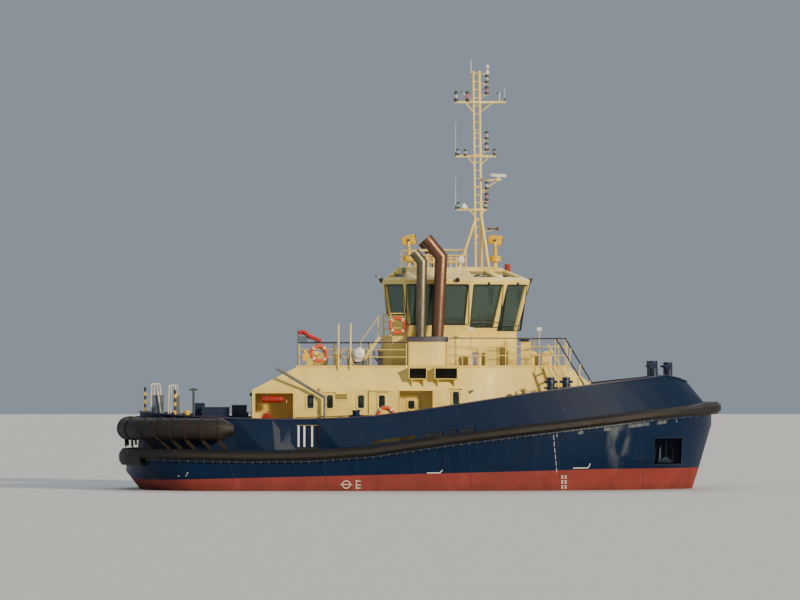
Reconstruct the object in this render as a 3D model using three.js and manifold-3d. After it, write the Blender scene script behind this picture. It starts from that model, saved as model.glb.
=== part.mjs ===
// A harbour tug of the twin azimuth drive type, about 24.7 m over its fenders.
// Millimetres. X runs forward, Y to port and Z up. The origin is amidships, on the centreline, at the waterline.

import * as THREE from 'three';
import { mergeVertices } from 'three/addons/utils/BufferGeometryUtils.js';
import Module from 'manifold-3d';

const wasm = await Module();
wasm.setup();

// Driving dimensions
const GAP = 0.3;
const HALF_BEAM = 5350;
const BELT_DEPTH = 900;
const BELT_THICKNESS = 350;
const WALL_SIDED_ABOVE = 700;
const STEM_HALF_WIDTH = 110;
const KEEL_SIDE_ANGLES = [0, 14, 28, 42, 58, 74, 90];
const HULL_STATIONS = [0, 0.012, 0.03, 0.06, 0.1, 0.15, 0.21, 0.27, 0.34, 0.42, 0.5, 0.57, 0.63,
  0.69, 0.75, 0.8, 0.85, 0.89, 0.925, 0.955, 0.978, 0.993, 1];

// Heights along the ship, each row [x, deck edge, centre of the side fender, top of the bulwark]
const SHEER = [
  [-12200, 1650, 1500, 3210],
  [-10200, 1650, 1470, 3030],
  [-6900, 1650, 1400, 2860],
  [-4500, 1650, 1430, 2850],
  [-2000, 1800, 1600, 2960],
  [1150, 2230, 2060, 3380],
  [4200, 2620, 2440, 3850],
  [7400, 3010, 2820, 4290],
  [9300, 3240, 3050, 4500],
  [10200, 3336, 3134, 4570],
  [12300, 3560, 3330, 3814],
];

// Ends of the hull by height, each row [z, x of the stern, x of the stem]
const ENDS = [
  [-2950, -10500, 9000],
  [-1500, -10750, 10500],
  [0, -11160, 11160],
  [740, -11880, 11400],
  [1700, -11900, 11640],
  [2600, -11900, 11950],
  [3600, -11900, 12020],
];

// Underside of the hull, each row [share of the length, z]
const KEEL = [
  [0, -620],
  [0.12, -1250],
  [0.24, -2150],
  [0.36, -2800],
  [0.5, -2950],
  [0.8, -2950],
  [0.92, -2450],
  [1, -1500],
];

// Materials, one entry for each real finish: [sRGB colour, roughness, metalness]
const FINISH = {
  hullBlue: [0x1c2a44, 0.4, 0.0],
  antifouling: [0x9c3b33, 0.7, 0.0],
  cream: [0xe6d7a4, 0.45, 0.0],
  mastCream: [0xe8cf82, 0.45, 0.0],
  capPaint: [0x2b2a45, 0.45, 0.0],
  rubber: [0x2b2622, 0.9, 0.0],
  copper: [0x7a4630, 0.45, 0.8],
  pipeSteel: [0x8d8168, 0.4, 0.8],
  stainless: [0xc3c1b8, 0.3, 1.0],
  galvanised: [0x9a9c98, 0.55, 0.6],
  bronze: [0xa67c3d, 0.35, 1.0],
  glass: [0x1f3a34, 0.08, 0.0],
  darkGrey: [0x3a3c40, 0.6, 0.1],
  lampYellow: [0xd9a52e, 0.5, 0.0],
  white: [0xe8e8e2, 0.4, 0.0],
  lifebuoyOrange: [0xd9501e, 0.6, 0.0],
  blackLeather: [0x26262a, 0.6, 0.0],
};

const tug = new THREE.Group();

// Solids from three.js geometry

function solid(geometry) {
  const bare = geometry.index ? geometry.toNonIndexed() : geometry.clone();
  bare.deleteAttribute('normal');
  bare.deleteAttribute('uv');
  const merged = mergeVertices(bare, 1e-3);
  const faces = [];
  const index = merged.index.array;
  for (let i = 0; i < index.length; i += 3) {
    const [a, b, c] = [index[i], index[i + 1], index[i + 2]];
    if (a !== b && b !== c && c !== a) faces.push(a, b, c);
  }
  return new wasm.Manifold(new wasm.Mesh({
    numProp: 3,
    vertProperties: new Float32Array(merged.attributes.position.array),
    triVerts: new Uint32Array(faces),
  }));
}

function add(name, body, finish) {
  const mesh = body.getMesh();
  const geometry = new THREE.BufferGeometry();
  geometry.setAttribute('position', new THREE.BufferAttribute(new Float32Array(mesh.vertProperties), 3));
  geometry.setIndex(new THREE.BufferAttribute(new Uint32Array(mesh.triVerts), 1));
  geometry.computeVertexNormals();
  const [color, roughness, metalness] = FINISH[finish];
  const node = new THREE.Mesh(geometry, new THREE.MeshStandardMaterial({ color, roughness, metalness }));
  node.name = name;
  tug.add(node);
}

function join(...bodies) {
  return bodies.flat().reduce((whole, body) => whole.add(body));
}

function cut(body, ...tools) {
  return tools.flat().reduce((whole, tool) => whole.subtract(tool), body);
}

function mirrorY(body) {
  return body.mirror([0, 1, 0]);
}

// A pair on the two sides: the maker builds the port one, and the starboard one is its mirror image
function addPair(name, body, finish) {
  add(`${name}_port`, body, finish);
  add(`${name}_starboard`, mirrorY(body), finish);
}

function box(x0, x1, y0, y1, z0, z1) {
  const geometry = new THREE.BoxGeometry(x1 - x0, y1 - y0, z1 - z0);
  geometry.translate((x0 + x1) / 2, (y0 + y1) / 2, (z0 + z1) / 2);
  return solid(geometry);
}

// A round bar from one point to another; the sides of its section are flats
function rod(from, to, radius, sides = 8, endRadius = radius) {
  const start = new THREE.Vector3(...from);
  const axis = new THREE.Vector3(...to).sub(start);
  const geometry = new THREE.CylinderGeometry(endRadius, radius, axis.length(), sides);
  geometry.translate(0, axis.length() / 2, 0);
  geometry.applyQuaternion(new THREE.Quaternion().setFromUnitVectors(
    new THREE.Vector3(0, 1, 0), axis.normalize()));
  geometry.translate(start.x, start.y, start.z);
  return solid(geometry);
}

// A bent pipe as straight rods with a ball at each bend
function bentRod(points, radius, sides = 8) {
  const parts = [];
  for (let i = 1; i < points.length; i += 1) parts.push(rod(points[i - 1], points[i], radius, sides));
  for (const point of points.slice(1, -1)) {
    const ball = new THREE.SphereGeometry(radius * 1.02, sides, Math.max(4, sides / 2));
    ball.translate(...point);
    parts.push(solid(ball));
  }
  return join(parts);
}

// A flat plate: outline points [a, b] in the plane named by axes, pushed along the third axis from c0 to c1
function plate(outline, axes, c0, c1, holes = []) {
  const shape = new THREE.Shape(outline.map(([a, b]) => new THREE.Vector2(a, b)));
  for (const hole of holes) shape.holes.push(new THREE.Path(hole.map(([a, b]) => new THREE.Vector2(a, b))));
  const geometry = new THREE.ExtrudeGeometry(shape, { depth: c1 - c0, bevelEnabled: false, curveSegments: 8 });
  if (axes === 'xz') {
    geometry.translate(0, 0, -c1);
    geometry.rotateX(Math.PI / 2);
  } else if (axes === 'yz') {
    geometry.translate(0, 0, c0);
    geometry.rotateZ(Math.PI / 2);
    geometry.rotateY(Math.PI / 2);
  } else {
    geometry.translate(0, 0, c0);
  }
  return solid(geometry);
}

// A skin through rings of points that all have the same count, closed by a cap at each end or by a last
// run back to the first ring, with its faces turned outwards
function loft(rings, closed = false) {
  const count = rings[0].length;
  const positions = rings.flat(2);
  const faces = [];
  const last = closed ? rings.length : rings.length - 1;
  for (let i = 0; i < last; i += 1) {
    const here = i * count;
    const next = ((i + 1) % rings.length) * count;
    for (let j = 0; j < count; j += 1) {
      const k = (j + 1) % count;
      faces.push(here + j, here + k, next + k, here + j, next + k, next + j);
    }
  }
  if (!closed) {
    capFaces(rings[0]).forEach(([a, b, c]) => faces.push(a, c, b));
    const top = (rings.length - 1) * count;
    capFaces(rings[rings.length - 1]).forEach(([a, b, c]) => faces.push(top + a, top + b, top + c));
  }
  const corner = (index) => new THREE.Vector3(...positions.slice(3 * index, 3 * index + 3));
  let volume = 0;
  for (let i = 0; i < faces.length; i += 3) {
    volume += corner(faces[i]).dot(corner(faces[i + 1]).cross(corner(faces[i + 2])));
  }
  const geometry = new THREE.BufferGeometry();
  geometry.setAttribute('position', new THREE.Float32BufferAttribute(positions, 3));
  geometry.setIndex(volume < 0 ? faces.reverse() : faces);
  return solid(geometry);
}

// Triangles over one ring, in the plane that it lies nearest to
function capFaces(ring) {
  const points = ring.map((point) => new THREE.Vector3(...point));
  const normal = new THREE.Vector3();
  points.forEach((point, i) => {
    const next = points[(i + 1) % points.length];
    normal.x += (point.y - next.y) * (point.z + next.z);
    normal.y += (point.z - next.z) * (point.x + next.x);
    normal.z += (point.x - next.x) * (point.y + next.y);
  });
  normal.normalize();
  const helper = Math.abs(normal.z) < 0.9 ? new THREE.Vector3(0, 0, 1) : new THREE.Vector3(1, 0, 0);
  const across = new THREE.Vector3().crossVectors(helper, normal).normalize();
  const up = new THREE.Vector3().crossVectors(normal, across);
  const flat = points.map((point) => new THREE.Vector2(point.dot(across), point.dot(up)));
  const turn = ([a, b, c]) => flat[b].clone().sub(flat[a]).cross(flat[c].clone().sub(flat[a]));
  return THREE.ShapeUtils.triangulateShape(flat, []).map((face) => (turn(face) < 0 ? face.reverse() : face));
}

// A clockwise outline drawn in by a distance, or by one distance for each flat; the flats stay parallel
function insetRing(outline, inset) {
  const count = outline.length;
  const by = (i) => (Array.isArray(inset) ? inset[(i + count) % count] : inset);
  const flat = (i) => {
    const [from, to] = [outline[(i + count) % count], outline[(i + 1) % count]];
    const out = new THREE.Vector2(from[1] - to[1], to[0] - from[0]).normalize();
    return { out, reach: out.x * from[0] + out.y * from[1] - by(i) };
  };
  return outline.map((_, i) => {
    const [a, b] = [flat(i - 1 + count), flat(i)];
    const turn = a.out.x * b.out.y - a.out.y * b.out.x;
    return [(a.reach * b.out.y - b.reach * a.out.y) / turn, (b.reach * a.out.x - a.reach * b.out.x) / turn];
  });
}

// Value of one column of a table at x, by a smooth curve through its rows
function along(table, column, x) {
  const last = table.length - 1;
  const inside = Math.min(Math.max(x, table[0][0]), table[last][0]);
  let i = 0;
  while (i < last - 1 && inside > table[i + 1][0]) i += 1;
  const slope = (k) => {
    const before = table[Math.max(k - 1, 0)];
    const after = table[Math.min(k + 1, last)];
    return (after[column] - before[column]) / (after[0] - before[0]);
  };
  const width = table[i + 1][0] - table[i][0];
  const t = (inside - table[i][0]) / width;
  const [from, to] = [table[i][column], table[i + 1][column]];
  return from * (2 * t ** 3 - 3 * t ** 2 + 1) + width * slope(i) * (t ** 3 - 2 * t ** 2 + t)
    + to * (3 * t ** 2 - 2 * t ** 3) + width * slope(i + 1) * (t ** 3 - t ** 2);
}

// Hull lines

function mix(from, to, share) {
  return from + (to - from) * share;
}

function clamp01(value) {
  return Math.min(Math.max(value, 0), 1);
}

const BOW_STARTS = 0.56;
const STERN_ENDS = 0.21;
const TRANSOM_SHARE = 0.98;

// Share of the half beam at a share u of the length; full is 1 at the deck and 0 at the keel
function planShare(u, full) {
  if (u > BOW_STARTS) {
    const t = (u - BOW_STARTS) / (1 - BOW_STARTS);
    return (1 - t ** mix(1.5, 2.4, full)) ** mix(1.0, 0.57, full);
  }
  if (u < STERN_ENDS) {
    const t = TRANSOM_SHARE * (1 - u / STERN_ENDS);
    return (1 - t ** 4) ** 0.4545;
  }
  return 1;
}

// A plan curve at share u: its two ends and its half beam give the point on the port side
function planPoint(u, stern, stem, halfBeam) {
  return [mix(stern, stem, u), Math.max(planShare(u, 1) * halfBeam, STEM_HALF_WIDTH)];
}

function deckAt(x) {
  return along(SHEER, 1, x);
}

// One section of the hull as [x, y, z] down the port side, from the deck edge to the keel
function hullSide(u) {
  const keel = along(KEEL, 1, u);
  const roughX = mix(-11900, 11900, u);
  const deck = deckAt(roughX);
  const belt = deck - BELT_DEPTH;
  const at = (z, share) => {
    const full = clamp01((z + 2950) / (2950 + belt));
    const x = mix(along(ENDS, 1, z), along(ENDS, 2, z), u);
    const least = share === 0 ? 0 : STEM_HALF_WIDTH;
    return [x, Math.max(HALF_BEAM * share * planShare(u, full), least), z];
  };
  const fullness = mix(2.2, 3.4, clamp01(4 * u * (1 - u)));
  const turnTop = Math.min(WALL_SIDED_ABOVE, belt - 100);
  const bilge = KEEL_SIDE_ANGLES.map((degrees) => {
    const angle = THREE.MathUtils.degToRad(degrees);
    const rise = 1 - Math.max(Math.cos(angle), 0) ** (2 / fullness);
    return at(mix(keel, turnTop, rise), Math.sin(angle) ** (2 / fullness));
  });
  const beltFoot = at(belt, 1);
  return [[beltFoot[0], beltFoot[1], deck], beltFoot, ...bilge.reverse()];
}

const hullSides = HULL_STATIONS.map(hullSide);

function hullForm() {
  const rings = hullSides.map((side) => {
    const starboard = side.map(([x, y, z]) => [x, -y, z]);
    return [...starboard, ...side.slice(0, -1).reverse()];
  });
  return loft(rings);
}

// The deck edge as a closed outline in plan, port side forward and starboard side back aft; each point has
// an outward vector that moves both of its neighbouring flats by one unit
const deckEdge = (() => {
  const port = hullSides.map((side) => side[0]);
  const points = [...port, ...port.map(([x, y, z]) => [x, -y, z]).reverse()];
  const count = points.length;
  const flatNormal = (i) => {
    const [from, to] = [points[(i + count) % count], points[(i + 1) % count]];
    return new THREE.Vector2(to[1] - from[1], from[0] - to[0]).normalize().negate();
  };
  return points.map(([x, y]) => ({ x, y })).map((point, i) => {
    const [before, after] = [flatNormal(i - 1 + count), flatNormal(i)];
    const out = before.clone().add(after).normalize();
    out.divideScalar(out.dot(after));
    return { ...point, out, flat: after };
  });
})();

// Place on the port deck edge at x, as a count of points from the stern
function portPlace(x) {
  let i = 0;
  while (i < HULL_STATIONS.length - 2 && deckEdge[i + 1].x < x) i += 1;
  return i + (x - deckEdge[i].x) / (deckEdge[i + 1].x - deckEdge[i].x);
}

function starboardPlace(x) {
  return deckEdge.length - 1 - portPlace(x);
}

// The deck edge from one place to another, round the bow or the stern as the numbers run
function edgeRun(from, to) {
  const count = deckEdge.length;
  const between = (place) => {
    const i = Math.floor(place);
    const [a, b] = [deckEdge[(i + count) % count], deckEdge[(i + 1 + count) % count]];
    return { x: mix(a.x, b.x, place - i), y: mix(a.y, b.y, place - i), out: a.flat };
  };
  const run = [between(from)];
  for (let i = Math.floor(from) + 1; i < to; i += 1) run.push(deckEdge[(i + count) % count]);
  run.push(between(to));
  return run;
}

// Rubber along the deck edge; the section gives points [distance outboard, z] for each point of the run
function fender(run, section) {
  const rings = run.map((point, i) => section(point.x, i, run.length).map(([out, z]) => [
    point.x + point.out.x * out,
    point.y + point.out.y * out,
    z,
  ]));
  return loft(rings);
}

function fenderSection(centre, height, thickness) {
  const nose = 0.42;
  return [
    [GAP, centre - height / 2],
    [thickness * 0.62, centre - height / 2],
    [thickness, centre - height * nose / 2],
    [thickness, centre + height * nose / 2],
    [thickness * 0.62, centre + height / 2],
    [GAP, centre + height / 2],
  ];
}

// Skeg and thruster seats
const SKEG = { halfWidth: 230, foot: -3900, aft: -6600, aftFoot: -5200, foreFoot: 6800, fore: 9300 };
const THRUSTER = {
  x: -8350, y: 2350, seatRadius: 900, seatZ: -1750, axisZ: -3420,
  nozzleOuter: 1330, nozzleInner: 1130, nozzleLength: 1150,
};

function skeg() {
  const top = -1400;
  const outline = [
    [SKEG.aft, top], [SKEG.aft, -2700], [SKEG.aftFoot, SKEG.foot], [SKEG.foreFoot, SKEG.foot],
    [SKEG.fore, -2750], [SKEG.fore, top],
  ];
  return plate(outline, 'xz', -SKEG.halfWidth, SKEG.halfWidth);
}

function thrusterSeat(side) {
  return rod([THRUSTER.x, side * THRUSTER.y, -300], [THRUSTER.x, side * THRUSTER.y, THRUSTER.seatZ],
    THRUSTER.seatRadius, 20);
}

// Anchor pocket in the bow flare, and the anchor that lies in it
const POCKET = { x0: 9450, x1: 10600, z0: 1040, z1: 2080, inner: 1250 };

function anchorPocket() {
  return box(POCKET.x0, POCKET.x1, POCKET.inner, HALF_BEAM, POCKET.z0, POCKET.z1);
}

// Bitts: posts on a foot, each with a cross bar near its top
const FORE_BITTS = { x: 5540, y: 4080, height: 1560, spacing: 620, radius: 150 };
const HULL_BITTS = [
  { x: -2600, y: 4560, height: 1480, spacing: 0, radius: 150 },
  { x: -9700, y: 3100, height: 1000, spacing: 620, radius: 150 },
];

function bitts({ x, y: offset, height, spacing, radius }, side) {
  const y = side * offset;
  const [foot, top] = [deckAt(x) - 300, deckAt(x) + height];
  const posts = (spacing ? [-spacing / 2, spacing / 2] : [0]).map((dx) => join(
    rod([x + dx, y, foot], [x + dx, y, top], radius, 12),
    rod([x + dx, y, top - 40], [x + dx, y, top], radius * 1.15, 12),
    rod([x + dx - 290, y, top - 230], [x + dx + 290, y, top - 230], 42, 8),
  ));
  return join(posts, box(x - spacing / 2 - 260, x + spacing / 2 + 260, y - 230, y + 230, foot, deckAt(x) + 90));
}

// Coaming of the hatch on the aft deck
const HATCH = { x0: -10150, x1: -9350, y0: -400, y1: 400, height: 320, wall: 60, lid: 45, rim: 35 };

function coaming() {
  const { x0, x1, y0, y1, wall } = HATCH;
  const deck = deckAt(x0);
  return cut(
    box(x0, x1, y0, y1, deck - 50, deck + HATCH.height),
    box(x0 + wall, x1 - wall, y0 + wall, y1 - wall, deck, deck + HATCH.height + 50),
  );
}

const hull = cut(
  join(
    hullForm(), skeg(), thrusterSeat(1), thrusterSeat(-1), coaming(),
    HULL_BITTS.flatMap((row) => [bitts(row, 1), bitts(row, -1)]),
  ),
  anchorPocket(),
  mirrorY(anchorPocket()),
);
const hullRaised = hull.translate([0, 0, GAP]);
add('hull', hull, 'hullBlue');

// What stands on the sloping deck is made too long at its foot and trimmed to the deck
function seatOnDeck(body) {
  return body.subtract(hullRaised);
}

// Fenders
const STERN_BLOCK_END = -11050;
const BOW_NOSE = { from: 10900, full: 11600, height: 500, out: 390 };
const STERN_FENDER = { z: 2470, radius: 450, coneStart: -7940, end: -7490, endRadius: 170, sides: 12, inset: 62.2 };

add('belt_fender', fender(
  edgeRun(portPlace(STERN_BLOCK_END) + 0.02, starboardPlace(STERN_BLOCK_END) - 0.02),
  (x) => {
    const nose = clamp01((x - BOW_NOSE.from) / (BOW_NOSE.full - BOW_NOSE.from));
    return fenderSection(along(SHEER, 2, x), mix(380, BOW_NOSE.height, nose), mix(BELT_THICKNESS, BOW_NOSE.out, nose));
  },
), 'rubber');
add('stern_block_fender', fender(
  edgeRun(starboardPlace(STERN_BLOCK_END), portPlace(STERN_BLOCK_END) + deckEdge.length),
  () => fenderSection(1320, 640, 290),
), 'rubber');

function sternFender() {
  const [start, end] = [starboardPlace(STERN_FENDER.end), portPlace(STERN_FENDER.end) + deckEdge.length];
  const cone = [starboardPlace(STERN_FENDER.coneStart), portPlace(STERN_FENDER.coneStart) + deckEdge.length];
  const body = edgeRun(...cone);
  const run = [edgeRun(start, cone[0])[0], ...body, edgeRun(cone[1], end).pop()];
  const rings = run.map((point, i) => {
    const radius = i === 0 || i === run.length - 1 ? STERN_FENDER.endRadius : STERN_FENDER.radius;
    return Array.from({ length: STERN_FENDER.sides }, (_, k) => {
      const angle = (2 * Math.PI * (k + 0.5)) / STERN_FENDER.sides;
      const out = radius * Math.cos(angle) - STERN_FENDER.inset;
      return [point.x + point.out.x * out, point.y + point.out.y * out, STERN_FENDER.z + radius * Math.sin(angle)];
    });
  });
  return loft(rings);
}
add('stern_fender', sternFender(), 'rubber');

// Hinges of a door or gate, each made round the upright line through the origin: the leaf lies towards +X and
// swings towards +Y (swing 1) or -Y (swing -1). The depths say how far the straps reach back to their carriers.
const HINGE = { radius: 14, standoff: 16, knuckle: 60, strap: 90 };
const DOOR_GAP = 12;

function hinges(swing, leafDepth, frameDepth, turns, places) {
  const { radius, knuckle, strap } = HINGE;
  const strapBox = (x0, x1, depth, z0, z1) => (
    swing > 0 ? box(x0, x1, -depth, 0, z0, z1) : box(x0, x1, 0, depth, z0, z1)
  );
  const put = (body) => places.map((place) => (
    turns.reduce((turned, turn) => turned.rotate(turn), body).translate(place)
  ));
  return {
    leaf: put(join(
      rod([0, 0, GAP / 2], [0, 0, knuckle], radius, 8),
      strapBox(0, strap, leafDepth, GAP / 2, knuckle),
    )),
    frame: put(join(
      rod([0, 0, -knuckle], [0, 0, -GAP / 2], radius, 8),
      strapBox(-strap, 0, frameDepth, -knuckle, -GAP / 2),
    )),
  };
}

// Bulwark, with its lower edge drawn in behind the stern fender and at the boarding gates
const GATE = { x0: -4960, x1: -4100, z0: 1650, z1: 2630 };
const BULWARK = {
  thickness: 90, edgeInset: 60, sternInset: 480, sternInsetEnds: -7380, fairedBy: -6250,
  topStern: -11330, topStem: 10950, footStern: -11420, footStem: 11720, lean: 330, sternLean: 120, sunk: 70,
};
const GATE_FAIRING = 930;
const BULWARK_STATIONS = [0, 0.012, 0.03, 0.06, 0.1, 0.14, 0.1745, 0.223, 0.241, 0.28, 0.3165, 0.357, 0.42,
  0.5, 0.57, 0.63, 0.69, 0.75, 0.8, 0.85, 0.89, 0.925, 0.955, 0.978, 0.993, 1];

function bulwarkFootInset(x) {
  const stern = 1 - clamp01((x - BULWARK.sternInsetEnds) / (BULWARK.fairedBy - BULWARK.sternInsetEnds));
  const aftOfGate = clamp01((x - (GATE.x0 - GATE_FAIRING)) / GATE_FAIRING);
  const foreOfGate = clamp01((GATE.x1 + GATE_FAIRING - x) / GATE_FAIRING);
  const atGate = Math.min(aftOfGate, foreOfGate);
  return mix(BULWARK.edgeInset, BULWARK.sternInset, stern) + BULWARK.lean * atGate;
}

// Top of the bulwark at share u, moved inwards by a distance
function bulwarkTop(u, inward) {
  const sternLean = BULWARK.sternLean * (1 - clamp01((u - 0.16) / 0.08));
  const [x, y] = planPoint(u, BULWARK.topStern + inward, BULWARK.topStem - inward,
    HALF_BEAM - BULWARK.lean - BULWARK.edgeInset - sternLean - inward);
  return [x, y, along(SHEER, 3, x)];
}

function bulwarkFoot(u, inward) {
  const roughX = mix(BULWARK.footStern, BULWARK.footStem, u);
  const [x, y] = planPoint(u, BULWARK.footStern + inward, BULWARK.footStem - inward,
    HALF_BEAM - bulwarkFootInset(roughX) - inward);
  return [x, y, deckAt(roughX) - BULWARK.sunk];
}

function ringLoft(section) {
  const port = BULWARK_STATIONS.map((u) => section(u));
  const starboard = [...port].reverse().map((ring) => ring.map(([x, y, z]) => [x, -y, z]));
  return loft([...port, ...starboard], true);
}

function bothSides(body) {
  return [body, mirrorY(body)];
}

const FREEING_PORTS = [[-1980, -265], [-60, 880], [1205, 1450], [1610, 2180]];

function freeingPorts() {
  return FREEING_PORTS.flatMap(([x0, x1]) => {
    const sill = deckAt(x0) + 60;
    return bothSides(plate(
      [[x0, sill], [x1, deckAt(x1) + 60], [x1, deckAt(x1) + 190], [x0, sill + 130]],
      'xz', 4300, HALF_BEAM + 200,
    ));
  });
}

const GATE_HINGE = { y: HALF_BEAM - BULWARK.edgeInset - BULWARK.lean - BULWARK.thickness, leafDepth: 50, bite: 35 };
const gateHinges = hinges(-1, GATE_HINGE.leafDepth, GATE_HINGE.bite, [], [GATE.z0 + 280, GATE.z1 - 220].map(
  (z) => [GATE.x0 + DOOR_GAP / 2, GATE_HINGE.y - HINGE.standoff, z],
));

function bulwark() {
  const wall = ringLoft((u) => [
    bulwarkFoot(u, 0), bulwarkTop(u, 0), bulwarkTop(u, BULWARK.thickness), bulwarkFoot(u, BULWARK.thickness),
  ]);
  const gates = bothSides(box(GATE.x0, GATE.x1, 4300, HALF_BEAM + 200, GATE.z0 - 100, GATE.z1));
  return join(cut(seatOnDeck(wall), gates, freeingPorts()), bothSides(join(gateHinges.frame)));
}
add('bulwark', bulwark(), 'hullBlue');

// The rail is lifted a little more at the bow, where the flats of the bulwark's top are twisted
const CAP_RAIL = { overhang: 45, height: 55, lift: 0.8, bowLift: 16, bowFrom: 8900, bowFull: 9900 };

function capRail() {
  const spread = CAP_RAIL.overhang / BULWARK.thickness;
  const onTop = (u, share, by) => {
    const [outer, inner] = [bulwarkTop(u, 0), bulwarkTop(u, BULWARK.thickness)];
    const bow = clamp01((outer[0] - CAP_RAIL.bowFrom) / (CAP_RAIL.bowFull - CAP_RAIL.bowFrom));
    const lift = by === 0 ? CAP_RAIL.lift + CAP_RAIL.bowLift * bow : by;
    return [mix(outer[0], inner[0], share), mix(outer[1], inner[1], share), mix(outer[2], inner[2], share) + lift];
  };
  return ringLoft((u) => [
    onTop(u, -spread, 0),
    onTop(u, 1 + spread, 0),
    onTop(u, 1 + spread, CAP_RAIL.height),
    onTop(u, -spread, CAP_RAIL.height),
  ]);
}
add('bulwark_cap_rail', capRail(), 'capPaint');

// Boarding gates: a frame of bars in each gate opening, hinged at the aft edge and opening inboard
const gateOutboard = HALF_BEAM - BULWARK.edgeInset - BULWARK.lean - BULWARK.thickness / 2;

function boardingGate() {
  const [x0, x1] = [GATE.x0 + DOOR_GAP, GATE.x1 - DOOR_GAP];
  const [z0, z1] = [GATE.z0 + 60, GATE.z1 - DOOR_GAP];
  const bar = 34;
  const barXs = [0.12, 0.3, 0.5, 0.7, 0.88].map((share) => mix(x0, x1, share));
  const y0 = gateOutboard - bar / 2;
  return join(
    box(x0, x1, y0, y0 + bar, z0, z0 + bar),
    box(x0, x1, y0, y0 + bar, z1 - bar, z1),
    box(x0, x0 + bar, y0, y0 + bar, z0, z1),
    box(x1 - bar, x1, y0, y0 + bar, z0, z1),
    barXs.map((x) => rod([x, gateOutboard, z0 + bar / 2], [x, gateOutboard, z1 - bar / 2], 16, 6)),
    gateHinges.leaf,
  );
}
addPair('boarding_gate', boardingGate(), 'white');

// Deckhouse: rows of levels, each [z, aft end, side, front corner, nose, nose half width]
const DECKHOUSE = { wall: 120, sideRunEnds: 1700, aftSlope: 220, sideSlope: 115, slopeDrop: 55 };
const KNUCKLE_Z = 4040;
const BOAT_DECK_Z = 5020;

// Plan of the forward part on the port side, each row [x at the walls, y at the walls, x at the top, y at the top]
const DECKHOUSE_FORE = [
  [3500, 3060, 3500, 3060],
  [5000, 2560, 4900, 2640],
  [6400, 1980, 5750, 1750],
  [7250, 1100, 6140, 900],
];
const DECKHOUSE_LEVELS = [
  { z: 1450, aft: -6770, side: 3750, column: 0 },
  { z: KNUCKLE_Z, aft: -6770, side: 3750, column: 0 },
  { z: BOAT_DECK_Z - 60, aft: -4960, side: 3230, column: 2 },
];

// Plan of the deckhouse at one level, drawn in by a distance
function deckhousePlan({ z, aft, side, column }, inset) {
  const fore = DECKHOUSE_FORE.map((row) => [row[column], row[column + 1]]);
  const port = [[aft, side], [DECKHOUSE.sideRunEnds, side], ...fore];
  const outline = [...port, ...port.map(([x, y]) => [x, -y]).reverse()];
  return insetRing(outline, inset).map(([x, y]) => [x, y, z]);
}

// Aft working bays under the overhang, and the recesses of the side doors: [x0, x1, depth, top]
const AFT_BAY = { x0: -6650, x1: -5120, depth: 1150, top: 3900 };
const SIDE_DOOR_BAY = { x0: -840, x1: 490, depth: 620, top: 4000 };

function pocket(bay, grown) {
  const side = DECKHOUSE_LEVELS[1].side;
  return box(bay.x0 - grown, bay.x1 + grown, side - bay.depth - grown, side + 400,
    1200 - grown, bay.top + grown);
}

const DOOR = { width: 760, height: 1700, sill: 150, thickness: 60, inset: 5, hinges: [330, 1370] };
const sideDoorWall = DECKHOUSE_LEVELS[1].side - SIDE_DOOR_BAY.depth;
const SIDE_DOOR = { x0: -740, sillZ: deckAt(-200) + DOOR.sill };
const AFT_DOOR = { y0: -380, sillZ: 1650 + DOOR.sill };
const sideDoorHinges = hinges(1, HINGE.standoff + 10, HINGE.standoff + 5, [], DOOR.hinges.map(
  (up) => [SIDE_DOOR.x0 + DOOR_GAP / 2, sideDoorWall + HINGE.standoff, SIDE_DOOR.sillZ + up],
));
const aftDoorHinges = hinges(1, HINGE.standoff + 10, HINGE.standoff + 5, [[0, 0, 90]], DOOR.hinges.map(
  (up) => [DECKHOUSE_LEVELS[0].aft - HINGE.standoff, AFT_DOOR.y0 + DOOR_GAP / 2, AFT_DOOR.sillZ + up],
));

// Opening of a door with its corners left square
function doorOpening(x0, yInner, yOuter, z0) {
  return box(x0, x0 + DOOR.width, yInner, yOuter, z0, z0 + DOOR.height);
}

function deckhouse() {
  const outer = loft(DECKHOUSE_LEVELS.map((level) => deckhousePlan(level, 0)));
  const [walls0, knuckle, top] = DECKHOUSE_LEVELS;
  const slopeInsets = Array.from({ length: 12 }, (_, i) => (i === 11 ? DECKHOUSE.aftSlope : DECKHOUSE.sideSlope));
  const inner = loft([
    deckhousePlan({ ...walls0, z: walls0.z - 150 }, DECKHOUSE.wall),
    deckhousePlan({ ...knuckle, z: KNUCKLE_Z - DECKHOUSE.slopeDrop }, DECKHOUSE.wall),
    deckhousePlan(top, slopeInsets),
    deckhousePlan({ ...top, z: BOAT_DECK_Z + 200 }, slopeInsets),
  ]);
  const bays = [AFT_BAY, SIDE_DOOR_BAY];
  const room = cut(inner, bays.flatMap((bay) => bothSides(pocket(bay, DECKHOUSE.wall))));
  const walls = cut(outer, room, bays.flatMap((bay) => bothSides(pocket(bay, 0))));
  const sideDoors = bothSides(doorOpening(SIDE_DOOR.x0, sideDoorWall - 300, sideDoorWall + 100, SIDE_DOOR.sillZ));
  const aftDoor = box(-6900, -6500, AFT_DOOR.y0, AFT_DOOR.y0 + DOOR.width, AFT_DOOR.sillZ,
    AFT_DOOR.sillZ + DOOR.height);
  return join(
    cut(seatOnDeck(walls), sideDoors, aftDoor),
    bothSides(join(sideDoorHinges.frame)),
    aftDoorHinges.frame,
  );
}
add('deckhouse', deckhouse(), 'cream');

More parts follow.
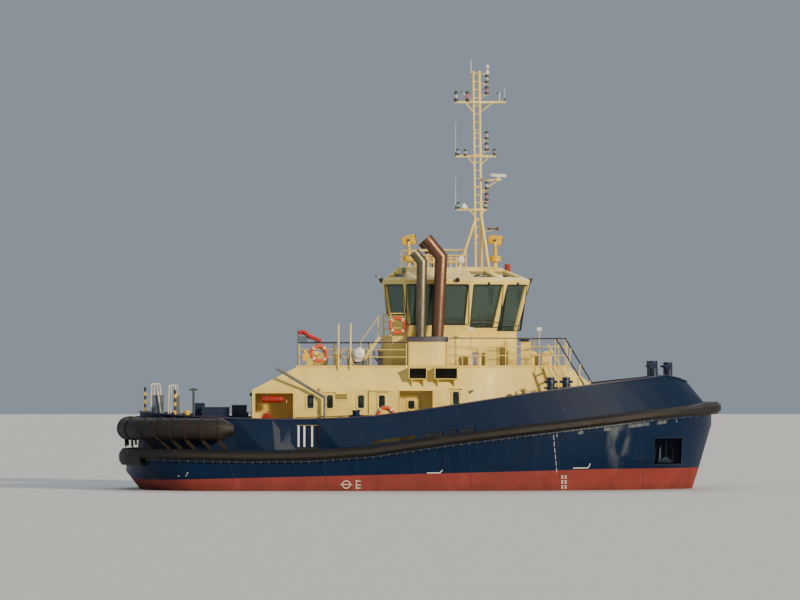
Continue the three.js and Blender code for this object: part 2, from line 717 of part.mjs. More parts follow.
// A weathertight door leaf set in its opening, in the plane of the wall
function doorLeaf(x0, y0, z0) {
  const clear = DOOR_GAP;
  return box(x0 + clear, x0 + DOOR.width - clear, y0, y0 + DOOR.thickness,
    z0 + clear, z0 + DOOR.height - clear);
}
addPair('side_door', join(
  doorLeaf(SIDE_DOOR.x0, sideDoorWall - DOOR.thickness - DOOR.inset, SIDE_DOOR.sillZ),
  sideDoorHinges.leaf,
), 'cream');
add('aft_door', join(box(
  DECKHOUSE_LEVELS[0].aft + DOOR.inset, DECKHOUSE_LEVELS[0].aft + DOOR.inset + DOOR.thickness,
  AFT_DOOR.y0 + DOOR_GAP, AFT_DOOR.y0 + DOOR.width - DOOR_GAP,
  AFT_DOOR.sillZ + DOOR_GAP, AFT_DOOR.sillZ + DOOR.height - DOOR_GAP,
), aftDoorHinges.leaf), 'cream');

// Decks over the deckhouse
const PLATE = 60;

function boatDeck() {
  const overhang = -40;
  const top = DECKHOUSE_LEVELS[2];
  const outline = deckhousePlan(top, overhang).map(([x, y]) => [x, y]);
  return plate(outline, 'xy', BOAT_DECK_Z - PLATE + GAP, BOAT_DECK_Z);
}
add('boat_deck', boatDeck(), 'galvanised');

// Wheelhouse at the eaves: corners on the port side from aft forward. Its flats lean outwards; going down to
// the floor, and going up over the roof slope, each flat is drawn in by its own distance.
const WHEELHOUSE = { floor: 6200, sillSide: 6670, head: 8290, eaves: 8430, roof: 9000, wall: 80, mullion: 105 };
const EAVES_PORT = [[-1490, 1330], [-640, 2330], [2100, 2330], [3520, 1560], [4510, 700]];
const EAVES = [...EAVES_PORT, ...EAVES_PORT.map(([x, y]) => [x, -y]).reverse()];

// For each flat from the port aft oblique round the bow to the aft one: [rake to the floor, run of the roof slope]
const FLATS = [
  [330, 800], [350, 910], [400, 960], [470, 1060], [560, 1180],
  [470, 1060], [400, 960], [350, 910], [330, 800], [360, 690],
];

function wheelhouseRing(z, inset) {
  const share = (WHEELHOUSE.eaves - z) / (WHEELHOUSE.eaves - WHEELHOUSE.floor);
  return insetRing(EAVES, FLATS.map(([rake]) => rake * share + inset)).map(([x, y]) => [x, y, z]);
}

// The trunk is the storey under the wheelhouse; behind and beside the wheelhouse its top is a narrow walkway
const TRUNK_PORT = [[-1490, 1650], [-1120, 2340], [1150, 2340], [2050, 2000], [3250, 1280], [3980, 600]];
const TRUNK_OUTLINE = [...TRUNK_PORT, ...TRUNK_PORT.map(([x, y]) => [x, -y]).reverse()];
const TRUNK_DOOR = { y0: -330, width: 660 };

function trunk() {
  const [z0, z1] = [BOAT_DECK_Z + GAP, WHEELHOUSE.floor - PLATE - GAP];
  const shell = cut(
    plate(TRUNK_OUTLINE, 'xy', z0, z1),
    plate(insetRing(TRUNK_OUTLINE, DECKHOUSE.wall), 'xy', z0 - 10, z1 + 10),
  );
  return cut(shell, box(-1700, -1300, TRUNK_DOOR.y0, TRUNK_DOOR.y0 + TRUNK_DOOR.width, z0 + 60, z1 - 60));
}
add('wheelhouse_trunk', trunk(), 'cream');

add('bridge_deck', plate(insetRing(TRUNK_OUTLINE, -25), 'xy', WHEELHOUSE.floor - PLATE, WHEELHOUSE.floor - GAP),
  'cream');

// Window openings of the wheelhouse, one in each flat but the aft one, which has the door
const SILL_DROPS = [-410, 0, 117, 260, 260, 260, 117, 0, -410];
const LOWEST_SILL = WHEELHOUSE.sillSide - Math.max(...SILL_DROPS);

// Corners of the opening in flat i, at a distance out from the outer face of the wall
function windowCorners(i, out) {
  const level = (z, share) => {
    const ring = wheelhouseRing(z, -out);
    const [a, b] = [ring[i], ring[(i + 1) % ring.length]];
    const length = Math.hypot(b[0] - a[0], b[1] - a[1]);
    const end = WHEELHOUSE.mullion / length;
    const t = share === 0 ? end : 1 - end;
    return [mix(a[0], b[0], t), mix(a[1], b[1], t), z];
  };
  const [low, high] = [WHEELHOUSE.sillSide - SILL_DROPS[i], WHEELHOUSE.head];
  return [level(low, 0), level(low, 1), level(high, 1), level(high, 0)];
}

function windowTool(i) {
  return loft([windowCorners(i, -WHEELHOUSE.wall * 3), windowCorners(i, WHEELHOUSE.wall)]);
}

const WINDOW_FLATS = [0, 1, 2, 3, 4, 5, 6, 7, 8];
const BRIDGE_DOOR = { y0: -360, width: 720, sillZ: WHEELHOUSE.floor + 90, height: 1860 };

function bridgeDoorOpening(grow) {
  return box(-2000, -700, BRIDGE_DOOR.y0 + grow, BRIDGE_DOOR.y0 + BRIDGE_DOOR.width - grow,
    BRIDGE_DOOR.sillZ + grow, BRIDGE_DOOR.sillZ + BRIDGE_DOOR.height - grow);
}

function wheelhouseShell(outerInset, innerInset, z0, z1) {
  return cut(
    loft([wheelhouseRing(z0, outerInset), wheelhouseRing(z1, outerInset)]),
    loft([wheelhouseRing(z0 - 5, innerInset), wheelhouseRing(z1 + 5, innerInset)]),
  );
}

// Hinges of the bridge door, on the inner face of the raked aft flat
const aftRake = FLATS[FLATS.length - 1][0] / (WHEELHOUSE.eaves - WHEELHOUSE.floor);
const bridgeDoorHinges = hinges(
  -1, HINGE.standoff + 35, HINGE.standoff + 8,
  [[0, 0, 90], [0, -THREE.MathUtils.radToDeg(Math.atan(aftRake)), 0]],
  [BRIDGE_DOOR.sillZ + 330, BRIDGE_DOOR.sillZ + 1530].map((z) => [
    EAVES_PORT[0][0] + aftRake * (WHEELHOUSE.eaves - z) + WHEELHOUSE.wall + HINGE.standoff,
    BRIDGE_DOOR.y0 + DOOR_GAP / 2,
    z,
  ]),
);
add('wheelhouse', join(cut(
  wheelhouseShell(0, WHEELHOUSE.wall, WHEELHOUSE.floor, WHEELHOUSE.eaves),
  WINDOW_FLATS.map(windowTool), bridgeDoorOpening(0),
), bridgeDoorHinges.frame), 'cream');

// Glazing: one band of thick glass bonded to the inside of the frames, open behind where the door stands
const GLASS = { thickness: 14, overlap: 45 };
add('wheelhouse_glazing', cut(
  wheelhouseShell(WHEELHOUSE.wall + GAP, WHEELHOUSE.wall + GAP + GLASS.thickness,
    LOWEST_SILL - GLASS.overlap, WHEELHOUSE.head + GLASS.overlap),
  bridgeDoorOpening(-HINGE.strap - DOOR_GAP),
), 'glass');

// Bridge door: a leaf in the aft flat, raked with it, with its own window
function bridgeDoor() {
  const [outset, thickness] = [5, 50];
  const leaf = loft([
    wheelhouseRing(WHEELHOUSE.floor, outset), wheelhouseRing(WHEELHOUSE.eaves, outset),
  ]).subtract(loft([
    wheelhouseRing(WHEELHOUSE.floor - 5, outset + thickness),
    wheelhouseRing(WHEELHOUSE.eaves + 5, outset + thickness),
  ]));
  const opening = bridgeDoorOpening(DOOR_GAP);
  const window = box(-2000, -700, -190, 190, 7180, 7860);
  return join(leaf.intersect(opening).subtract(window), bridgeDoorHinges.leaf);
}
add('bridge_door', bridgeDoor(), 'cream');

// Roof of the wheelhouse: a hipped shell with a flat top; the oblique slopes have sky windows
const ROOF = { skin: 60, rimWall: 30, rim: 70, overhang: 5 };
const SKY_FLATS = [0, 2, 3, 4, 5, 6, 8];

// Outline of the roof where its slopes have run a share of the way to the flat top
function roofOutline(share, inset) {
  return insetRing(EAVES, FLATS.map(([, run]) => run * share - ROOF.overhang + inset));
}

function roofForm(inset, lower, foot) {
  const ring = (share, z) => roofOutline(share, inset).map(([x, y]) => [x, y, z]);
  return loft([
    ring(0, foot),
    ring(0, WHEELHOUSE.eaves + ROOF.rim - lower),
    ring(1, WHEELHOUSE.roof - lower),
  ]);
}

function skyWindow(i) {
  const point = (across, rise) => {
    const ring = roofOutline(rise, 0);
    const [a, b] = [ring[i], ring[(i + 1) % ring.length]];
    return [mix(a[0], b[0], across), mix(a[1], b[1], across)];
  };
  const [side, foot, head] = [0.12, 0.2, 0.84];
  const outline = [point(side, foot), point(1 - side, foot), point(1 - side, head), point(side, head)];
  return loft([WHEELHOUSE.eaves - 100, WHEELHOUSE.roof + 100].map((z) => outline.map(([x, y]) => [x, y, z])));
}

add('wheelhouse_roof', cut(
  roofForm(0, 0, WHEELHOUSE.eaves + GAP),
  roofForm(ROOF.rimWall, ROOF.skin, WHEELHOUSE.eaves - 60),
  SKY_FLATS.map(skyWindow),
), 'cream');

// Sky window glass: one band bonded under the slopes of the roof
function roofGlass(depth) {
  return roofForm(ROOF.rimWall + depth, ROOF.skin + depth, WHEELHOUSE.eaves - 60);
}
add('sky_window_glazing', cut(
  roofGlass(GAP), roofGlass(GAP + GLASS.thickness),
  box(-3000, 6000, -3000, 3000, 8000, WHEELHOUSE.eaves + 70),
  box(-3000, 6000, -3000, 3000, WHEELHOUSE.roof - 100, 9500),
), 'glass');

// Console and helm chair
add('bridge_console', join(
  plate([[2250, WHEELHOUSE.floor], [3250, WHEELHOUSE.floor], [3350, 6950], [3050, 7120], [2350, 6980], [2250, 6800]],
    'xz', -620, 620),
  box(900, 1900, -1500, -1000, WHEELHOUSE.floor, 6960),
  box(1860, 2360, -1400, -560, WHEELHOUSE.floor, 6960),
  box(900, 1900, 1000, 1500, WHEELHOUSE.floor, 6960),
  box(1860, 2360, 560, 1400, WHEELHOUSE.floor, 6960),
), 'darkGrey');
add('helm_chair', join(
  rod([1200, 0, WHEELHOUSE.floor], [1200, 0, 6620], 60, 10),
  box(900, 1480, -290, 290, 6600, 6740),
  plate([[880, 6720], [1000, 6700], [900, 7420], [760, 7440]], 'xz', -260, 260),
  box(980, 1420, -330, -260, 6700, 6900),
  box(980, 1420, 260, 330, 6700, 6900),
), 'blackLeather');

// Funnel casings with the exhaust pipes that stand in them
const CASING = { x0: -470, x1: 1100, y0: 2420, y1: 3210, top: 5980, cap: 6180, chamfer: 260 };
const CASING_OUTLINE = [
  [CASING.x0, CASING.y0], [CASING.x1, CASING.y0], [CASING.x1, CASING.y1 - CASING.chamfer],
  [CASING.x1 - CASING.chamfer * 1.6, CASING.y1], [CASING.x0, CASING.y1],
];
const MAIN_EXHAUST = { x: 700, y: 2840, radius: 252, lean: 160, knee: 9400, tip: [-620, 10150] };
const AUX_EXHAUST = { x: 20, y: 2840, radius: 212, lean: 60, knee: 9200, tip: [-330, 9600] };

addPair('funnel_casing', join(
  plate(CASING_OUTLINE, 'xy', BOAT_DECK_Z + GAP, CASING.top + 20),
  plate(insetRing([...CASING_OUTLINE].reverse(), -40), 'xy', CASING.top, CASING.cap),
), 'cream');

// An upright pipe, bent aft near its top, with its mouth bored out
function exhaust({ x, y, radius, lean, knee, tip }) {
  const bend = [x + lean, knee];
  const end = [bend[0] + tip[0], tip[1]];
  const lowAngle = Math.atan2(bend[1] - CASING.cap, lean);
  const highAngle = Math.atan2(end[1] - bend[1], end[0] - bend[0]);
  const ringAt = ([px, pz], angle, r) => Array.from({ length: 14 }, (_, k) => {
    const turn = (2 * Math.PI * k) / 14;
    const across = r * Math.cos(turn);
    return [px + across * Math.sin(angle), y + r * Math.sin(turn), pz - across * Math.cos(angle)];
  });
  const middle = (lowAngle + highAngle) / 2;
  const mitred = radius / Math.cos((highAngle - lowAngle) / 2);
  const bendRing = ringAt(bend, middle, mitred).map(([px, , pz], k) => [
    px, y + radius * Math.sin((2 * Math.PI * k) / 14), pz]);
  const outer = loft([ringAt([x, CASING.cap + GAP], Math.PI / 2, radius), bendRing, ringAt(end, highAngle, radius)]);
  const back = [end[0] - 300 * Math.cos(highAngle), end[1] - 300 * Math.sin(highAngle)];
  const past = [end[0] + 30 * Math.cos(highAngle), end[1] + 30 * Math.sin(highAngle)];
  return outer.subtract(loft([ringAt(back, highAngle, radius - 22), ringAt(past, highAngle, radius - 22)]));
}
addPair('main_exhaust', exhaust(MAIN_EXHAUST), 'copper');
addPair('auxiliary_exhaust', exhaust(AUX_EXHAUST), 'pipeSteel');

// Mast: two uprights, raking legs and three fore-and-aft arms
const MAST = { footZ: WHEELHOUSE.roof + GAP, topZ: 17050, bar: 52 };
const MAST_UPRIGHTS = [[2230, 2330], [2480, 2570]];
const MAST_ARMS = [
  { z: 15770, x0: 1490, x1: 3570, braceX: [1900, 3050], drop: 430 },
  { z: 13560, x0: 1530, x1: 3160, braceX: [2000, 2900], drop: 380 },
  { z: 11380, x0: 1570, x1: 2790, braceX: [2050, 2700], drop: 260 },
];

function mastX(i, z) {
  const [low, high] = MAST_UPRIGHTS[i];
  return mix(high, low, (z - MAST.footZ) / (MAST.topZ - MAST.footZ));
}

function mast() {
  const uprights = MAST_UPRIGHTS.map(([low, high], i) => rod(
    [high, 0, MAST.footZ], [low, 0, MAST.topZ], MAST.bar - 8 * (1 - i), 8));
  const legs = [-1, 1].flatMap((side) => [
    rod([mastX(0, 10950), 0, 10950], [1640, side * 620, MAST.footZ], 55, 8),
    rod([mastX(1, 11200), 0, 11200], [2860, side * 480, MAST.footZ], 55, 8),
  ]);
  const arms = MAST_ARMS.map(({ z, x0, x1 }) => box(x0, x1, -38, 38, z - 38, z + 38));
  const braces = MAST_ARMS.flatMap(({ z, braceX, drop }) => braceX.map((x, i) => rod(
    [x, 0, z], [mastX(i, z - drop), 0, z - drop], 26, 6)));
  const ties = [10250, 10950, 12300, 14500, 16950].map((z) => rod([mastX(0, z), 0, z], [mastX(1, z), 0, z], 24, 6));
  const radarBracket = [
    box(2480, RADAR.x + 130, -45, 45, RADAR.z - 200, RADAR.z - 140),
    rod([mastX(1, 12100), 0, 12100], [RADAR.x, 0, RADAR.z - 170], 28, 6),
    box(RADAR.x - 120, RADAR.x + 120, -120, 120, RADAR.z - 200, RADAR.z - 120),
  ];
  const feet = box(1540, 2980, -720, 720, MAST.footZ, MAST.footZ + 30);
  const roofLine = box(0, 4000, -1500, 1500, MAST.footZ - 500, MAST.footZ);
  return cut(join(uprights, legs, arms, braces, ties, radarBracket, feet), roofLine);
}
// The scanner lies as it stopped, turned from the ship's length
const RADAR = { x: 3250, z: 12760, span: 1250, turned: 62 };
add('mast', mast(), 'mastCream');
add('radar_scanner', join(
  rod([0, 0, GAP - 120], [0, 0, -20], 60, 12),
  box(-RADAR.span / 2, RADAR.span / 2, -60, 60, -40, 75),
).rotate([0, 0, RADAR.turned]).translate([RADAR.x, 0, RADAR.z]), 'white');

// Searchlights: a lamp box in a yoke on a pedestal, fore and aft on the roof
function searchlight(x, y) {
  const z = WHEELHOUSE.roof + GAP;
  return join(
    rod([x, y, z], [x, y, z + 1010], 55, 8),
    box(x - 180, x + 180, y - 130, y + 130, z + 260, z + 480),
    box(x - 210, x + 210, y - 200, y + 200, z + 920, z + 1380),
  );
}
add('searchlight_aft', searchlight(-400, 0), 'lampYellow');
add('searchlight_forward', searchlight(3130, 0), 'lampYellow');

// Guard rails: posts and three bars along a path of deck points [x, y]
const RAIL = { height: 1050, post: 22, bar: 20, spacing: 1250 };

function guardRail(path, z, height = RAIL.height, spacing = RAIL.spacing) {
  const parts = [];
  path.slice(1).forEach((to, i) => {
    const from = path[i];
    const length = Math.hypot(to[0] - from[0], to[1] - from[1]);
    const bays = Math.max(1, Math.round(length / spacing));
    for (let k = i === 0 ? 0 : 1; k <= bays; k += 1) {
      const [x, y] = [mix(from[0], to[0], k / bays), mix(from[1], to[1], k / bays)];
      parts.push(rod([x, y, z + GAP], [x, y, z + height], RAIL.post, 6));
    }
    for (const share of [0.36, 0.68, 1]) {
      const level = z + height * share;
      const [radius, sides] = share === 1 ? [RAIL.post, 6] : [RAIL.bar, 4];
      parts.push(rod([from[0], from[1], level], [to[0], to[1], level], radius, sides));
    }
  });
  return join(parts);
}

const RAIL_EDGE = 3150;
const AFT_RAIL_X = -4880;
add('aft_rail', guardRail([
  [-560, -RAIL_EDGE], [AFT_RAIL_X, -RAIL_EDGE], [AFT_RAIL_X, RAIL_EDGE], [-560, RAIL_EDGE],
], BOAT_DECK_Z, 930, 1500), 'cream');
add('fore_rail', guardRail([
  [1200, -RAIL_EDGE], [1700, -RAIL_EDGE], [3450, -2980], [4830, -2560], [5640, -1720], [6020, -880], [6020, 880],
  [5640, 1720], [4830, 2560], [3450, 2980], [1700, RAIL_EDGE], [1200, RAIL_EDGE],
], BOAT_DECK_Z, 1100), 'cream');
add('bridge_rail', join(
  guardRail([[-1430, -1250], [-1430, 1620], [-1130, 2310], [-560, 2310]], WHEELHOUSE.floor, 920, 1500),
  guardRail([[-1180, -2310], [-560, -2310]], WHEELHOUSE.floor, 920),
  [[[-1440, -1200], [-1440, -1650]], [[-1440, -1650], [-1150, -2310]]].map(([from, to]) => rod(
    [...from, WHEELHOUSE.floor + 25], [...to, WHEELHOUSE.floor + 25], 22, 6)),
), 'cream');
add('roof_rail', guardRail([
  [1900, -1340], [-150, -1340], [-700, -700], [-700, 700], [-150, 1340], [1900, 1340],
], WHEELHOUSE.roof, 720), 'mastCream');

// Stairs: two stringers with treads, and a handrail with its two posts on each side
function stairs({ topX, topZ, footX, footZ, y, width, treads }) {
  const along = (share, up) => [mix(footX, topX, share) + 70, mix(footZ, topZ, share) + up];
  const sides = [-1, 1].flatMap((side) => {
    const at = y + side * width / 2;
    const stringer = footX < topX
      ? [[footX, footZ], [footX + 150, footZ], [topX + 150, topZ], [topX, topZ]]
      : [[footX, footZ], [topX, topZ], [topX + 150, topZ], [footX + 150, footZ]];
    const bar = (from, to) => rod([from[0], at, from[1]], [to[0], at, to[1]], 19, 6);
    return [
      plate(stringer, 'xz', at - 12, at + 12),
      bar(along(0.06, 0), along(0.06, 900)),
      bar(along(0.94, 0), along(0.94, 900)),
      bar(along(0.02, 890), along(1, 890)),
    ];
  });
  const steps = Array.from({ length: treads }, (_, i) => {
    const [x, z] = along((i + 0.5) / treads, 0);
    return box(x - 75, x + 75, y - width / 2, y + width / 2, z - 10, z + 10);
  });
  return join(sides, steps);
}

const FORE_STAIR = { topX: 5080, topZ: 4990, footX: 6330, footZ: 2750, y: -3100, width: 540, treads: 7 };
const BRIDGE_STAIR = {
  topX: -1700, topZ: 6150, footX: -2500, footZ: BOAT_DECK_Z + GAP, y: -1650, width: 560, treads: 4,
};
add('fore_stairs', seatOnDeck(stairs(FORE_STAIR)), 'cream');
add('bridge_stairs', stairs(BRIDGE_STAIR), 'cream');

// Slewing davit on the starboard side deck: a post fixed beside the house, and the arm that turns on it
const DAVIT = { x: -3850, y: -4000, radius: 62, collarZ: 2650, kneeZ: 3730, tip: [-5780, 4900] };
add('davit_post', seatOnDeck(join(
  rod([DAVIT.x, DAVIT.y, 1500], [DAVIT.x, DAVIT.y, DAVIT.collarZ], 95, 12),
  rod([DAVIT.x, DAVIT.y, 1500], [DAVIT.x, DAVIT.y, 1690], 210, 12),
)), 'galvanised');
add('davit_arm', bentRod([
  [DAVIT.x, DAVIT.y, DAVIT.collarZ + GAP], [DAVIT.x, DAVIT.y, DAVIT.kneeZ], [DAVIT.tip[0], DAVIT.y, DAVIT.tip[1]],
], DAVIT.radius, 10), 'galvanised');

// Life-saving gear: a canister liferaft on its cradle, and lifebuoys on the rails and the house side
add('liferaft_canister', join(
  rod([-2520, -3020, 5420], [-2520, -2180, 5420], 290, 14),
  box(-2770, -2270, -2860, -2780, BOAT_DECK_Z + GAP, 5320),
  box(-2770, -2270, -2420, -2340, BOAT_DECK_Z + GAP, 5320),
), 'white');

const LIFEBUOY = { ring: 300, tube: 72, sides: 6 };
const lifebuoyBack = LIFEBUOY.tube * Math.sin(Math.PI / 3) + GAP;
const LIFEBUOYS = [
  ['aft_rail', -4080, -RAIL_EDGE - RAIL.bar - lifebuoyBack, 5500],
  ['bridge_rail', -900, -2310 - RAIL.post - lifebuoyBack, 6640],
];
LIFEBUOYS.forEach(([place, x, y, z]) => {
  const ring = new THREE.TorusGeometry(LIFEBUOY.ring, LIFEBUOY.tube, LIFEBUOY.sides, 14);
  ring.rotateX(Math.PI / 2);
  ring.translate(x, y, z);
  add(`lifebuoy_${place}`, solid(ring), 'lifebuoyOrange');
});

// Winches: a bed with two side frames and a motor, and a flanged drum that turns between the frames
function winchBed({ x, y, axisZ, drumRadius, drumLength, motorSide }) {
  const frame = 90;
  const inside = drumLength / 2 + CHEEK_GAP;
  const foot = axisZ - drumRadius - 900;
  const cheek = (side) => {
    const [y0, y1] = side > 0 ? [y + inside, y + inside + frame] : [y - inside - frame, y - inside];
    return plate([
      [x - 620, foot], [x + 620, foot], [x + 560, axisZ - drumRadius], [x + 190, axisZ + 210],
      [x - 190, axisZ + 210], [x - 560, axisZ - drumRadius],
    ], 'xz', y0, y1);
  };
  const motorY = y + motorSide * (inside + frame);
  return join(
    cheek(1), cheek(-1),
    box(x - 600, x - 420, y - inside - 20, y + inside + 20, foot, axisZ - drumRadius - 60),
    box(x + 420, x + 600, y - inside - 20, y + inside + 20, foot, axisZ - drumRadius - 60),
    rod([x, motorY - motorSide * 20, axisZ], [x, motorY + motorSide * 480, axisZ], 230, 14),
    box(x - 200, x + 200, Math.min(motorY, motorY + motorSide * 400), Math.max(motorY, motorY + motorSide * 400),
      foot, axisZ - 100),
  );
}

const CHEEK_GAP = 12;
const AXLE = { radius: 130, run: CHEEK_GAP - GAP };

function winchDrum({ x, y, axisZ, drumRadius, drumLength }) {
  const half = drumLength / 2;
  return join(
    rod([x, y - half - AXLE.run, axisZ], [x, y + half + AXLE.run, axisZ], AXLE.radius, 12),
    rod([x, y - half, axisZ], [x, y + half, axisZ], drumRadius * 0.55, 18),
    rod([x, y - half, axisZ], [x, y - half + 40, axisZ], drumRadius, 20),
    rod([x, y + half - 40, axisZ], [x, y + half, axisZ], drumRadius, 20),
  );
}
const WINCHES = {
  fore_winch: { x: 8700, y: 0, axisZ: 3900, drumRadius: 520, drumLength: 1150, motorSide: 1 },
  aft_winch: { x: -8250, y: 0, axisZ: 2560, drumRadius: 600, drumLength: 1250, motorSide: -1 },
};
Object.entries(WINCHES).forEach(([name, winch]) => {
  add(`${name}_frame`, seatOnDeck(winchBed(winch)), 'hullBlue');
  add(`${name}_drum`, winchDrum(winch), 'galvanised');
});

add('fore_bitts_port', seatOnDeck(bitts(FORE_BITTS, 1)), 'hullBlue');
add('fore_bitts_starboard', seatOnDeck(bitts(FORE_BITTS, -1)), 'hullBlue');

// Bow staple: a heavy portal that leads the towline over the bow
const STAPLE = { x: 9620, half: 620, radius: 190, top: 5080, rake: 90 };
const BOW_LEAD = { x: 10180, half: 430, radius: 165, top: 5060 };
const stapleLegs = [-1, 1].flatMap((side) => [
  rod([STAPLE.x, side * STAPLE.half, 2900], [STAPLE.x - STAPLE.rake, side * STAPLE.half, STAPLE.top + 130],
    STAPLE.radius, 14),
  rod([BOW_LEAD.x, side * BOW_LEAD.half, 2900], [BOW_LEAD.x, side * BOW_LEAD.half, BOW_LEAD.top + 90],
    BOW_LEAD.radius, 14),
  plate([[9340, 2900], [STAPLE.x, 2900], [STAPLE.x, 4700], [STAPLE.x - 150, 4700]], 'xz',
    side * STAPLE.half - 25, side * STAPLE.half + 25),
]);
add('bow_staple', seatOnDeck(join(
  stapleLegs,
  rod([STAPLE.x - STAPLE.rake, -STAPLE.half - 260, STAPLE.top - 60],
    [STAPLE.x - STAPLE.rake, STAPLE.half + 260, STAPLE.top - 60], STAPLE.radius * 0.8, 14),
  rod([STAPLE.x, -STAPLE.half, 4050], [STAPLE.x, STAPLE.half, 4050], STAPLE.radius * 0.7, 12),
  rod([BOW_LEAD.x, -BOW_LEAD.half - 200, BOW_LEAD.top - 80], [BOW_LEAD.x, BOW_LEAD.half + 200, BOW_LEAD.top - 80],
    BOW_LEAD.radius * 0.8, 14),
  rod([STAPLE.x, 0, 4050], [BOW_LEAD.x, 0, 4050], 90, 10),
  rod([BOW_LEAD.x, -BOW_LEAD.half, 4050], [BOW_LEAD.x, BOW_LEAD.half, 4050], 100, 12),
)), 'hullBlue');
add('stern_staple', seatOnDeck(join(
  rod([-10800, 420, 1400], [-10800, 420, 3150], 130, 12),
  rod([-10800, -420, 1400], [-10800, -420, 3150], 130, 12),
  rod([-10800, -560, 3040], [-10800, 560, 3040], 120, 12),
)), 'hullBlue');

// Anchors: a shank, a crown and two flukes lying in the pocket
function anchor() {
  const [x, y, z] = [(POCKET.x0 + POCKET.x1) / 2, POCKET.inner + GAP, 1150];
  return join(
    plate([[x - 45, z], [x + 45, z], [x + 35, POCKET.z1 - 120], [x - 35, POCKET.z1 - 120]], 'xz', y, y + 90),
    box(x - 330, x + 330, y, y + 150, z - 70, z + 90),
    plate([[x - 330, z], [x - 210, z], [x - 270, z + 560]], 'xz', y, y + 60),
    plate([[x + 210, z], [x + 330, z], [x + 270, z + 560]], 'xz', y, y + 60),
  );
}
addPair('anchor', anchor(), 'darkGrey');

// Azimuth thrusters: an upright leg under its seat, a pod on the propeller axis and a nozzle round the propeller
const PROP = { radius: 1090, hub: 210, podGap: 210, x: THRUSTER.x - 60 };
const legTop = THRUSTER.seatZ - GAP;

function thruster(side) {
  const y = side * THRUSTER.y;
  const { x, axisZ: z } = THRUSTER;
  const profile = [
    [THRUSTER.nozzleInner, -THRUSTER.nozzleLength / 2],
    [THRUSTER.nozzleOuter - 90, -THRUSTER.nozzleLength / 2],
    [THRUSTER.nozzleOuter, THRUSTER.nozzleLength * 0.25],
    [THRUSTER.nozzleOuter - 70, THRUSTER.nozzleLength / 2],
    [THRUSTER.nozzleInner + 50, THRUSTER.nozzleLength / 2],
    [THRUSTER.nozzleInner, THRUSTER.nozzleLength * 0.2],
    [THRUSTER.nozzleInner, -THRUSTER.nozzleLength / 2],
  ];
  const ring = new THREE.LatheGeometry(profile.map(([r, h]) => new THREE.Vector2(r, h)), 28);
  ring.rotateZ(-Math.PI / 2);
  ring.translate(x, y, z);
  const podStart = PROP.x + PROP.podGap;
  const pod = join(
    rod([podStart, y, z], [podStart + 1150, y, z], 300, 16, 300),
    rod([podStart + 1150, y, z], [podStart + 1500, y, z], 300, 16, 90),
  );
  const struts = [0, 120, 240].map((degrees) => {
    const angle = THREE.MathUtils.degToRad(degrees + 90);
    const far = THRUSTER.nozzleInner + 60;
    return rod([x + 400, y, z], [x + 400, y + far * Math.cos(angle), z + far * Math.sin(angle)], 62, 8);
  });
  return join(
    solid(ring), pod, struts,
    rod([x, y, legTop], [x, y, legTop - 130], 780, 20),
    rod([x + 420, y, z + 150], [x + 300, y, legTop - 100], 330, 14, 420),
  ).subtract(rod([PROP.x - 600, y, z], [podStart, y, z], THRUSTER.nozzleInner, 28));
}

function propeller(side) {
  const y = side * THRUSTER.y;
  const z = THRUSTER.axisZ;
  const blades = Array.from({ length: 4 }, (_, i) => {
    const section = (r, half, twist) => [[-half, -18], [half, -18], [half, 18], [-half, 18]].map(([along, out]) => {
      const a = THREE.MathUtils.degToRad(twist);
      return [along * Math.sin(a) + out * Math.cos(a), along * Math.cos(a) - out * Math.sin(a), r];
    });
    const blade = loft([section(120, 150, 50), section(480, 270, 38), section(860, 330, 28),
      section(PROP.radius, 210, 22)]);
    return blade.rotate([i * 90, 0, 0]);
  });
  const hub = join(
    rod([-210, 0, 0], [PROP.podGap - GAP, 0, 0], PROP.hub, 16),
    rod([-420, 0, 0], [-200, 0, 0], 70, 16, PROP.hub),
  );
  return join(hub, blades).translate([PROP.x, y, z]);
}
for (const [name, side] of [['port', 1], ['starboard', -1]]) {
  add(`thruster_${name}`, thruster(side), 'antifouling');
  add(`propeller_${name}`, propeller(side), 'bronze');
}

// Stern handrails of tube: two hoops in line by the bulwark, each [aft foot, top aft, top forward, forward foot, top]
const STERN_HOOPS = [
  [-10860, -10840, -10620, -10240, 4260],
  [-10200, -10130, -9890, -9480, 4200],
];
const STERN_RAIL = { y: 2600, foot: 1500, tieZ: 2900, radius: 26 };

function sternHandrail() {
  const { y, foot, tieZ, radius } = STERN_RAIL;
  const hoops = STERN_HOOPS.flatMap(([x0, x1, x2, x3, top]) => [
    rod([x0, y, foot], [x1, y, top], radius, 6),
    rod([x1, y, top], [x2, y, top], radius, 6),
    rod([x2, y, top], [x3, y, foot], radius, 6),
  ]);
  const tieFrom = mix(STERN_HOOPS[0][0], STERN_HOOPS[0][1], 0.5);
  const tieTo = mix(STERN_HOOPS[1][2], STERN_HOOPS[1][3], 0.5);
  return seatOnDeck(join(hoops, rod([tieFrom, y, tieZ], [tieTo, y, tieZ], radius * 0.8, 6)));
}
addPair('stern_handrail', sternHandrail(), 'stainless');

// Lid of the aft hatch
const lidZ = deckAt(HATCH.x0) + HATCH.height + GAP;
add('aft_hatch_lid', box(HATCH.x0 - HATCH.rim, HATCH.x1 + HATCH.rim, HATCH.y0 - HATCH.rim, HATCH.y1 + HATCH.rim,
  lidZ, lidZ + HATCH.lid), 'hullBlue');

export default tug;
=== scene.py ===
"""Visual model of a harbour tug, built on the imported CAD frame. All lengths are in metres."""

import logging
import math
from dataclasses import dataclass, field
from enum import Enum
from typing import Sequence

import bmesh
import bpy
from mathutils import Matrix, Vector


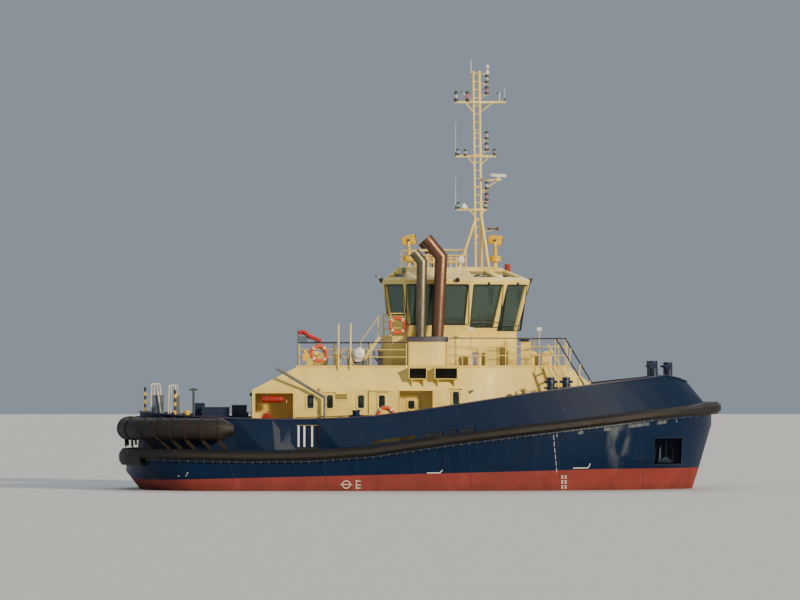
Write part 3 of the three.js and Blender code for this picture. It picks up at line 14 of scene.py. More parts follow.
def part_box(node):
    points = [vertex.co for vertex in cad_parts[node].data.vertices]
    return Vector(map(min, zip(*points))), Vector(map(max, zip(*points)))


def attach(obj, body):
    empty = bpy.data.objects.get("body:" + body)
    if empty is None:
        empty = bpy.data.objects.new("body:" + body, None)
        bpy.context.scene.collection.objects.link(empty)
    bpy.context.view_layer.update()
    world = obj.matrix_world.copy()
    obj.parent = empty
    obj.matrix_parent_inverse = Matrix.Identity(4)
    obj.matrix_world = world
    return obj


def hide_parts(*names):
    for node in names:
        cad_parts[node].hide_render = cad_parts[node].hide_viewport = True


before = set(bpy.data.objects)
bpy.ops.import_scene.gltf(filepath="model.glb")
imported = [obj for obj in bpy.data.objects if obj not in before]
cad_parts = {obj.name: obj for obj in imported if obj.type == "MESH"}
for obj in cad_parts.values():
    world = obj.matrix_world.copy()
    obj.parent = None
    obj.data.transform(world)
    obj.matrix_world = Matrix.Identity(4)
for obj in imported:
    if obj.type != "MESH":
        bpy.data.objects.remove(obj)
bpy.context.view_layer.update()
log = logging.getLogger("tug")

Point = Sequence[float]
Ring = list[Vector]
Pair = tuple[float, float]
Triple = tuple[float, float, float]

# Directions in the boat's frame
AHEAD, PORTWARD, UPWARD = (1, 0, 0), (0, 1, 0), (0, 0, 1)


class Side(Enum):
    """The two sides of the boat, as the sign of Y."""

    PORT = 1.0
    STARBOARD = -1.0

    @property
    def word(self) -> str:
        """Name of the side as the CAD nodes write it."""
        return self.name.lower()


# Colour and nodes
def linear(hex_colour: str) -> tuple[float, float, float, float]:
    """Turns an sRGB hex colour into a linear one.

    Args:
        hex_colour: Six hex digits with a leading hash mark.

    Returns:
        Red, green, blue and an alpha of 1.
    """
    parts = [int(hex_colour[i:i + 2], 16) / 255 for i in (1, 3, 5)]
    return (*[c / 12.92 if c <= 0.04045 else ((c + 0.055) / 1.055) ** 2.4 for c in parts], 1.0)


@dataclass
class Graph:
    """The nodes of one material, with its shader and its object coordinates in metres."""

    name: str

    def __post_init__(self) -> None:
        """Makes the material with its shader and coordinates."""
        self.material = bpy.data.materials.new(self.name)
        self.material.use_nodes = True
        self.tree = self.material.node_tree
        self.shader = self.tree.nodes["Principled BSDF"]
        self.coords = self.tree.nodes.new("ShaderNodeTexCoord").outputs["Object"]

    def feed(self, node: bpy.types.Node, inputs: dict) -> None:
        """Gives a node its values and links.

        Args:
            node: The node.
            inputs: For each input socket's name or number, a value or an output socket to link.
        """
        for key, value in inputs.items():
            if isinstance(value, bpy.types.NodeSocket):
                self.tree.links.new(value, node.inputs[key])
            else:
                node.inputs[key].default_value = value

    def add(self, kind: str, inputs: dict, **settings: object) -> bpy.types.NodeSocket:
        """Adds a node with its settings, values and links.

        Args:
            kind: The node's type name after ShaderNode.
            inputs: What its inputs get, as in feed.
            **settings: Properties of the node itself.

        Returns:
            The first of its outputs that is in use.
        """
        node = self.tree.nodes.new(f"ShaderNode{kind}")
        for name, value in settings.items():
            setattr(node, name, value)
        self.feed(node, inputs)
        return next(output for output in node.outputs if output.enabled)

    def blotches(self, size: float, detail: float, low: float = 0.0, high: float = 1.0, least: float = 0.0,
                 most: float = 1.0, stretch: Point = (1, 1, 1)) -> bpy.types.NodeSocket:
        """A pattern of soft patches of one width, cut between two grey levels.

        Args:
            size: Width of a patch in metres.
            detail: Octaves of finer noise.
            low: The grey that becomes least.
            high: The grey that becomes most.
            least: Value between the patches.
            most: Value inside them.
            stretch: How much longer they are along each axis.

        Returns:
            The value.
        """
        moved = self.add("Mapping", {"Vector": self.coords, "Scale": [1 / s for s in stretch]})
        grey = self.add(
            "TexNoise", {"Vector": moved, "Scale": 0.5 / size, "Detail": detail, "Roughness": 0.6})
        return self.add("MapRange", {0: grey, 1: low, 2: high, 3: least, 4: most})

    def finished(self, inputs: dict, *layers: tuple[bpy.types.NodeSocket, float]) -> bpy.types.Material:
        """Feeds the shader and lays bumps one on the other.

        Args:
            inputs: What the shader's inputs get, as in feed.
            *layers: For each bump its height value and its depth in metres.

        Returns:
            The material.
        """
        normal = {}
        for height, depth in layers:
            normal = {
                "Normal": self.add("Bump", {"Height": height, "Distance": depth, "Strength": 1.0, **normal})}
        self.feed(self.shader, {**inputs, **normal})
        return self.material


# Finishes
@dataclass(frozen=True)
class Paint:
    """Ship's paint on steel plate, put on by roller and spray: even tone, drips, dirt and a little rust."""

    name: str
    colour: str
    roughness: float = 0.4
    grime: float = 0.3
    rust: float = 0.12
    streaks: float = 0.25
    dirt: str = "#4a4136"
    rust_colour: str = "#6b3317"
    plate: float = 0.0
    gloss: float = 0.5

    # The roller's orange peel is 2 mm wide on the boat, and is drawn at 12 mm so that it shows.
    # A wave texture of scale 0.52 has a wave every 600 mm, the pitch of the hull's frames.
    peel: float = 0.012
    peel_depth: float = 0.0006
    rust_depth: float = 0.002
    frame_waves: float = 0.52

    def tone(self, graph: Graph, base: object) -> tuple:
        """Lays faded areas 550 mm wide, drips of 45 mm, grime of 300 mm and rust of 90 mm over a colour.

        Args:
            graph: The material's nodes.
            base: The clean colour.

        Returns:
            The colour, the rust share and the dirt share.
        """
        fade = graph.blotches(0.55, 5, 0.35, 0.65, 0.9, 1.1)
        grey = graph.add("CombineColor", {0: fade, 1: fade, 2: fade})
        faded = graph.add("Mix", {0: 1.0, 6: base, 7: grey}, data_type="RGBA", blend_type="MULTIPLY")
        drip = graph.blotches(0.045, 3, 0.52, 0.74, 0.0, self.streaks, (1, 1, 14))
        patch = graph.blotches(0.3, 6, 0.5, 0.75, 0.0, self.grime)
        dirty = graph.add("Math", {0: drip, 1: patch}, operation="MAXIMUM")
        soiled = graph.add("Mix", {0: dirty, 6: faded, 7: linear(self.dirt)}, data_type="RGBA")
        spots = graph.blotches(0.09, 8, 0.66 - 0.06 * self.rust, 0.72)
        runs = graph.blotches(0.03, 4, 0.6, 0.8, 0.0, 0.7, (1, 1, 9))
        either = graph.add("Math", {0: spots, 1: runs}, operation="MAXIMUM")
        areas = graph.blotches(0.9, 2, 0.5, 0.62)
        rusty = graph.add("Math", {0: either, 1: areas}, operation="MULTIPLY")
        rusty = graph.add("Math", {0: rusty, 1: min(self.rust * 3, 1.0)}, operation="MULTIPLY")
        colour = graph.add("Mix", {0: rusty, 6: soiled, 7: linear(self.rust_colour)}, data_type="RGBA")
        return colour, rusty, dirty

    def build(self) -> bpy.types.Material:
        """Makes the material."""
        graph = Graph(self.name)
        colour, rusty, dirty = self.tone(graph, linear(self.colour))
        matt = graph.add("MapRange", {0: dirty, 3: self.roughness, 4: 0.75})
        rough = graph.add("Math", {0: graph.add("Math", {0: rusty, 1: 0.3}, operation="MULTIPLY"), 1: matt})
        layers = [(graph.blotches(self.peel, 3), self.peel_depth), (rusty, self.rust_depth)]
        if self.plate:
            buckle = graph.add("TexWave", {
                "Vector": graph.coords, "Scale": self.frame_waves, "Distortion": 0.6, "Detail": 1.0})
            layers.insert(0, (buckle.node.outputs["Fac"], self.plate))
        return graph.finished(
            {"Base Color": colour, "Roughness": rough, "Specular IOR Level": self.gloss}, *layers)


@dataclass(frozen=True)
class BandedPaint(Paint):
    """Paint in two colours that meet at one height, such as a funnel with a dark cap."""

    above: float = 0.0
    upper: str = "#2b2a44"

    def build(self) -> bpy.types.Material:
        """Makes the material."""
        graph = Graph(self.name)
        height = graph.add("SeparateXYZ", {0: graph.coords}).node.outputs[2]
        high = graph.add("MapRange", {0: height, 1: self.above - 0.003, 2: self.above + 0.003})
        base = graph.add("Mix", {0: high, 6: linear(self.colour), 7: linear(self.upper)}, data_type="RGBA")
        colour, rusty, dirty = self.tone(graph, base)
        rough = graph.add("MapRange", {0: dirty, 3: self.roughness, 4: 0.75})
        return graph.finished({"Base Color": colour, "Roughness": rough, "Specular IOR Level": self.gloss},
                              (graph.blotches(self.peel, 3), self.peel_depth), (rusty, self.rust_depth))


@dataclass(frozen=True)
class HullPaint(Paint):
    """Navy topsides over red antifouling, on butt-welded shell plates whose seams show faintly."""

    bottom: str = "#873b38"
    bottom_worn: str = "#6a332c"
    slime: str = "#3d3429"
    deck: str = "#6d3a2c"
    scuff: str = "#6f767a"
    line_aft: float = 0.44
    line_fore: float = 0.86
    plate_size: Pair = (2.9, 1.25)

    def build(self) -> bpy.types.Material:
        """Makes the material."""
        graph = Graph(self.name)
        x, _, z = graph.add("SeparateXYZ", {0: graph.coords}).node.outputs
        line = graph.add("MapRange", {0: x, 1: -10.3, 2: 7.4, 3: self.line_aft, 4: self.line_fore})
        depth = graph.add("Math", {0: line, 1: z}, operation="SUBTRACT")
        below = graph.add("MapRange", {0: depth, 1: -0.006, 2: 0.006})
        wet = graph.add("MapRange", {0: z, 1: 0.34, 2: 0.05})
        slimy = graph.add(
            "Math", {0: wet, 1: graph.blotches(0.12, 5, 0.35, 0.6, 0.2, 0.75)}, operation="MULTIPLY")
        slimy = graph.add("Math", {0: slimy, 1: 0.5}, operation="MULTIPLY")
        red = graph.add("Mix", {0: graph.blotches(0.4, 6, 0.4, 0.65, 0.0, 0.45), 6: linear(self.bottom),
                                7: linear(self.bottom_worn)}, data_type="RGBA")
        red = graph.add("Mix", {0: slimy, 6: red, 7: linear(self.slime)}, data_type="RGBA")
        facing = graph.add("NewGeometry", {}).node.outputs["Normal"]
        level_face = graph.add(
            "MapRange", {0: graph.add("SeparateXYZ", {0: facing}).node.outputs[2], 1: 0.85, 2: 0.92})
        high = graph.add("MapRange", {0: z, 1: 1.45, 2: 1.5})
        on_deck = graph.add("Math", {0: level_face, 1: high}, operation="MULTIPLY")
        sides = graph.add("Mix", {0: below, 6: linear(self.colour), 7: red}, data_type="RGBA")
        parts = []
        for spot, middle, size in ((x, 7.95, 1.9), (z, 1.9, 0.8)):
            away = graph.add("Math", {0: spot, 1: middle}, operation="SUBTRACT")
            away = graph.add("Math", {0: away, 1: size}, operation="MULTIPLY")
            away = graph.add("Math", {0: away}, operation="ABSOLUTE")
            parts.append(graph.add("Math", {0: away, 1: 2.0}, operation="POWER"))
        near = graph.add("MapRange", {0: graph.add("Math", {0: parts[0], 1: parts[1]}), 1: 1.1, 2: 0.2})
        rubbed = graph.blotches(0.35, 6, 0.42, 0.62, 0.0, 0.55, (1, 1, 2.5))
        scuffed = graph.add("Math", {0: near, 1: rubbed}, operation="MULTIPLY")
        sides = graph.add("Mix", {0: scuffed, 6: sides, 7: linear(self.scuff)}, data_type="RGBA")
        base = graph.add("Mix", {0: on_deck, 6: sides, 7: linear(self.deck)}, data_type="RGBA")
        colour, rusty, dirty = self.tone(graph, base)
        plates = graph.add("TexBrick", {
            "Vector": graph.add("CombineXYZ", {0: x, 1: z}), "Scale": 1.0, "Mortar Size": 0.009,
            "Mortar Smooth": 0.6, "Brick Width": self.plate_size[0], "Row Height": self.plate_size[1],
            "Color1": (0.93, 0.93, 0.93, 1), "Color2": (1.05, 1.05, 1.05, 1), "Mortar": (0.9, 0.9, 0.9, 1)})
        colour = graph.add("Mix", {0: 1.0, 6: colour, 7: plates}, data_type="RGBA", blend_type="MULTIPLY")
        matt = graph.add("Math", {0: below, 1: on_deck}, operation="MAXIMUM")
        matt = graph.add("MapRange", {0: matt, 3: self.roughness, 4: 0.72})
        rough = graph.add("Math", {0: matt, 1: graph.add("Math", {0: dirty, 1: 0.2}, operation="MULTIPLY")})
        frames = graph.add(
            "TexWave", {"Vector": graph.coords, "Scale": self.frame_waves, "Distortion": 0.8, "Detail": 1.0})
        return graph.finished(
            {"Base Color": colour, "Roughness": rough, "Specular IOR Level": self.gloss},
            (plates.node.outputs["Fac"], 0.004), (frames.node.outputs["Fac"], 0.006),
            (graph.blotches(self.peel, 3), self.peel_depth), (rusty, self.rust_depth))


@dataclass(frozen=True)
class Rubber:
    """Extruded black rubber, weathered brown-grey in areas of 500 mm and scuffed in bands of 80 mm."""

    name: str
    colour: str = "#0d0a08"
    worn: str = "#241c16"
    weathered: str = "#18110c"

    def build(self) -> bpy.types.Material:
        """Makes the material."""
        graph = Graph(self.name)
        scuff = graph.blotches(0.08, 7, 0.5, 0.68, 0.0, 0.75, (4, 4, 1))
        blotch = graph.blotches(0.5, 4, 0.35, 0.7, 0.0, 0.4)
        colour = graph.add(
            "Mix", {0: blotch, 6: linear(self.colour), 7: linear(self.weathered)}, data_type="RGBA")
        colour = graph.add("Mix", {0: scuff, 6: colour, 7: linear(self.worn)}, data_type="RGBA")
        rough = graph.add("MapRange", {0: scuff, 3: 0.62, 4: 0.9})
        return graph.finished(
            {"Base Color": colour, "Roughness": rough}, (graph.blotches(0.06, 8), 0.006), (scuff, 0.003))


@dataclass(frozen=True)
class Metal:
    """Bare or plated metal: spangles of its own grain width, with dull clouds 250 mm wide."""

    name: str
    colour: str
    roughness: float
    second: str
    share: float = 0.5
    grain: float = 0.02
    metallic: float = 1.0

    def build(self) -> bpy.types.Material:
        """Makes the material."""
        graph = Graph(self.name)
        spangle = graph.blotches(self.grain, 5, 0.38, 0.62, 0.0, self.share)
        cloud = graph.blotches(0.25, 4, 0.4, 0.7, 0.0, self.share)
        both = graph.add("Math", {0: spangle, 1: cloud}, operation="MAXIMUM")
        colour = graph.add(
            "Mix", {0: both, 6: linear(self.colour), 7: linear(self.second)}, data_type="RGBA")
        rough = graph.add("MapRange", {0: cloud, 3: self.roughness, 4: min(self.roughness + 0.25, 1.0)})
        # The surface's own grit is under 1 mm, and is drawn at 6 mm so that it shows
        return graph.finished({"Base Color": colour, "Metallic": self.metallic, "Roughness": rough},
                              (spangle, 0.0006), (graph.blotches(0.006, 3), 0.0003))


@dataclass(frozen=True)
class Fibre:
    """Moulded plastic, woven cloth, rope or leather, told apart by grain, sheen and gloss."""

    name: str
    colour: str
    roughness: float = 0.5
    grain: float = 0.01
    depth: float = 0.001
    dirt: str = "#6b6257"
    dirty: float = 0.3
    sheen: float = 0.0
    second: str = ""

    def build(self) -> bpy.types.Material:
        """Makes the material."""
        graph = Graph(self.name)
        base = linear(self.colour)
        if self.second:
            strands = graph.blotches(self.grain * 3, 2, 0.48, 0.52)
            base = graph.add("Mix", {0: strands, 6: base, 7: linear(self.second)}, data_type="RGBA")
        grime = graph.blotches(0.12, 6, 0.42, 0.7, 0.0, self.dirty)
        colour = graph.add("Mix", {0: grime, 6: base, 7: linear(self.dirt)}, data_type="RGBA")
        rough = graph.add("MapRange", {0: grime, 3: self.roughness, 4: 0.9})
        return graph.finished({"Base Color": colour, "Roughness": rough, "Sheen Weight": self.sheen},
                              (graph.blotches(self.grain, 4), self.depth))


@dataclass(frozen=True)
class Glass:
    """Green tinted toughened glass with salt film; thick panes let the far side show darkly."""

    name: str
    colour: str
    clear: float = 0.8
    salt: str = "#7f8d86"

    def build(self) -> bpy.types.Material:
        """Makes the material."""
        graph = Graph(self.name)
        film = graph.blotches(0.15, 7, 0.5, 0.8, 0.0, 0.22)
        colour = graph.add("Mix", {0: film, 6: linear(self.colour), 7: linear(self.salt)}, data_type="RGBA")
        rough = graph.add("MapRange", {0: film, 3: 0.03, 4: 0.5})
        return graph.finished(
            {"Base Color": colour, "Roughness": rough, "Transmission Weight": self.clear, "IOR": 1.5})


@dataclass(frozen=True)
class Lamp:
    """A lens or tube of cast acrylic that looks lit or coloured, with ribs 8 mm apart."""

    name: str
    colour: str
    glow: float = 0.3

    def build(self) -> bpy.types.Material:
        """Makes the material."""
        graph = Graph(self.name)
        ribs = graph.add(
            "TexWave", {"Vector": graph.coords, "Scale": 40.0}, bands_direction="Z").node.outputs["Fac"]
        pale = graph.add("MapRange", {0: ribs, 4: 0.3})
        colour = graph.add("Mix", {0: pale, 6: linear(self.colour), 7: linear("#ffffff")}, data_type="RGBA")
        return graph.finished(
            {"Base Color": colour, "Roughness": 0.15, "Emission Color": linear(self.colour),
             "Emission Strength": self.glow}, (ribs, 0.002))


class Finish(Enum):
    """Every finish on the boat, each made once when a piece first asks for it."""

    # Gloss topside paint: deep and even, so that the sky lies in it as a soft sheen
    HULL = HullPaint("hull_paint_navy_over_red", "#051d3c", 0.34, 0.06, 0.2, 0.07, "#1a2538", gloss=0.15)
    BULWARK = BandedPaint(
        "bulwark_navy_paint", "#061d3a", 0.5, 0.06, 0.2, 0.07, "#1a2538", gloss=0.2, above=9.0)
    # The same paint rubbed grey where fenders and lines work on it
    SCRAPED = Paint("navy_paint_scraped_by_fender", "#2a3d54", 0.5, 0.85, 0.3, 0.3, "#a5a18a")
    NAVY = Paint("navy_deck_gear_paint", "#0a2040", 0.4, 0.2, 0.3, 0.2, "#4d5361")
    CAP = Paint("dark_cap_rail_paint", "#2b2a44", 0.45, 0.3, 0.25, 0.2)
    # Satin cream on thin plate: warm, a little buckled, with rust that weeps from the edges
    CREAM = Paint("cream_superstructure_paint", "#e8cf6e", 0.42, 0.2, 0.2, 0.2, "#9a8a62", "#8a4a20", 0.006)
    CREAM_TRIM = Paint("cream_rail_paint", "#e8cf6e", 0.42, 0.25, 0.5, 0.15, "#94845c")
    MAST = Paint("mast_cream_paint", "#f0d474", 0.42, 0.25, 0.5, 0.3, "#8f7c50")
    FUNNEL = BandedPaint(
        "funnel_cream_paint_dark_cap", "#e8cf6e", 0.42, 0.2, 0.2, 0.25, "#8a7c5a", above=5.978)
    AFT_RAIL = BandedPaint(
        "aft_rail_cream_paint_dark_top", "#e8cf6e", 0.42, 0.25, 0.5, 0.15, "#94845c", above=5.915)
    FORE_RAIL = BandedPaint(
        "fore_rail_cream_paint_dark_top", "#e8cf6e", 0.42, 0.25, 0.5, 0.15, "#94845c", above=6.085)
    # Non-slip deck paint and antifouling: flat and dull, so that they show no reflection
    BOAT_DECK = BandedPaint("boat_deck_cream_edge_red_top", "#e8cf6e", 0.55, 0.25, 0.2, 0.1, "#5a4a3a",
                            above=5.016, upper="#74402f")
    BOTTOM = Paint("thruster_antifouling", "#8a3b2c", 0.75, 0.45, 0.1, 0.1, "#4a3f33")
    # Machinery and marking paints: brush-marked, with oily grime
    WHITE = Paint("white_marking_paint", "#e6e6df", 0.45, 0.2, 0.15, 0.25, "#8d8b80")
    RAIL_WHITE = Paint("stern_rail_pale_paint", "#d9d2b8", 0.4, 0.25, 0.3, 0.15)
    STEEL_GREY = Paint("blue_grey_machinery_paint", "#53606e", 0.5, 0.35, 0.3, 0.2)
    DARK = Paint("dark_grey_machinery_paint", "#34383c", 0.5, 0.4, 0.4, 0.2)
    RED = Paint("fire_gear_red_paint", "#a3261c", 0.4, 0.25, 0.3, 0.15)
    LAMP_HOUSE = Paint("yellow_lamp_housing_paint", "#dcb22a", 0.4, 0.25, 0.3, 0.2)
    # Extruded rubber: nearly black and matt, with paler scuffs
    RUBBER = Rubber("weathered_fender_rubber")
    SEAL = Rubber("black_window_gasket", "#141414", "#2e2e2e")
    # Hot-dip zinc shows spangles, drawn tube a clean gleam, and cast bronze a warm mottled one
    GALVANISED = Metal("galvanised_steel", "#8b8f8c", 0.5, "#6d7271", 0.6, 0.03)
    STAINLESS = Metal("polished_stainless_tube", "#c9c9c5", 0.22, "#9b9a95", 0.35, 0.01)
    BRONZE = Metal("cast_nickel_bronze", "#a97f3e", 0.34, "#6f5a32", 0.5, 0.03)
    # Exhaust steel browned by heat, chain dulled by rust, and pitted white zinc
    HOT_PIPE = Metal("heat_tinted_exhaust_steel", "#7a5a48", 0.36, "#4a3329", 0.6, 0.05, 0.7)
    SILENCER = Metal("aluminised_exhaust_steel", "#7a7462", 0.38, "#48443a", 0.6, 0.05, 0.75)
    CHAIN = Metal("rusted_chain_steel", "#2e2925", 0.75, "#4c3324", 0.7, 0.02, 0.3)
    ZINC = Metal("sacrificial_zinc", "#a9adb0", 0.7, "#d8dad8", 0.7, 0.02, 0.6)
    # Moulded plastics: smooth skins with a faint grain; foam and tape a little rougher
    ORANGE = Fibre("lifebuoy_orange_foam", "#d9541c", 0.55, 0.004, 0.0004, "#7a4a30")
    PLASTIC = Fibre("white_moulded_plastic", "#e4e4de", 0.35, 0.006, 0.0002, "#8e8a7c", 0.25)
    BLACK = Fibre("black_moulded_plastic", "#191a1c", 0.4, 0.004, 0.0003, "#4a4a4a", 0.2)
    YELLOW = Fibre("yellow_moulded_plastic", "#e0b42a", 0.45, 0.006, 0.0003, "#7d6a30", 0.3)
    REFLECTIVE = Fibre("retroreflective_tape", "#dfe2e4", 0.3, 0.003, 0.0002, "#8a8a8a", 0.15)
    # Leather and woven cloth take light softly, and laid rope shows its strands in two tones
    LEATHER = Fibre("black_chair_leather", "#1c1c20", 0.45, 0.003, 0.0005, "#39383a", 0.3, 0.1)
    FLAG = Fibre("furled_red_bunting", "#b3221f", 0.85, 0.004, 0.0006, "#5a1512", 0.3, 0.3)
    HOSE = Fibre("red_canvas_hose", "#9c2a20", 0.8, 0.006, 0.0008, "#4f2a22", 0.4, 0.2)
    ROPE = Fibre("laid_towing_rope", "#b8b09a", 0.85, 0.008, 0.003, "#6d6450", 0.5, 0.1, "#a69c83")
    # Glass: clear and green where the light comes through, nearly black where the room behind is dark
    WINDOW = Glass("green_tinted_glass", "#86a394", 0.9)
    SKY_WINDOW = Glass("shaded_roof_glass", "#24423a", 0.08)
    PORTLIGHT = Glass("dark_cabin_glass", "#15221f", 0.15)
    # Lenses and screens: glossy, with a weak glow of their own colour
    LENS = Lamp("clear_lamp_lens", "#8d918a", 0.08)
    RED_LENS = Lamp("red_lamp_lens", "#8c1618", 0.1)
    GREEN_LENS = Lamp("green_lamp_lens", "#12805a", 0.2)
    SCREEN = Lamp("dark_display_screen", "#0c2430", 0.25)

    def material(self) -> bpy.types.Material:
        """The material of this finish, made on first use."""
        return bpy.data.materials.get(self.value.name) or self.value.build()


# Mesh builder
def arc(centre: Point, across: Point, up: Point, radius: float, start: float, end: float,
        steps: int) -> Ring:
    """Points on an arc.

    Args:
        centre: Its centre.
        across: Direction at angle 0.
        up: Direction at angle 90.
        radius: Its radius.
        start: First angle in degrees.
        end: Last angle in degrees.
        steps: Count of steps between them.

    Returns:
        The points in order.
    """
    a, b, c = Vector(across).normalized(), Vector(up).normalized(), Vector(centre)
    angles = [math.radians(start + (end - start) * i / steps) for i in range(steps + 1)]
    return [c + (a * math.cos(t) + b * math.sin(t)) * radius for t in angles]


def smooth_path(points: Sequence[Point], steps: int = 6) -> Ring:
    """Runs a smooth curve through points.

    Args:
        points: The points it goes through.
        steps: Count of steps between two of them.

    Returns:
        The curve's points.
    """
    p = [Vector(point) for point in points]
    p = [p[0] * 2 - p[1], *p, p[-1] * 2 - p[-2]]
    made = []
    for i in range(1, len(p) - 2):
        for k in range(steps):
            t = k / steps
            a, b, c, d = p[i - 1:i + 3]
            made.append(0.5 * ((2 * b) + (c - a) * t + (2 * a - 5 * b + 4 * c - d) * t * t
                               + (3 * b - a - 3 * c + d) * t ** 3))
    return [*made, p[-2]]


class Shape:
    """Gathers the faces of one piece, each with its finish, in the boat's frame."""

    # Radius of a turned piece where its profile meets the axis
    tip = 0.0001

    def __init__(self) -> None:
        """Starts an empty piece."""
        self.bm = bmesh.new()
        self.finishes: list[Finish] = []

    def index(self, finish: Finish) -> int:
        """Material index of a finish, which joins the piece's list on first use.

        Args:
            finish: The finish.

        Returns:
            Its place in the list.
        """
        if finish not in self.finishes:
            self.finishes.append(finish)
        return self.finishes.index(finish)

    def loft(self, rings: Sequence[Sequence[Point]], finish: Finish, ends: bool = True,
             round_run: bool = False, open_ring: bool = False) -> None:
        """Skins a run of rings that have the same count of points.

        Args:
            rings: The rings in order.
            finish: The faces' finish.
            ends: Whether the first and last ring get a face.
            round_run: Whether the last ring joins the first.
            open_ring: Whether a ring's last point doesn't join its first.
        """
        index = self.index(finish)
        rows = [[self.bm.verts.new(point) for point in ring] for ring in rings]
        count = len(rows[0])
        pairs = list(zip(rows, rows[1:]))
        if round_run:
            pairs.append((rows[-1], rows[0]))
        for low, high in pairs:
            for i in range(count - 1 if open_ring else count):
                j = (i + 1) % count
                self.bm.faces.new((low[i], low[j], high[j], high[i])).material_index = index
        if ends and not round_run:
            self.bm.faces.new(rows[0][::-1]).material_index = index
            self.bm.faces.new(rows[-1]).material_index = index

    def box(self, low: Point, high: Point, finish: Finish) -> None:
        """A block between two opposite corners.

        Args:
            low: One corner.
            high: The other corner.
            finish: Its finish.
        """
        (x0, x1), (y0, y1), heights = [sorted(pair) for pair in zip(low, high)]
        self.loft([[(x0, y0, z), (x1, y0, z), (x1, y1, z), (x0, y1, z)] for z in heights], finish)

    def slab(self, outline: Sequence[Point], push: Point, finish: Finish) -> None:
        """A flat outline pushed along a vector.

        Args:
            outline: Its points.
            push: The way and distance of the push.
            finish: Its finish.
        """
        step = Vector(push)
        self.loft([outline, [Vector(point) + step for point in outline]], finish)

    @staticmethod
    def circle(centre: Vector, across: Vector, up: Vector, radius: float, sides: int) -> Ring:
        """Points of a circle.

        Args:
            centre: Its centre.
            across: Direction of its first point.
            up: Direction a quarter turn on.
            radius: Its radius.
            sides: Count of points.

        Returns:
            The points in order.
        """
        turns = [2 * math.pi * k / sides for k in range(sides)]
        return [centre + (across * math.cos(t) + up * math.sin(t)) * radius for t in turns]

    def tube(self, path: Sequence[Point], radius: float | Sequence[float], finish: Finish, sides: int = 10,
             closed: bool = False) -> None:
        """A round bar along a path, with no twist.

        Args:
            path: The points it follows.
            radius: Its radius, or one for each point.
            finish: Its finish.
            sides: Count of flats.
            closed: Whether the path closes on itself.
        """
        points = [Vector(point) for point in path]
        count = len(points)
        radii = [radius] * count if isinstance(radius, (int, float)) else list(radius)
        across = None
        rings = []
        for i, point in enumerate(points):
            before = points[i - 1] if i or closed else point
            after = points[(i + 1) % count] if i + 1 < count or closed else point
            ahead = (after - before).normalized()
            if across is None:
                across = ahead.orthogonal()
            across = (across - ahead * across.dot(ahead)).normalized()
            rings.append(self.circle(point, across, ahead.cross(across), radii[i], sides))
        self.loft(rings, finish, round_run=closed)

    def hoop(self, centre: Point, across: Point, up: Point, radius: float, steps: int, wire: float,
             finish: Finish) -> None:
        """A closed ring of round bar.

        Args:
            centre: Its centre.
            across: One direction in its plane.
            up: The other direction.
            radius: Its radius.
            steps: Count of its flats.
            wire: Radius of the bar.
            finish: Its finish.
        """
        self.tube(arc(centre, across, up, radius, 0, 360, steps)[:-1], wire, finish, 6, closed=True)

    def lathe(self, profile: Sequence[Pair], base: Point, axis: Point, finish: Finish,
              sides: int = 24) -> None:
        """Turns a profile round an axis.

        Args:
            profile: Pairs of radius and distance along the axis.
            base: Where the distance is 0.
            axis: The axis.
            finish: Its finish.
            sides: Count of flats.
        """
        ahead = Vector(axis).normalized()
        across = ahead.orthogonal().normalized()
        up = ahead.cross(across)
        foot = Vector(base)
        self.loft([self.circle(foot + ahead * along, across, up, max(radius, self.tip), sides)
                   for radius, along in profile], finish)

    def turn(self, centre: Point, axis: Point, degrees: float, since: int = 0) -> None:
        """Turns the vertices made since a count.

        Args:
            centre: A point on the axis.
            axis: The axis.
            degrees: The angle.
            since: Count of vertices that stay.
        """
        self.bm.verts.ensure_lookup_table()
        bmesh.ops.rotate(
            self.bm, cent=centre, matrix=Matrix.Rotation(math.radians(degrees), 3, Vector(axis)),
            verts=self.bm.verts[since:])

    def place(self, name: str, body: str = "vessel", slot: str = "", bevel: float = 0.0,
              angle: float = 35.0) -> bpy.types.Object:
        """Makes the object and lets it ride on a body.

        Args:
            name: The piece's name.
            body: The CAD body that it moves with.
            slot: The record's material slot; not used.
            bevel: Width of its rounded edges, or 0.
            angle: Edges sharper than this stay sharp.

        Returns:
            The object.
        """
        bmesh.ops.recalc_face_normals(self.bm, faces=self.bm.faces)
        mesh = bpy.data.meshes.new(name)
        self.bm.to_mesh(mesh)
        self.bm.free()
        for finish in self.finishes:
            mesh.materials.append(finish.material())
        mesh.polygons.foreach_set("use_smooth", [True] * len(mesh.polygons))
        mesh.set_sharp_from_angle(angle=math.radians(angle))
        piece = bpy.data.objects.new(name, mesh)
        bpy.context.scene.collection.objects.link(piece)
        if bevel:
            soften(piece, bevel)
        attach(piece, body)
        log.info("%s: %d faces on %s", name, len(mesh.polygons), body)
        return piece


def soften(piece: bpy.types.Object, width: float) -> None:
    """Rounds a piece's sharp edges.

    Args:
        piece: The object.
        width: Width of the rounding.
    """
    edge = piece.modifiers.new("rounded_edges", "BEVEL")
    edge.width = width
    edge.segments = 2
    edge.limit_method = "ANGLE"
    edge.angle_limit = math.radians(40)
    edge.harden_normals = True


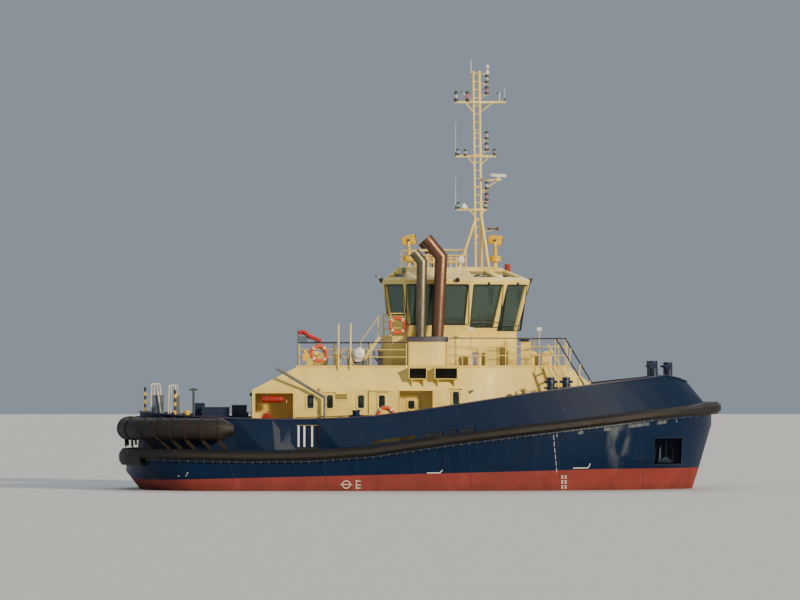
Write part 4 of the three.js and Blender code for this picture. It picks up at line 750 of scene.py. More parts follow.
# Stage, light and camera
@dataclass
class Studio:
    """Pale floor at the waterline, soft light, and the camera at the photograph's angle."""

    azimuth: float = -1.0
    distance: float = 260.0
    eye_height: float = 5.0
    aim: Triple = (-0.76, 0.0, 7.69)
    frame_width: float = 32.65
    film_width: float = 36.0
    floor_half: float = 400.0
    sky: float = 0.42
    # Name, bearing, height above the horizon, strength, width of the disc in degrees and colour
    suns: tuple[tuple[str, float, float, float, float, str], ...] = (
        ("key", 42.0, 17.0, 4.4, 6.0, "#ffeac4"), ("fill", -55.0, 40.0, 0.55, 60.0, "#dce8ff"),
        ("rim", 170.0, 45.0, 1.0, 40.0, "#ffffff"))

    def build(self) -> None:
        """Makes the floor, the lights and the camera."""
        scene = bpy.context.scene
        floor_mesh = bpy.data.meshes.new("floor")
        half = self.floor_half
        floor_mesh.from_pydata(
            [(-half, -half, 0), (half, -half, 0), (half, half, 0), (-half, half, 0)], [], [(0, 1, 2, 3)])
        floor = bpy.data.objects.new("floor", floor_mesh)
        scene.collection.objects.link(floor)
        pale = {"Base Color": linear("#c9c9c5"), "Roughness": 0.85}
        floor_mesh.materials.append(Graph("pale_studio_floor").finished(pale))
        world = bpy.data.worlds.new("soft_studio")
        world.use_nodes = True
        sky = world.node_tree.nodes["Background"]
        sky.inputs["Color"].default_value = linear("#cfdcec")
        sky.inputs["Strength"].default_value = self.sky
        scene.world = world
        for name, azimuth, rise, strength, soft, colour in self.suns:
            lamp = bpy.data.lights.new(name, "SUN")
            lamp.energy = strength
            lamp.angle = math.radians(soft)
            lamp.color = linear(colour)[:3]
            sun = bpy.data.objects.new(name, lamp)
            sun.rotation_euler = self.towards(azimuth, rise).to_track_quat("Z", "Y").to_euler()
            scene.collection.objects.link(sun)
        lens = bpy.data.cameras.new("photo_camera")
        lens.sensor_width = self.film_width
        lens.lens = self.film_width * self.distance / self.frame_width
        lens.clip_end = 1000.0
        camera = bpy.data.objects.new("photo_camera", lens)
        aim = Vector(self.aim)
        place = aim + self.towards(self.azimuth, 0.0) * self.distance
        place.z = self.eye_height
        camera.location = place
        camera.rotation_euler = (place - aim).to_track_quat("Z", "Y").to_euler()
        scene.collection.objects.link(camera)
        scene.camera = camera

    @staticmethod
    def towards(azimuth: float, rise: float) -> Vector:
        """Direction from the boat towards a bearing, with 0 at the starboard side and 90 ahead."""
        a, e = math.radians(azimuth), math.radians(rise)
        return Vector((math.sin(a) * math.cos(e), -math.cos(a) * math.cos(e), math.sin(e)))


@dataclass
class CadDress:
    """Gives every CAD node its finish, smooth rounds and slightly rounded edges."""

    # The nodes of each finish by how their names start; any other node is cream
    finishes: dict[Finish, str] = field(default_factory=lambda: {
        Finish.HULL: "hull", Finish.RUBBER: "belt_fender stern_block_fender stern_fender",
        Finish.BULWARK: "bulwark boarding_gate", Finish.CAP: "bulwark_cap_rail",
        Finish.BOAT_DECK: "boat_deck", Finish.WINDOW: "wheelhouse_glazing",
        Finish.SKY_WINDOW: "sky_window_glazing", Finish.DARK: "bridge_console", Finish.LEATHER: "helm_chair",
        Finish.MAST: "mast roof_rail", Finish.PLASTIC: "radar_scanner liferaft_canister",
        Finish.AFT_RAIL: "aft_rail",
        Finish.GALVANISED: "davit_post davit_arm fore_winch_drum aft_winch_drum",
        Finish.FORE_RAIL: "fore_rail", Finish.CREAM_TRIM: "bridge_rail", Finish.FUNNEL: "funnel_casing",
        Finish.HOT_PIPE: "main_exhaust",
        Finish.NAVY: "aft_hatch_lid bow_staple stern_staple fore_winch aft_winch fore_bitts anchor",
        Finish.SILENCER: "auxiliary_exhaust", Finish.LAMP_HOUSE: "searchlight", Finish.ORANGE: "lifebuoy",
        Finish.BOTTOM: "thruster", Finish.BRONZE: "propeller", Finish.RAIL_WHITE: "stern_handrail"})
    # Widths of the rounded edges of doors, decks, lids and lamps
    edges: dict[float, str] = field(default_factory=lambda: {
        0.01: "bridge_deck", 0.012: "side_door aft_door aft_hatch_lid bulwark_cap_rail", 0.015: "boat_deck",
        0.02: "bridge_console searchlight radar_scanner"})
    # Edges sharper than this stay sharp: the bulwark's knuckles turn by 21 degrees
    crease: float = 33.0
    creases: dict[str, float] = field(default_factory=lambda: {"bulwark": 20.5})
    weld: float = 0.00005

    def build(self) -> None:
        """Dresses the nodes."""
        for name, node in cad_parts.items():
            finish = self.meant(self.finishes, name) or Finish.CREAM
            edge = self.meant(self.edges, name)
            for layer in ("custom_normal", "sharp_edge", "sharp_face"):
                stored = node.data.attributes.get(layer)
                if stored:
                    node.data.attributes.remove(stored)
            weld = node.modifiers.new("weld", "WELD")
            weld.merge_threshold = self.weld
            node.data.polygons.foreach_set("use_smooth", [True] * len(node.data.polygons))
            split = node.modifiers.new("sharp_edges", "EDGE_SPLIT")
            split.split_angle = math.radians(self.creases.get(name, self.crease))
            if edge:
                soften(node, edge)
            node.data.materials.clear()
            node.data.materials.append(finish.material())
            log.info("%s: %s", name, finish.value.name)

    @staticmethod
    def meant(table: dict, name: str) -> object:
        """Looks a node up in a table by how its name starts.

        Args:
            table: For each entry, the words that a name may start with.
            name: The node's name.

        Returns:
            The entry whose word is the longest start of the name, or None.
        """
        starts = [(len(word), key) for key, words in table.items() for word in words.split()
                  if name.startswith(word)]
        return max(starts, key=lambda start: start[0])[1] if starts else None


# Places on the CAD surfaces, by rays from well outside the boat's side
OUTSIDE = 8.0


def hit(node: str, start: Point, way: Point) -> tuple[Vector, Vector] | None:
    """Where a ray from outside meets a CAD node.

    Args:
        node: The node's name.
        start: Where the ray starts.
        way: Its direction.

    Returns:
        The point and the surface's normal there, or None.
    """
    ahead = Vector(way).normalized()
    found, point, normal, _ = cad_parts[node].ray_cast(Vector(start), ahead)
    if not found:
        return None
    return point, normal if normal.dot(ahead) < 0 else -normal


def on_side(node: str, side: Side, places: Sequence[Pair]) -> list[tuple[Vector, Vector]]:
    """Where rays from one side of the boat meet a CAD node.

    Args:
        node: The node's name.
        side: The side of the boat.
        places: Pairs of x and z.

    Returns:
        The point and the normal of every place that is met.
    """
    found = [hit(node, (x, side.value * OUTSIDE, z), (0, -side.value, 0)) for x, z in places]
    return [place for place in found if place]


# Rows of x, deck height, fender centre and bulwark top
SHEER = (
    (-12.2, 1.65, 1.5, 3.21), (-10.2, 1.65, 1.47, 3.03), (-6.9, 1.65, 1.4, 2.86), (-4.5, 1.65, 1.43, 2.85),
    (-2.0, 1.8, 1.6, 2.96), (1.15, 2.23, 2.06, 3.38), (4.2, 2.62, 2.44, 3.85), (7.4, 3.01, 2.82, 4.29),
    (9.3, 3.24, 3.05, 4.5), (10.2, 3.336, 3.134, 4.57), (12.3, 3.56, 3.33, 3.81))


class Line(Enum):
    """The lines along the hull that pieces follow, each with its column in the table of the sheer."""

    DECK = 1
    FENDER = 2
    RAIL = 3

    def at(self, x: float) -> float:
        """Height of the line at x, straight between two rows of the table.

        Args:
            x: How far ahead.

        Returns:
            The height.
        """
        column = self.value
        for a, b in zip(SHEER, SHEER[1:]):
            if x <= b[0]:
                share = min(max((x - a[0]) / (b[0] - a[0]), 0.0), 1.0)
                return a[column] + (b[column] - a[column]) * share
        return SHEER[-1][column]


def ribbon(shape: Shape, node: str, path: Sequence[Pair], width: float, side: Side, finish: Finish,
           lift: float = 0.004) -> None:
    """Lays a thin painted strip on the side of a node.

    Args:
        shape: The piece it joins.
        node: The CAD node that carries it.
        path: Points as pairs of x and z.
        width: The strip's width.
        side: The side of the boat.
        finish: Its finish.
        lift: How far it stands proud.
    """
    rings = []
    for i, (x, z) in enumerate(path):
        a, b = path[max(i - 1, 0)], path[min(i + 1, len(path) - 1)]
        ahead = Vector((b[0] - a[0], 0, b[1] - a[1])).normalized()
        for point, normal in on_side(node, side, [(x, z)]):
            across = normal.cross(ahead).normalized() * width / 2
            rings.append([point + across, point - across, point - across + normal * lift,
                          point + across + normal * lift])
    if len(rings) > 1:
        shape.loft(rings, finish)


def chain(shape: Shape, start: Point, end: Point, link: float, wire: float, finish: Finish) -> None:
    """A straight run of chain links.

    Args:
        shape: The piece it joins.
        start: Its first end.
        end: Its last end.
        link: Length of a link.
        wire: Radius of a link's bar.
        finish: Its finish.
    """
    a, b = Vector(start), Vector(end)
    ahead = (b - a).normalized()
    across = ahead.orthogonal().normalized()
    pitch = link - 3 * wire
    for i in range(max(1, round((b - a).length / pitch))):
        middle = a + ahead * pitch * (i + 0.5)
        wide = across if i % 2 else ahead.cross(across)
        half, bend = (link / 2 - wire) * 0.55, link * 0.28
        path = [*arc(middle + ahead * half, wide, ahead, bend, 0, 180, 4),
                *arc(middle - ahead * half, -wide, -ahead, bend, 0, 180, 4)]
        shape.tube(path, wire, finish, 5, closed=True)


def bolt(shape: Shape, point: Point, normal: Point, radius: float, height: float, finish: Finish) -> None:
    """A hexagon bolt head with its chamfer.

    Args:
        shape: The piece it joins.
        point: Centre of its foot.
        normal: The way it stands.
        radius: Its radius.
        height: Its height.
        finish: Its finish.
    """
    shape.lathe([(radius, -0.004), (radius, height * 0.75), (radius * 0.8, height)], point, normal, finish,
                6)


@dataclass
class HullDressing:
    """Marks, fender flange, bolts, bands, chains, bulwark stays, black plates of painted shade in the
    freeing ports and underwater fittings.
    """

    bolt_pitch: float = 0.32
    flange_xs: Pair = (-10.9, 11.3)
    fender_height: float = 2.47
    fender_radius: float = 0.436
    band_xs: tuple[float, ...] = (-11.25, -10.72, -10.1, -9.45, -8.8, -8.12)
    stay_xs: tuple[float, ...] = (-9.0, -7.9, -6.7, -5.6, -3.1, -1.9, -0.6, 0.7, 2.0, 3.3, 4.6, 6.4, 7.6)
    # Freeing ports from and to along x, and anodes as pairs of x and z
    ports: tuple[Pair, ...] = ((-1.98, -0.265), (-0.06, 0.88), (1.205, 1.45), (1.61, 2.18))
    anodes: tuple[Pair, ...] = (
        (-6.6, -0.9), (-4.4, -0.9), (-1.0, -0.9), (2.4, -0.9), (5.6, -0.8), (-5.0, -1.9), (0.5, -2.0))

    def build(self) -> None:
        """Builds the dressing of both sides."""
        for side in Side:
            self.marks(side)
            self.flange(side)
            self.stays(side)
            self.below(side)
            self.port_shade_plates(side)
        self.bands()

    def marks(self, side: Side) -> None:
        """Draught ticks, load line ring and corner marks in generic form, and the butt welds.

        Args:
            side: The side of the boat.
        """
        ticks = []
        for z in (0.1, 0.1 + 0.2, 0.1 + 0.4):
            for start in (5.62, 5.76):
                ticks += [(0.025, [(start, z), (start + 0.09, z)]),
                          (0.025, [(start, z + 0.09), (start + 0.09, z + 0.09)]),
                          (0.022, [(start + 0.045, z), (start + 0.045, z + 0.09)])]
        turns = [2 * math.pi * k / 20 for k in range(21)]
        load_line = [[(-3.0 + 0.15 * math.cos(t), 0.26 + 0.15 * math.sin(t)) for t in turns],
                     [(-3.24, 0.26), (-3.0, 0.26), (-2.76, 0.26)], [(-2.6, 0.08), (-2.6, 0.44)],
                     *[[(-2.6, z), (-2.42, z)] for z in (0.12, 0.24, 0.4)]]
        ticks += [(0.025, path) for path in load_line]
        for x0, x1, x2, z0, z1 in (
            (-9.73, -9.4, -9.33, 0.6, 0.74), (0.22, 0.75, 0.85, 0.72, 0.84), (6.1, 6.72, 6.8, 0.9, 1.08)):
            ticks += [(0.03, [(x0, z0), (x1, z0 + 0.01), (x1 + 0.01, z0 + 0.015)]),
                      (0.03, [(x1, z0 + 0.01), (x2, z1)])]
        for k in range(7):
            x, z = 5.27 + 0.025 * k, 2.5 - 0.26 * k
            ticks.append((0.013, [(x, z), (x + 0.012, z - 0.11), (x + 0.02, z - 0.2)]))
        shape = Shape()
        for width, path in ticks:
            ribbon(shape, "hull", path, width, side, Finish.WHITE)
        shape.place(f"hull_marks_{side.word}", slot="white_paint")
        seams = Shape()
        for x in (-7.6, -3.9, 1.9, 5.47, 8.9):
            path = [(x + 0.12 * (1 - k / 12), 0.1 + (Line.FENDER.at(x) - 0.45) * k / 12) for k in range(13)]
            ribbon(seams, "hull", path, 0.014, side, Finish.NAVY, 0.005)
        seams.place(f"shell_butt_welds_{side.word}", slot="hull_paint")

    def flange(self, side: Side) -> None:
        """The steel flange under the belt fender with its bolts, and the scraped band below it.

        Args:
            side: The side of the boat.
        """
        strip, heads = Shape(), Shape()
        rings = []
        start, end = self.flange_xs
        count = round((end - start) / self.bolt_pitch)
        xs = [start + i * self.bolt_pitch for i in range(count + 1)]
        low, high = Vector((0, 0, -0.035)), Vector((0, 0, 0.03))
        for point, normal in on_side("hull", side, [(x, Line.FENDER.at(x) - 0.235) for x in xs]):
            out = Vector((normal.x, normal.y, 0)).normalized()
            rings.append([point + low - out * 0.02, point + high - out * 0.02, point + high + out * 0.13,
                          point + low + out * 0.13])
            bolt(heads, point + out * 0.1 + low, (0, 0, -1), 0.024, 0.03, Finish.GALVANISED)
            bolt(heads, point + out * 0.13 - Vector((0, 0, 0.002)), out, 0.02, 0.022, Finish.GALVANISED)
        strip.loft(rings, Finish.NAVY)
        worn = [(x, Line.FENDER.at(x) - 0.37) for x in (5.4, 6.4, 7.4, 8.4, 9.2, 9.9, 10.4)]
        ribbon(strip, "hull", worn, 0.13, side, Finish.SCRAPED)
        strip.place(f"fender_flange_{side.word}", slot="hull_paint", bevel=0.006)
        heads.place(f"fender_bolts_{side.word}", slot="galvanised")

    def stays(self, side: Side) -> None:
        """Bracket plates that hold the bulwark from inside.

        Args:
            side: The side of the boat.
        """
        shape = Shape()
        s = side.value
        for x in self.stay_xs:
            deck, top = Line.DECK.at(x), Line.RAIL.at(x)
            low = hit("bulwark", (x, 0, deck + 0.25), (0, s, 0))[0].y
            high = hit("bulwark", (x, 0, top - 0.12), (0, s, 0))[0].y
            outline = [
                (x, low, deck + 0.02), (x, low - s * 0.3, deck + 0.02), (x, low - s * 0.3, deck + 0.12),
                (x, high - s * 0.07, top - 0.16), (x, high, top - 0.16)]
            shape.slab(outline, (0.016, 0, 0), Finish.BULWARK)
            edge = [Vector(p) + Vector((0.008, 0, 0)) for p in (outline[2], outline[3])]
            shape.tube(edge, 0.022, Finish.BULWARK, 6)
        shape.place(f"bulwark_stays_{side.word}", slot="hull_paint")

    def port_shade_plates(self, side: Side) -> None:
        """Black plates behind the freeing ports, with bars across them: the plates are painted shade that
        keeps the ports dark.

        Args:
            side: The side of the boat.
        """
        shape = Shape()
        s = side.value
        for x0, x1 in self.ports:
            inner = hit("bulwark", ((x0 + x1) / 2, 0, Line.DECK.at(x0) + 0.3), (0, s, 0))
            if inner is None:
                continue
            y = inner[0].y + s * 0.028
            low, high = Line.DECK.at(x0) + 0.05, Line.DECK.at(x1) + 0.05
            # Painted shade: a black plate behind the port stands for the shadow inside it
            shape.slab([(x0, y, low), (x1, y, high), (x1, y, high + 0.15), (x0, y, low + 0.15)],
                       (0, s * 0.01, 0), Finish.BLACK)
            for k in range(1, round((x1 - x0) / 0.2)):
                x = x0 + 0.2 * k
                foot = low + (high - low) * (x - x0) / (x1 - x0)
                shape.tube([(x, y + s * 0.025, foot), (x, y + s * 0.025, foot + 0.15)], 0.009, Finish.NAVY,
                           6)
        shape.place(f"freeing_port_flaps_{side.word}", slot="dark_paint")

    def bands(self) -> None:
        """Steel bands round the stern fender, with the chains that run down to the belt."""
        rings, chains = Shape(), Shape()
        height = self.fender_height
        rays = [((x, s.value * 9, height), (0, -s.value, 0)) for s in Side for x in self.band_xs]
        rays += [((-16, y, height), AHEAD) for y in (-3.2, -1.9, -0.64, 0.64, 1.9, 3.2)]
        for start, way in rays:
            point, normal = hit("stern_fender", start, way)
            out = Vector((normal.x, normal.y, 0)).normalized()
            centre = point - out * self.fender_radius
            centre.z = height
            along = Vector(UPWARD).cross(out)
            for shift in (-0.035, 0.035):
                middle = centre + along * shift
                rings.hoop(middle, out, UPWARD, 0.455, 28, 0.018, Finish.CHAIN)
            forward = Vector((0.32, 0, 0)) if way[1] else Vector((0, 0.2 if start[1] > 0 else -0.2, 0))
            for shift in (-0.03, 0.05):
                top = centre + out * 0.12 + along * shift + Vector((0, 0, -0.46))
                foot = centre + out * 0.1 + forward + along * shift
                foot.z = Line.FENDER.at(foot.x) + 0.24
                chain(chains, top, foot, 0.12, 0.014, Finish.CHAIN)
        rings.place("stern_fender_bands", slot="galvanised")
        chains.place("stern_fender_chains", slot="galvanised")

    def below(self, side: Side) -> None:
        """Anodes, sea chest grilles and the bilge keel under water.

        Args:
            side: The side of the boat.
        """
        anodes, grille = Shape(), Shape()
        across = Vector(AHEAD)
        for point, normal in on_side("hull", side, self.anodes):
            up = normal.cross(across).normalized()
            ring = [[point + across * dx * (1 - k) + up * dz * (1 - k) + normal * d
                     for dx, dz in ((-0.24, -0.06), (0.24, -0.06), (0.24, 0.06), (-0.24, 0.06))]
                    for d, k in ((-0.02, 0), (0.045, 0), (0.07, 0.15))]
            anodes.loft(ring, Finish.ZINC)
            for end in (-0.31, 0.31):
                bolt(anodes, point + across * end, normal, 0.02, 0.03, Finish.ZINC)
                anodes.tube([point + across * end + normal * 0.01,
                             point + across * end * 0.6 + normal * 0.02], 0.012, Finish.ZINC, 6)
        anodes.place(f"hull_anodes_{side.word}", slot="galvanised", bevel=0.008)
        for k in range(9):
            x = -2.9 + 0.075 * k
            ribbon(grille, "hull", [(x, -1.75 + 0.1 * j) for j in range(7)], 0.03, side, Finish.BOTTOM,
                   0.025)
        for z in (-1.78, -1.12):
            ribbon(grille, "hull", [(-2.98 + 0.095 * j, z) for j in range(9)], 0.05, side, Finish.BOTTOM,
                   0.035)
        grille.place(f"sea_chest_grille_{side.word}", slot="bottom_paint")
        keel = Shape()
        rings = []
        out = Vector((0, side.value * 0.72, -0.69))
        line = [(-4.2 + 0.3 * k, -1.95) for k in range(29)]
        for k, (point, normal) in enumerate(on_side("hull", side, line)):
            depth = 0.26 * min(1.0, (k + 0.4) / 3, (28.4 - k) / 3)
            thick = normal.cross(across).normalized() * 0.012
            rings.append([point - out * 0.05 + thick, point - out * 0.05 - thick,
                          point + out * depth - thick, point + out * depth + thick])
        keel.loft(rings, Finish.BOTTOM)
        keel.place(f"bilge_keel_{side.word}", slot="bottom_paint")


def rounded(x0: float, x1: float, z0: float, z1: float, radius: float, steps: int = 4) -> list[Pair]:
    """Outline of a rectangle with rounded corners.

    Args:
        x0: Left edge.
        x1: Right edge.
        z0: Lower edge.
        z1: Upper edge.
        radius: Radius of the corners.
        steps: Steps in each corner.

    Returns:
        Pairs of x and z, anticlockwise.
    """
    made = []
    corners = ((x1 - radius, z0 + radius, -90), (x1 - radius, z1 - radius, 0),
               (x0 + radius, z1 - radius, 90), (x0 + radius, z0 + radius, 180))
    for cx, cz, start in corners:
        for k in range(steps + 1):
            t = math.radians(start + 90 * k / steps)
            made.append((cx + radius * math.cos(t), cz + radius * math.sin(t)))
    return made


@dataclass
class WallPlane:
    """An upright plane that pieces are laid on, given in its own right, out and up directions."""

    origin: Triple
    right: Triple
    out: Triple
    up: Triple = (0.0, 0.0, 1.0)

    def at(self, across: float, away: float, high: float) -> Vector:
        """The point that lies so far across, away from and up the plane."""
        return (Vector(self.origin) + Vector(self.right) * across + Vector(self.out) * away
                + Vector(self.up) * high)

    def rim(self, shape: Shape, outer: Sequence[Pair], inner: Sequence[Pair], low: float, high: float,
            finish: Finish) -> None:
        """A frame between two outlines.

        Args:
            shape: The piece it joins.
            outer: Outer outline.
            inner: Inner outline with as many points.
            low: Where it starts away from the plane.
            high: Where it ends.
            finish: Its finish.
        """
        runs = ((outer, low), (outer, high), (inner, high), (inner, low))
        shape.loft([[self.at(x, away, z) for x, z in outline] for outline, away in runs], finish,
                   round_run=True)

    def pane(self, shape: Shape, outline: Sequence[Pair], low: float, high: float, finish: Finish) -> None:
        """A flat plate on the plane.

        Args:
            shape: The piece it joins.
            outline: Its outline.
            low: Where it starts away from the plane.
            high: Where it ends.
            finish: Its finish.
        """
        shape.loft([[self.at(x, away, z) for x, z in outline] for away in (low, high)], finish)

    def block(self, shape: Shape, across: Pair, away: Pair, high: Pair, finish: Finish) -> None:
        """A block on the plane between two values each way.

        Args:
            shape: The piece it joins.
            across: From and to, across.
            away: From and to, away.
            high: From and to, up.
            finish: Its finish.
        """
        (x0, x1), (a0, a1), (z0, z1) = across, away, high
        self.pane(shape, ((x0, z0), (x1, z0), (x1, z1), (x0, z1)), a0, a1, finish)

    def window(self, frames: Shape, glass: Shape, x0: float, x1: float, z0: float, z1: float,
               brow: bool = False) -> None:
        """A small bolted window with rounded corners and, if wanted, an eyebrow.

        Args:
            frames: The piece that holds the frames.
            glass: The piece that holds the panes.
            x0: Left edge of the glass.
            x1: Right edge.
            z0: Lower edge.
            z1: Upper edge.
            brow: Whether it has an eyebrow.
        """
        wide = 0.065
        outer = rounded(x0 - wide, x1 + wide, z0 - wide, z1 + wide, 0.11)
        inner = rounded(x0, x1, z0, z1, 0.07)
        self.rim(frames, outer, inner, -0.01, 0.035, Finish.CREAM_TRIM)
        thin = rounded(x0 + 0.014, x1 - 0.014, z0 + 0.014, z1 - 0.014, 0.06)
        self.rim(frames, inner, thin, 0.0, 0.024, Finish.SEAL)
        self.pane(glass, inner, -0.006, 0.016, Finish.PORTLIGHT)
        for k in range(0, len(outer), 2):
            x, z = [(a + b) / 2 for a, b in zip(outer[k], inner[k])]
            bolt(frames, self.at(x, 0.035, z), self.out, 0.011, 0.008, Finish.GALVANISED)
        if brow:
            top = z1 + wide + 0.05
            line = [(x0 - 0.14, top - 0.035), (x0 - 0.1, top), (x1 + 0.1, top), (x1 + 0.14, top - 0.035)]
            for (ax, az), (bx, bz) in zip(line, line[1:]):
                self.pane(frames, ((ax, az), (bx, bz), (bx, bz + 0.02), (ax, az + 0.02)), -0.01, 0.07,
                          Finish.CREAM_TRIM)


@dataclass
class Door:
    """Gear of a weathertight steel door: window, lever, dogs and stiffening, and its opening's lip."""

    name: str
    body: str
    plane: WallPlane
    width: float = 0.736
    height: float = 1.676

    def build(self) -> None:
        """Builds the gear on the leaf and the lip on the wall."""
        leaf, glass, lip = Shape(), Shape(), Shape()
        w, h, plane = self.width, self.height, self.plane
        plane.window(leaf, glass, w / 2 - 0.13, w / 2 + 0.13, h - 0.62, h - 0.28)
        outer = rounded(0.05, w - 0.05, 0.05, h - 0.05, 0.09)
        inner = rounded(0.065, w - 0.065, 0.065, h - 0.065, 0.08)
        plane.rim(leaf, outer, inner, -0.004, 0.012, Finish.CREAM_TRIM)
        for z in (0.22, h / 2 - 0.05, h - 0.2):
            for x, turn in ((0.045, 1), (w - 0.045, -1)):
                bolt(leaf, plane.at(x, 0, z), plane.out, 0.022, 0.03, Finish.STAINLESS)
                leaf.tube([plane.at(x, 0.032, z), plane.at(x + turn * 0.06, 0.036, z + 0.03),
                           plane.at(x + turn * 0.13, 0.034, z + 0.035)], 0.01, Finish.STAINLESS, 8)
        leaf.lathe([(0.035, 0), (0.035, 0.012), (0.02, 0.02), (0.016, 0.05)], plane.at(w - 0.12, 0, 0.82),
                   plane.out, Finish.STAINLESS, 16)
        leaf.tube([plane.at(w - 0.12, 0.05, 0.82), plane.at(w - 0.13, 0.06, 0.8),
                   plane.at(w - 0.3, 0.058, 0.79)], 0.012, Finish.STAINLESS, 8)
        leaf.tube(smooth_path([plane.at(w - 0.17, 0, 1.2), plane.at(w - 0.17, 0.06, 1.18),
                               plane.at(w - 0.17, 0.06, 1.02), plane.at(w - 0.17, 0, 1.0)], 4), 0.011,
                  Finish.STAINLESS, 8)
        leaf.place(f"{self.name}_gear", self.body, "cream_paint")
        glass.place(f"{self.name}_glass", self.body, "glass")
        lip_outer = rounded(-0.07, w + 0.07, -0.07, h + 0.07, 0.06)
        lip_inner = rounded(-0.014, w + 0.014, -0.014, h + 0.014, 0.005)
        plane.rim(lip, lip_outer, lip_inner, 0.0, 0.012, Finish.CREAM_TRIM)
        plane.block(lip, (-0.12, w + 0.12), (0.0, 0.12), (h + 0.13, h + 0.145), Finish.CREAM_TRIM)
        lip.place(f"{self.name}_lip", slot="cream_paint")


@dataclass
class Deckhouse:
    """Windows, doors, intakes, bay gear and pipes of the deckhouse."""

    wall: float = 3.75
    # Left, right, lower and upper edge of each window's glass, and whether it has an eyebrow
    window_rows: tuple[tuple[float, float, float, float, bool], ...] = (
        (-4.56, -4.3, 3.3, 3.83, False), (-3.77, -3.52, 3.3, 3.83, True), (-2.52, -2.27, 3.3, 3.82, False),
        (-1.68, -1.43, 3.3, 3.82, True), (1.3, 1.55, 3.44, 3.96, True))
    intakes: tuple[Pair, ...] = ((-0.48, 0.26), (0.56, 1.5))

    def build(self) -> None:
        """Builds both sides, the doors' gear and both end walls."""
        for side in Side:
            self.side(side)
            self.intake(side)
            self.bay(side)
            s = side.value
            plane = WallPlane((-0.728, s * 3.125, 2.208), AHEAD, (0, s, 0))
            Door(f"side_door_{side.word}", f"{side.word}_side_door", plane).build()
        Door("aft_door", "aft_deckhouse_door",
             WallPlane((-6.765, -0.368, 1.812), PORTWARD, (-1, 0, 0))).build()
        self.aft_wall()
        self.fore_wall()

    def side(self, side: Side) -> None:
        """Windows, louvre, grab rail, lamps, pipe and the lip of the door's recess on one side.

        Args:
            side: The side of the boat.
        """
        frames, glass, trim = Shape(), Shape(), Shape()
        s = side.value
        plane = WallPlane((0, s * self.wall, 0), AHEAD, (0, s, 0))
        for x0, x1, z0, z1, brow in self.window_rows:
            plane.window(frames, glass, x0, x1, z0, z1, brow)
        frames.place(f"deckhouse_window_frames_{side.word}", slot="cream_paint", bevel=0.004)
        glass.place(f"deckhouse_window_panes_{side.word}", slot="glass")
        plane.rim(trim, rounded(-3.46, -2.92, 3.63, 3.89, 0.03), rounded(-3.43, -2.95, 3.66, 3.86, 0.02),
                  -0.01, 0.03, Finish.CREAM_TRIM)
        plane.pane(trim, rounded(-3.43, -2.95, 3.66, 3.86, 0.02), -0.01, 0.004, Finish.BLACK)
        for k in range(4):
            z = 3.675 + 0.05 * k
            slat = [plane.at(-3.44, 0.004, z), plane.at(-3.44, 0.03, z - 0.014),
                    plane.at(-3.44, 0.034, z - 0.008), plane.at(-3.44, 0.008, z + 0.006)]
            trim.slab(slat, (0.5, 0, 0), Finish.CREAM_TRIM)
        rail = [plane.at(-4.95, 0.08, 2.95), plane.at(-1.95, 0.08, 3.05)]
        trim.tube(rail, 0.019, Finish.CREAM_TRIM, 8)
        for k in range(4):
            foot = rail[0].lerp(rail[1], k / 3)
            trim.tube([foot, foot - Vector((0, s * 0.09, 0.03))], 0.014, Finish.CREAM_TRIM, 6)
        for x, z in ((-4.05, 4.06), (2.1, 4.0)):
            lamp = plane.at(x, 0, z)
            trim.lathe([(0.07, -0.01), (0.07, 0.03), (0.055, 0.045)], lamp, plane.out, Finish.CREAM_TRIM, 16)
            trim.lathe([(0.05, 0.03), (0.048, 0.06), (0.03, 0.085), (0.004, 0.09)], lamp, plane.out,
                       Finish.LENS, 16)
        trim.tube(
            smooth_path([plane.at(-2.05, 0.05, 2.4), plane.at(-2.05, 0.05, 3.9), plane.at(-1.95, 0.05, 4.0),
                         plane.at(-1.2, 0.05, 4.0)], 5), 0.02, Finish.CREAM_TRIM, 8)
        # The lip round the recess of the side door
        for x in (-0.86, 0.49):
            plane.block(trim, (x, x + 0.02), (-0.02, 0.03), (2.15, 4.02), Finish.CREAM_TRIM)
        plane.block(trim, (-0.86, 0.51), (-0.02, 0.05), (4.0, 4.02), Finish.CREAM_TRIM)
        trim.place(f"deckhouse_trim_{side.word}", slot="cream_paint")

    def intake(self, side: Side) -> None:
        """The air intake boxes on the slope, with their grilles and feet.

        Args:
            side: The side of the boat.
        """
        shape = Shape()
        s = side.value
        inner, outer, z0, z1, wall = s * 3.34, s * 3.86, 4.46, 4.94, 0.035
        for x0, x1 in self.intakes:
            for xa, za, xb, zb in ((x0, z0, x1, z0 + wall), (x0, z1 - wall, x1, z1), (x0, z0, x0 + wall, z1),
                                   (x1 - wall, z0, x1, z1)):
                shape.box((xa, inner, za), (xb, outer, zb), Finish.CREAM)
            shape.box((x0 + wall, inner, z0 + wall), (x1 - wall, s * 3.42, z1 - wall), Finish.BLACK)
            count = round((x1 - x0) / 0.055)
            for k in range(1, count):
                x = x0 + (x1 - x0) * k / count
                shape.box((x - 0.005, s * 3.6, z0 + wall), (x + 0.005, s * 3.84, z1 - wall), Finish.BLACK)
            for z in (z0 + 0.16, z0 + 0.32):
                shape.box((x0 + wall, s * 3.72, z), (x1 - wall, s * 3.84, z + 0.008), Finish.BLACK)
            for x in (x0 + 0.12, x1 - 0.16):
                outline = [(x, s * 3.6, z0 + 0.01), (x, s * 3.8, z0 + 0.01), (x, s * 3.69, 4.15),
                           (x, s * 3.63, 4.15)]
                shape.slab(outline, (0.04, 0, 0), Finish.CREAM_TRIM)
        shape.place(f"air_intakes_{side.word}", slot="cream_paint", bevel=0.006)

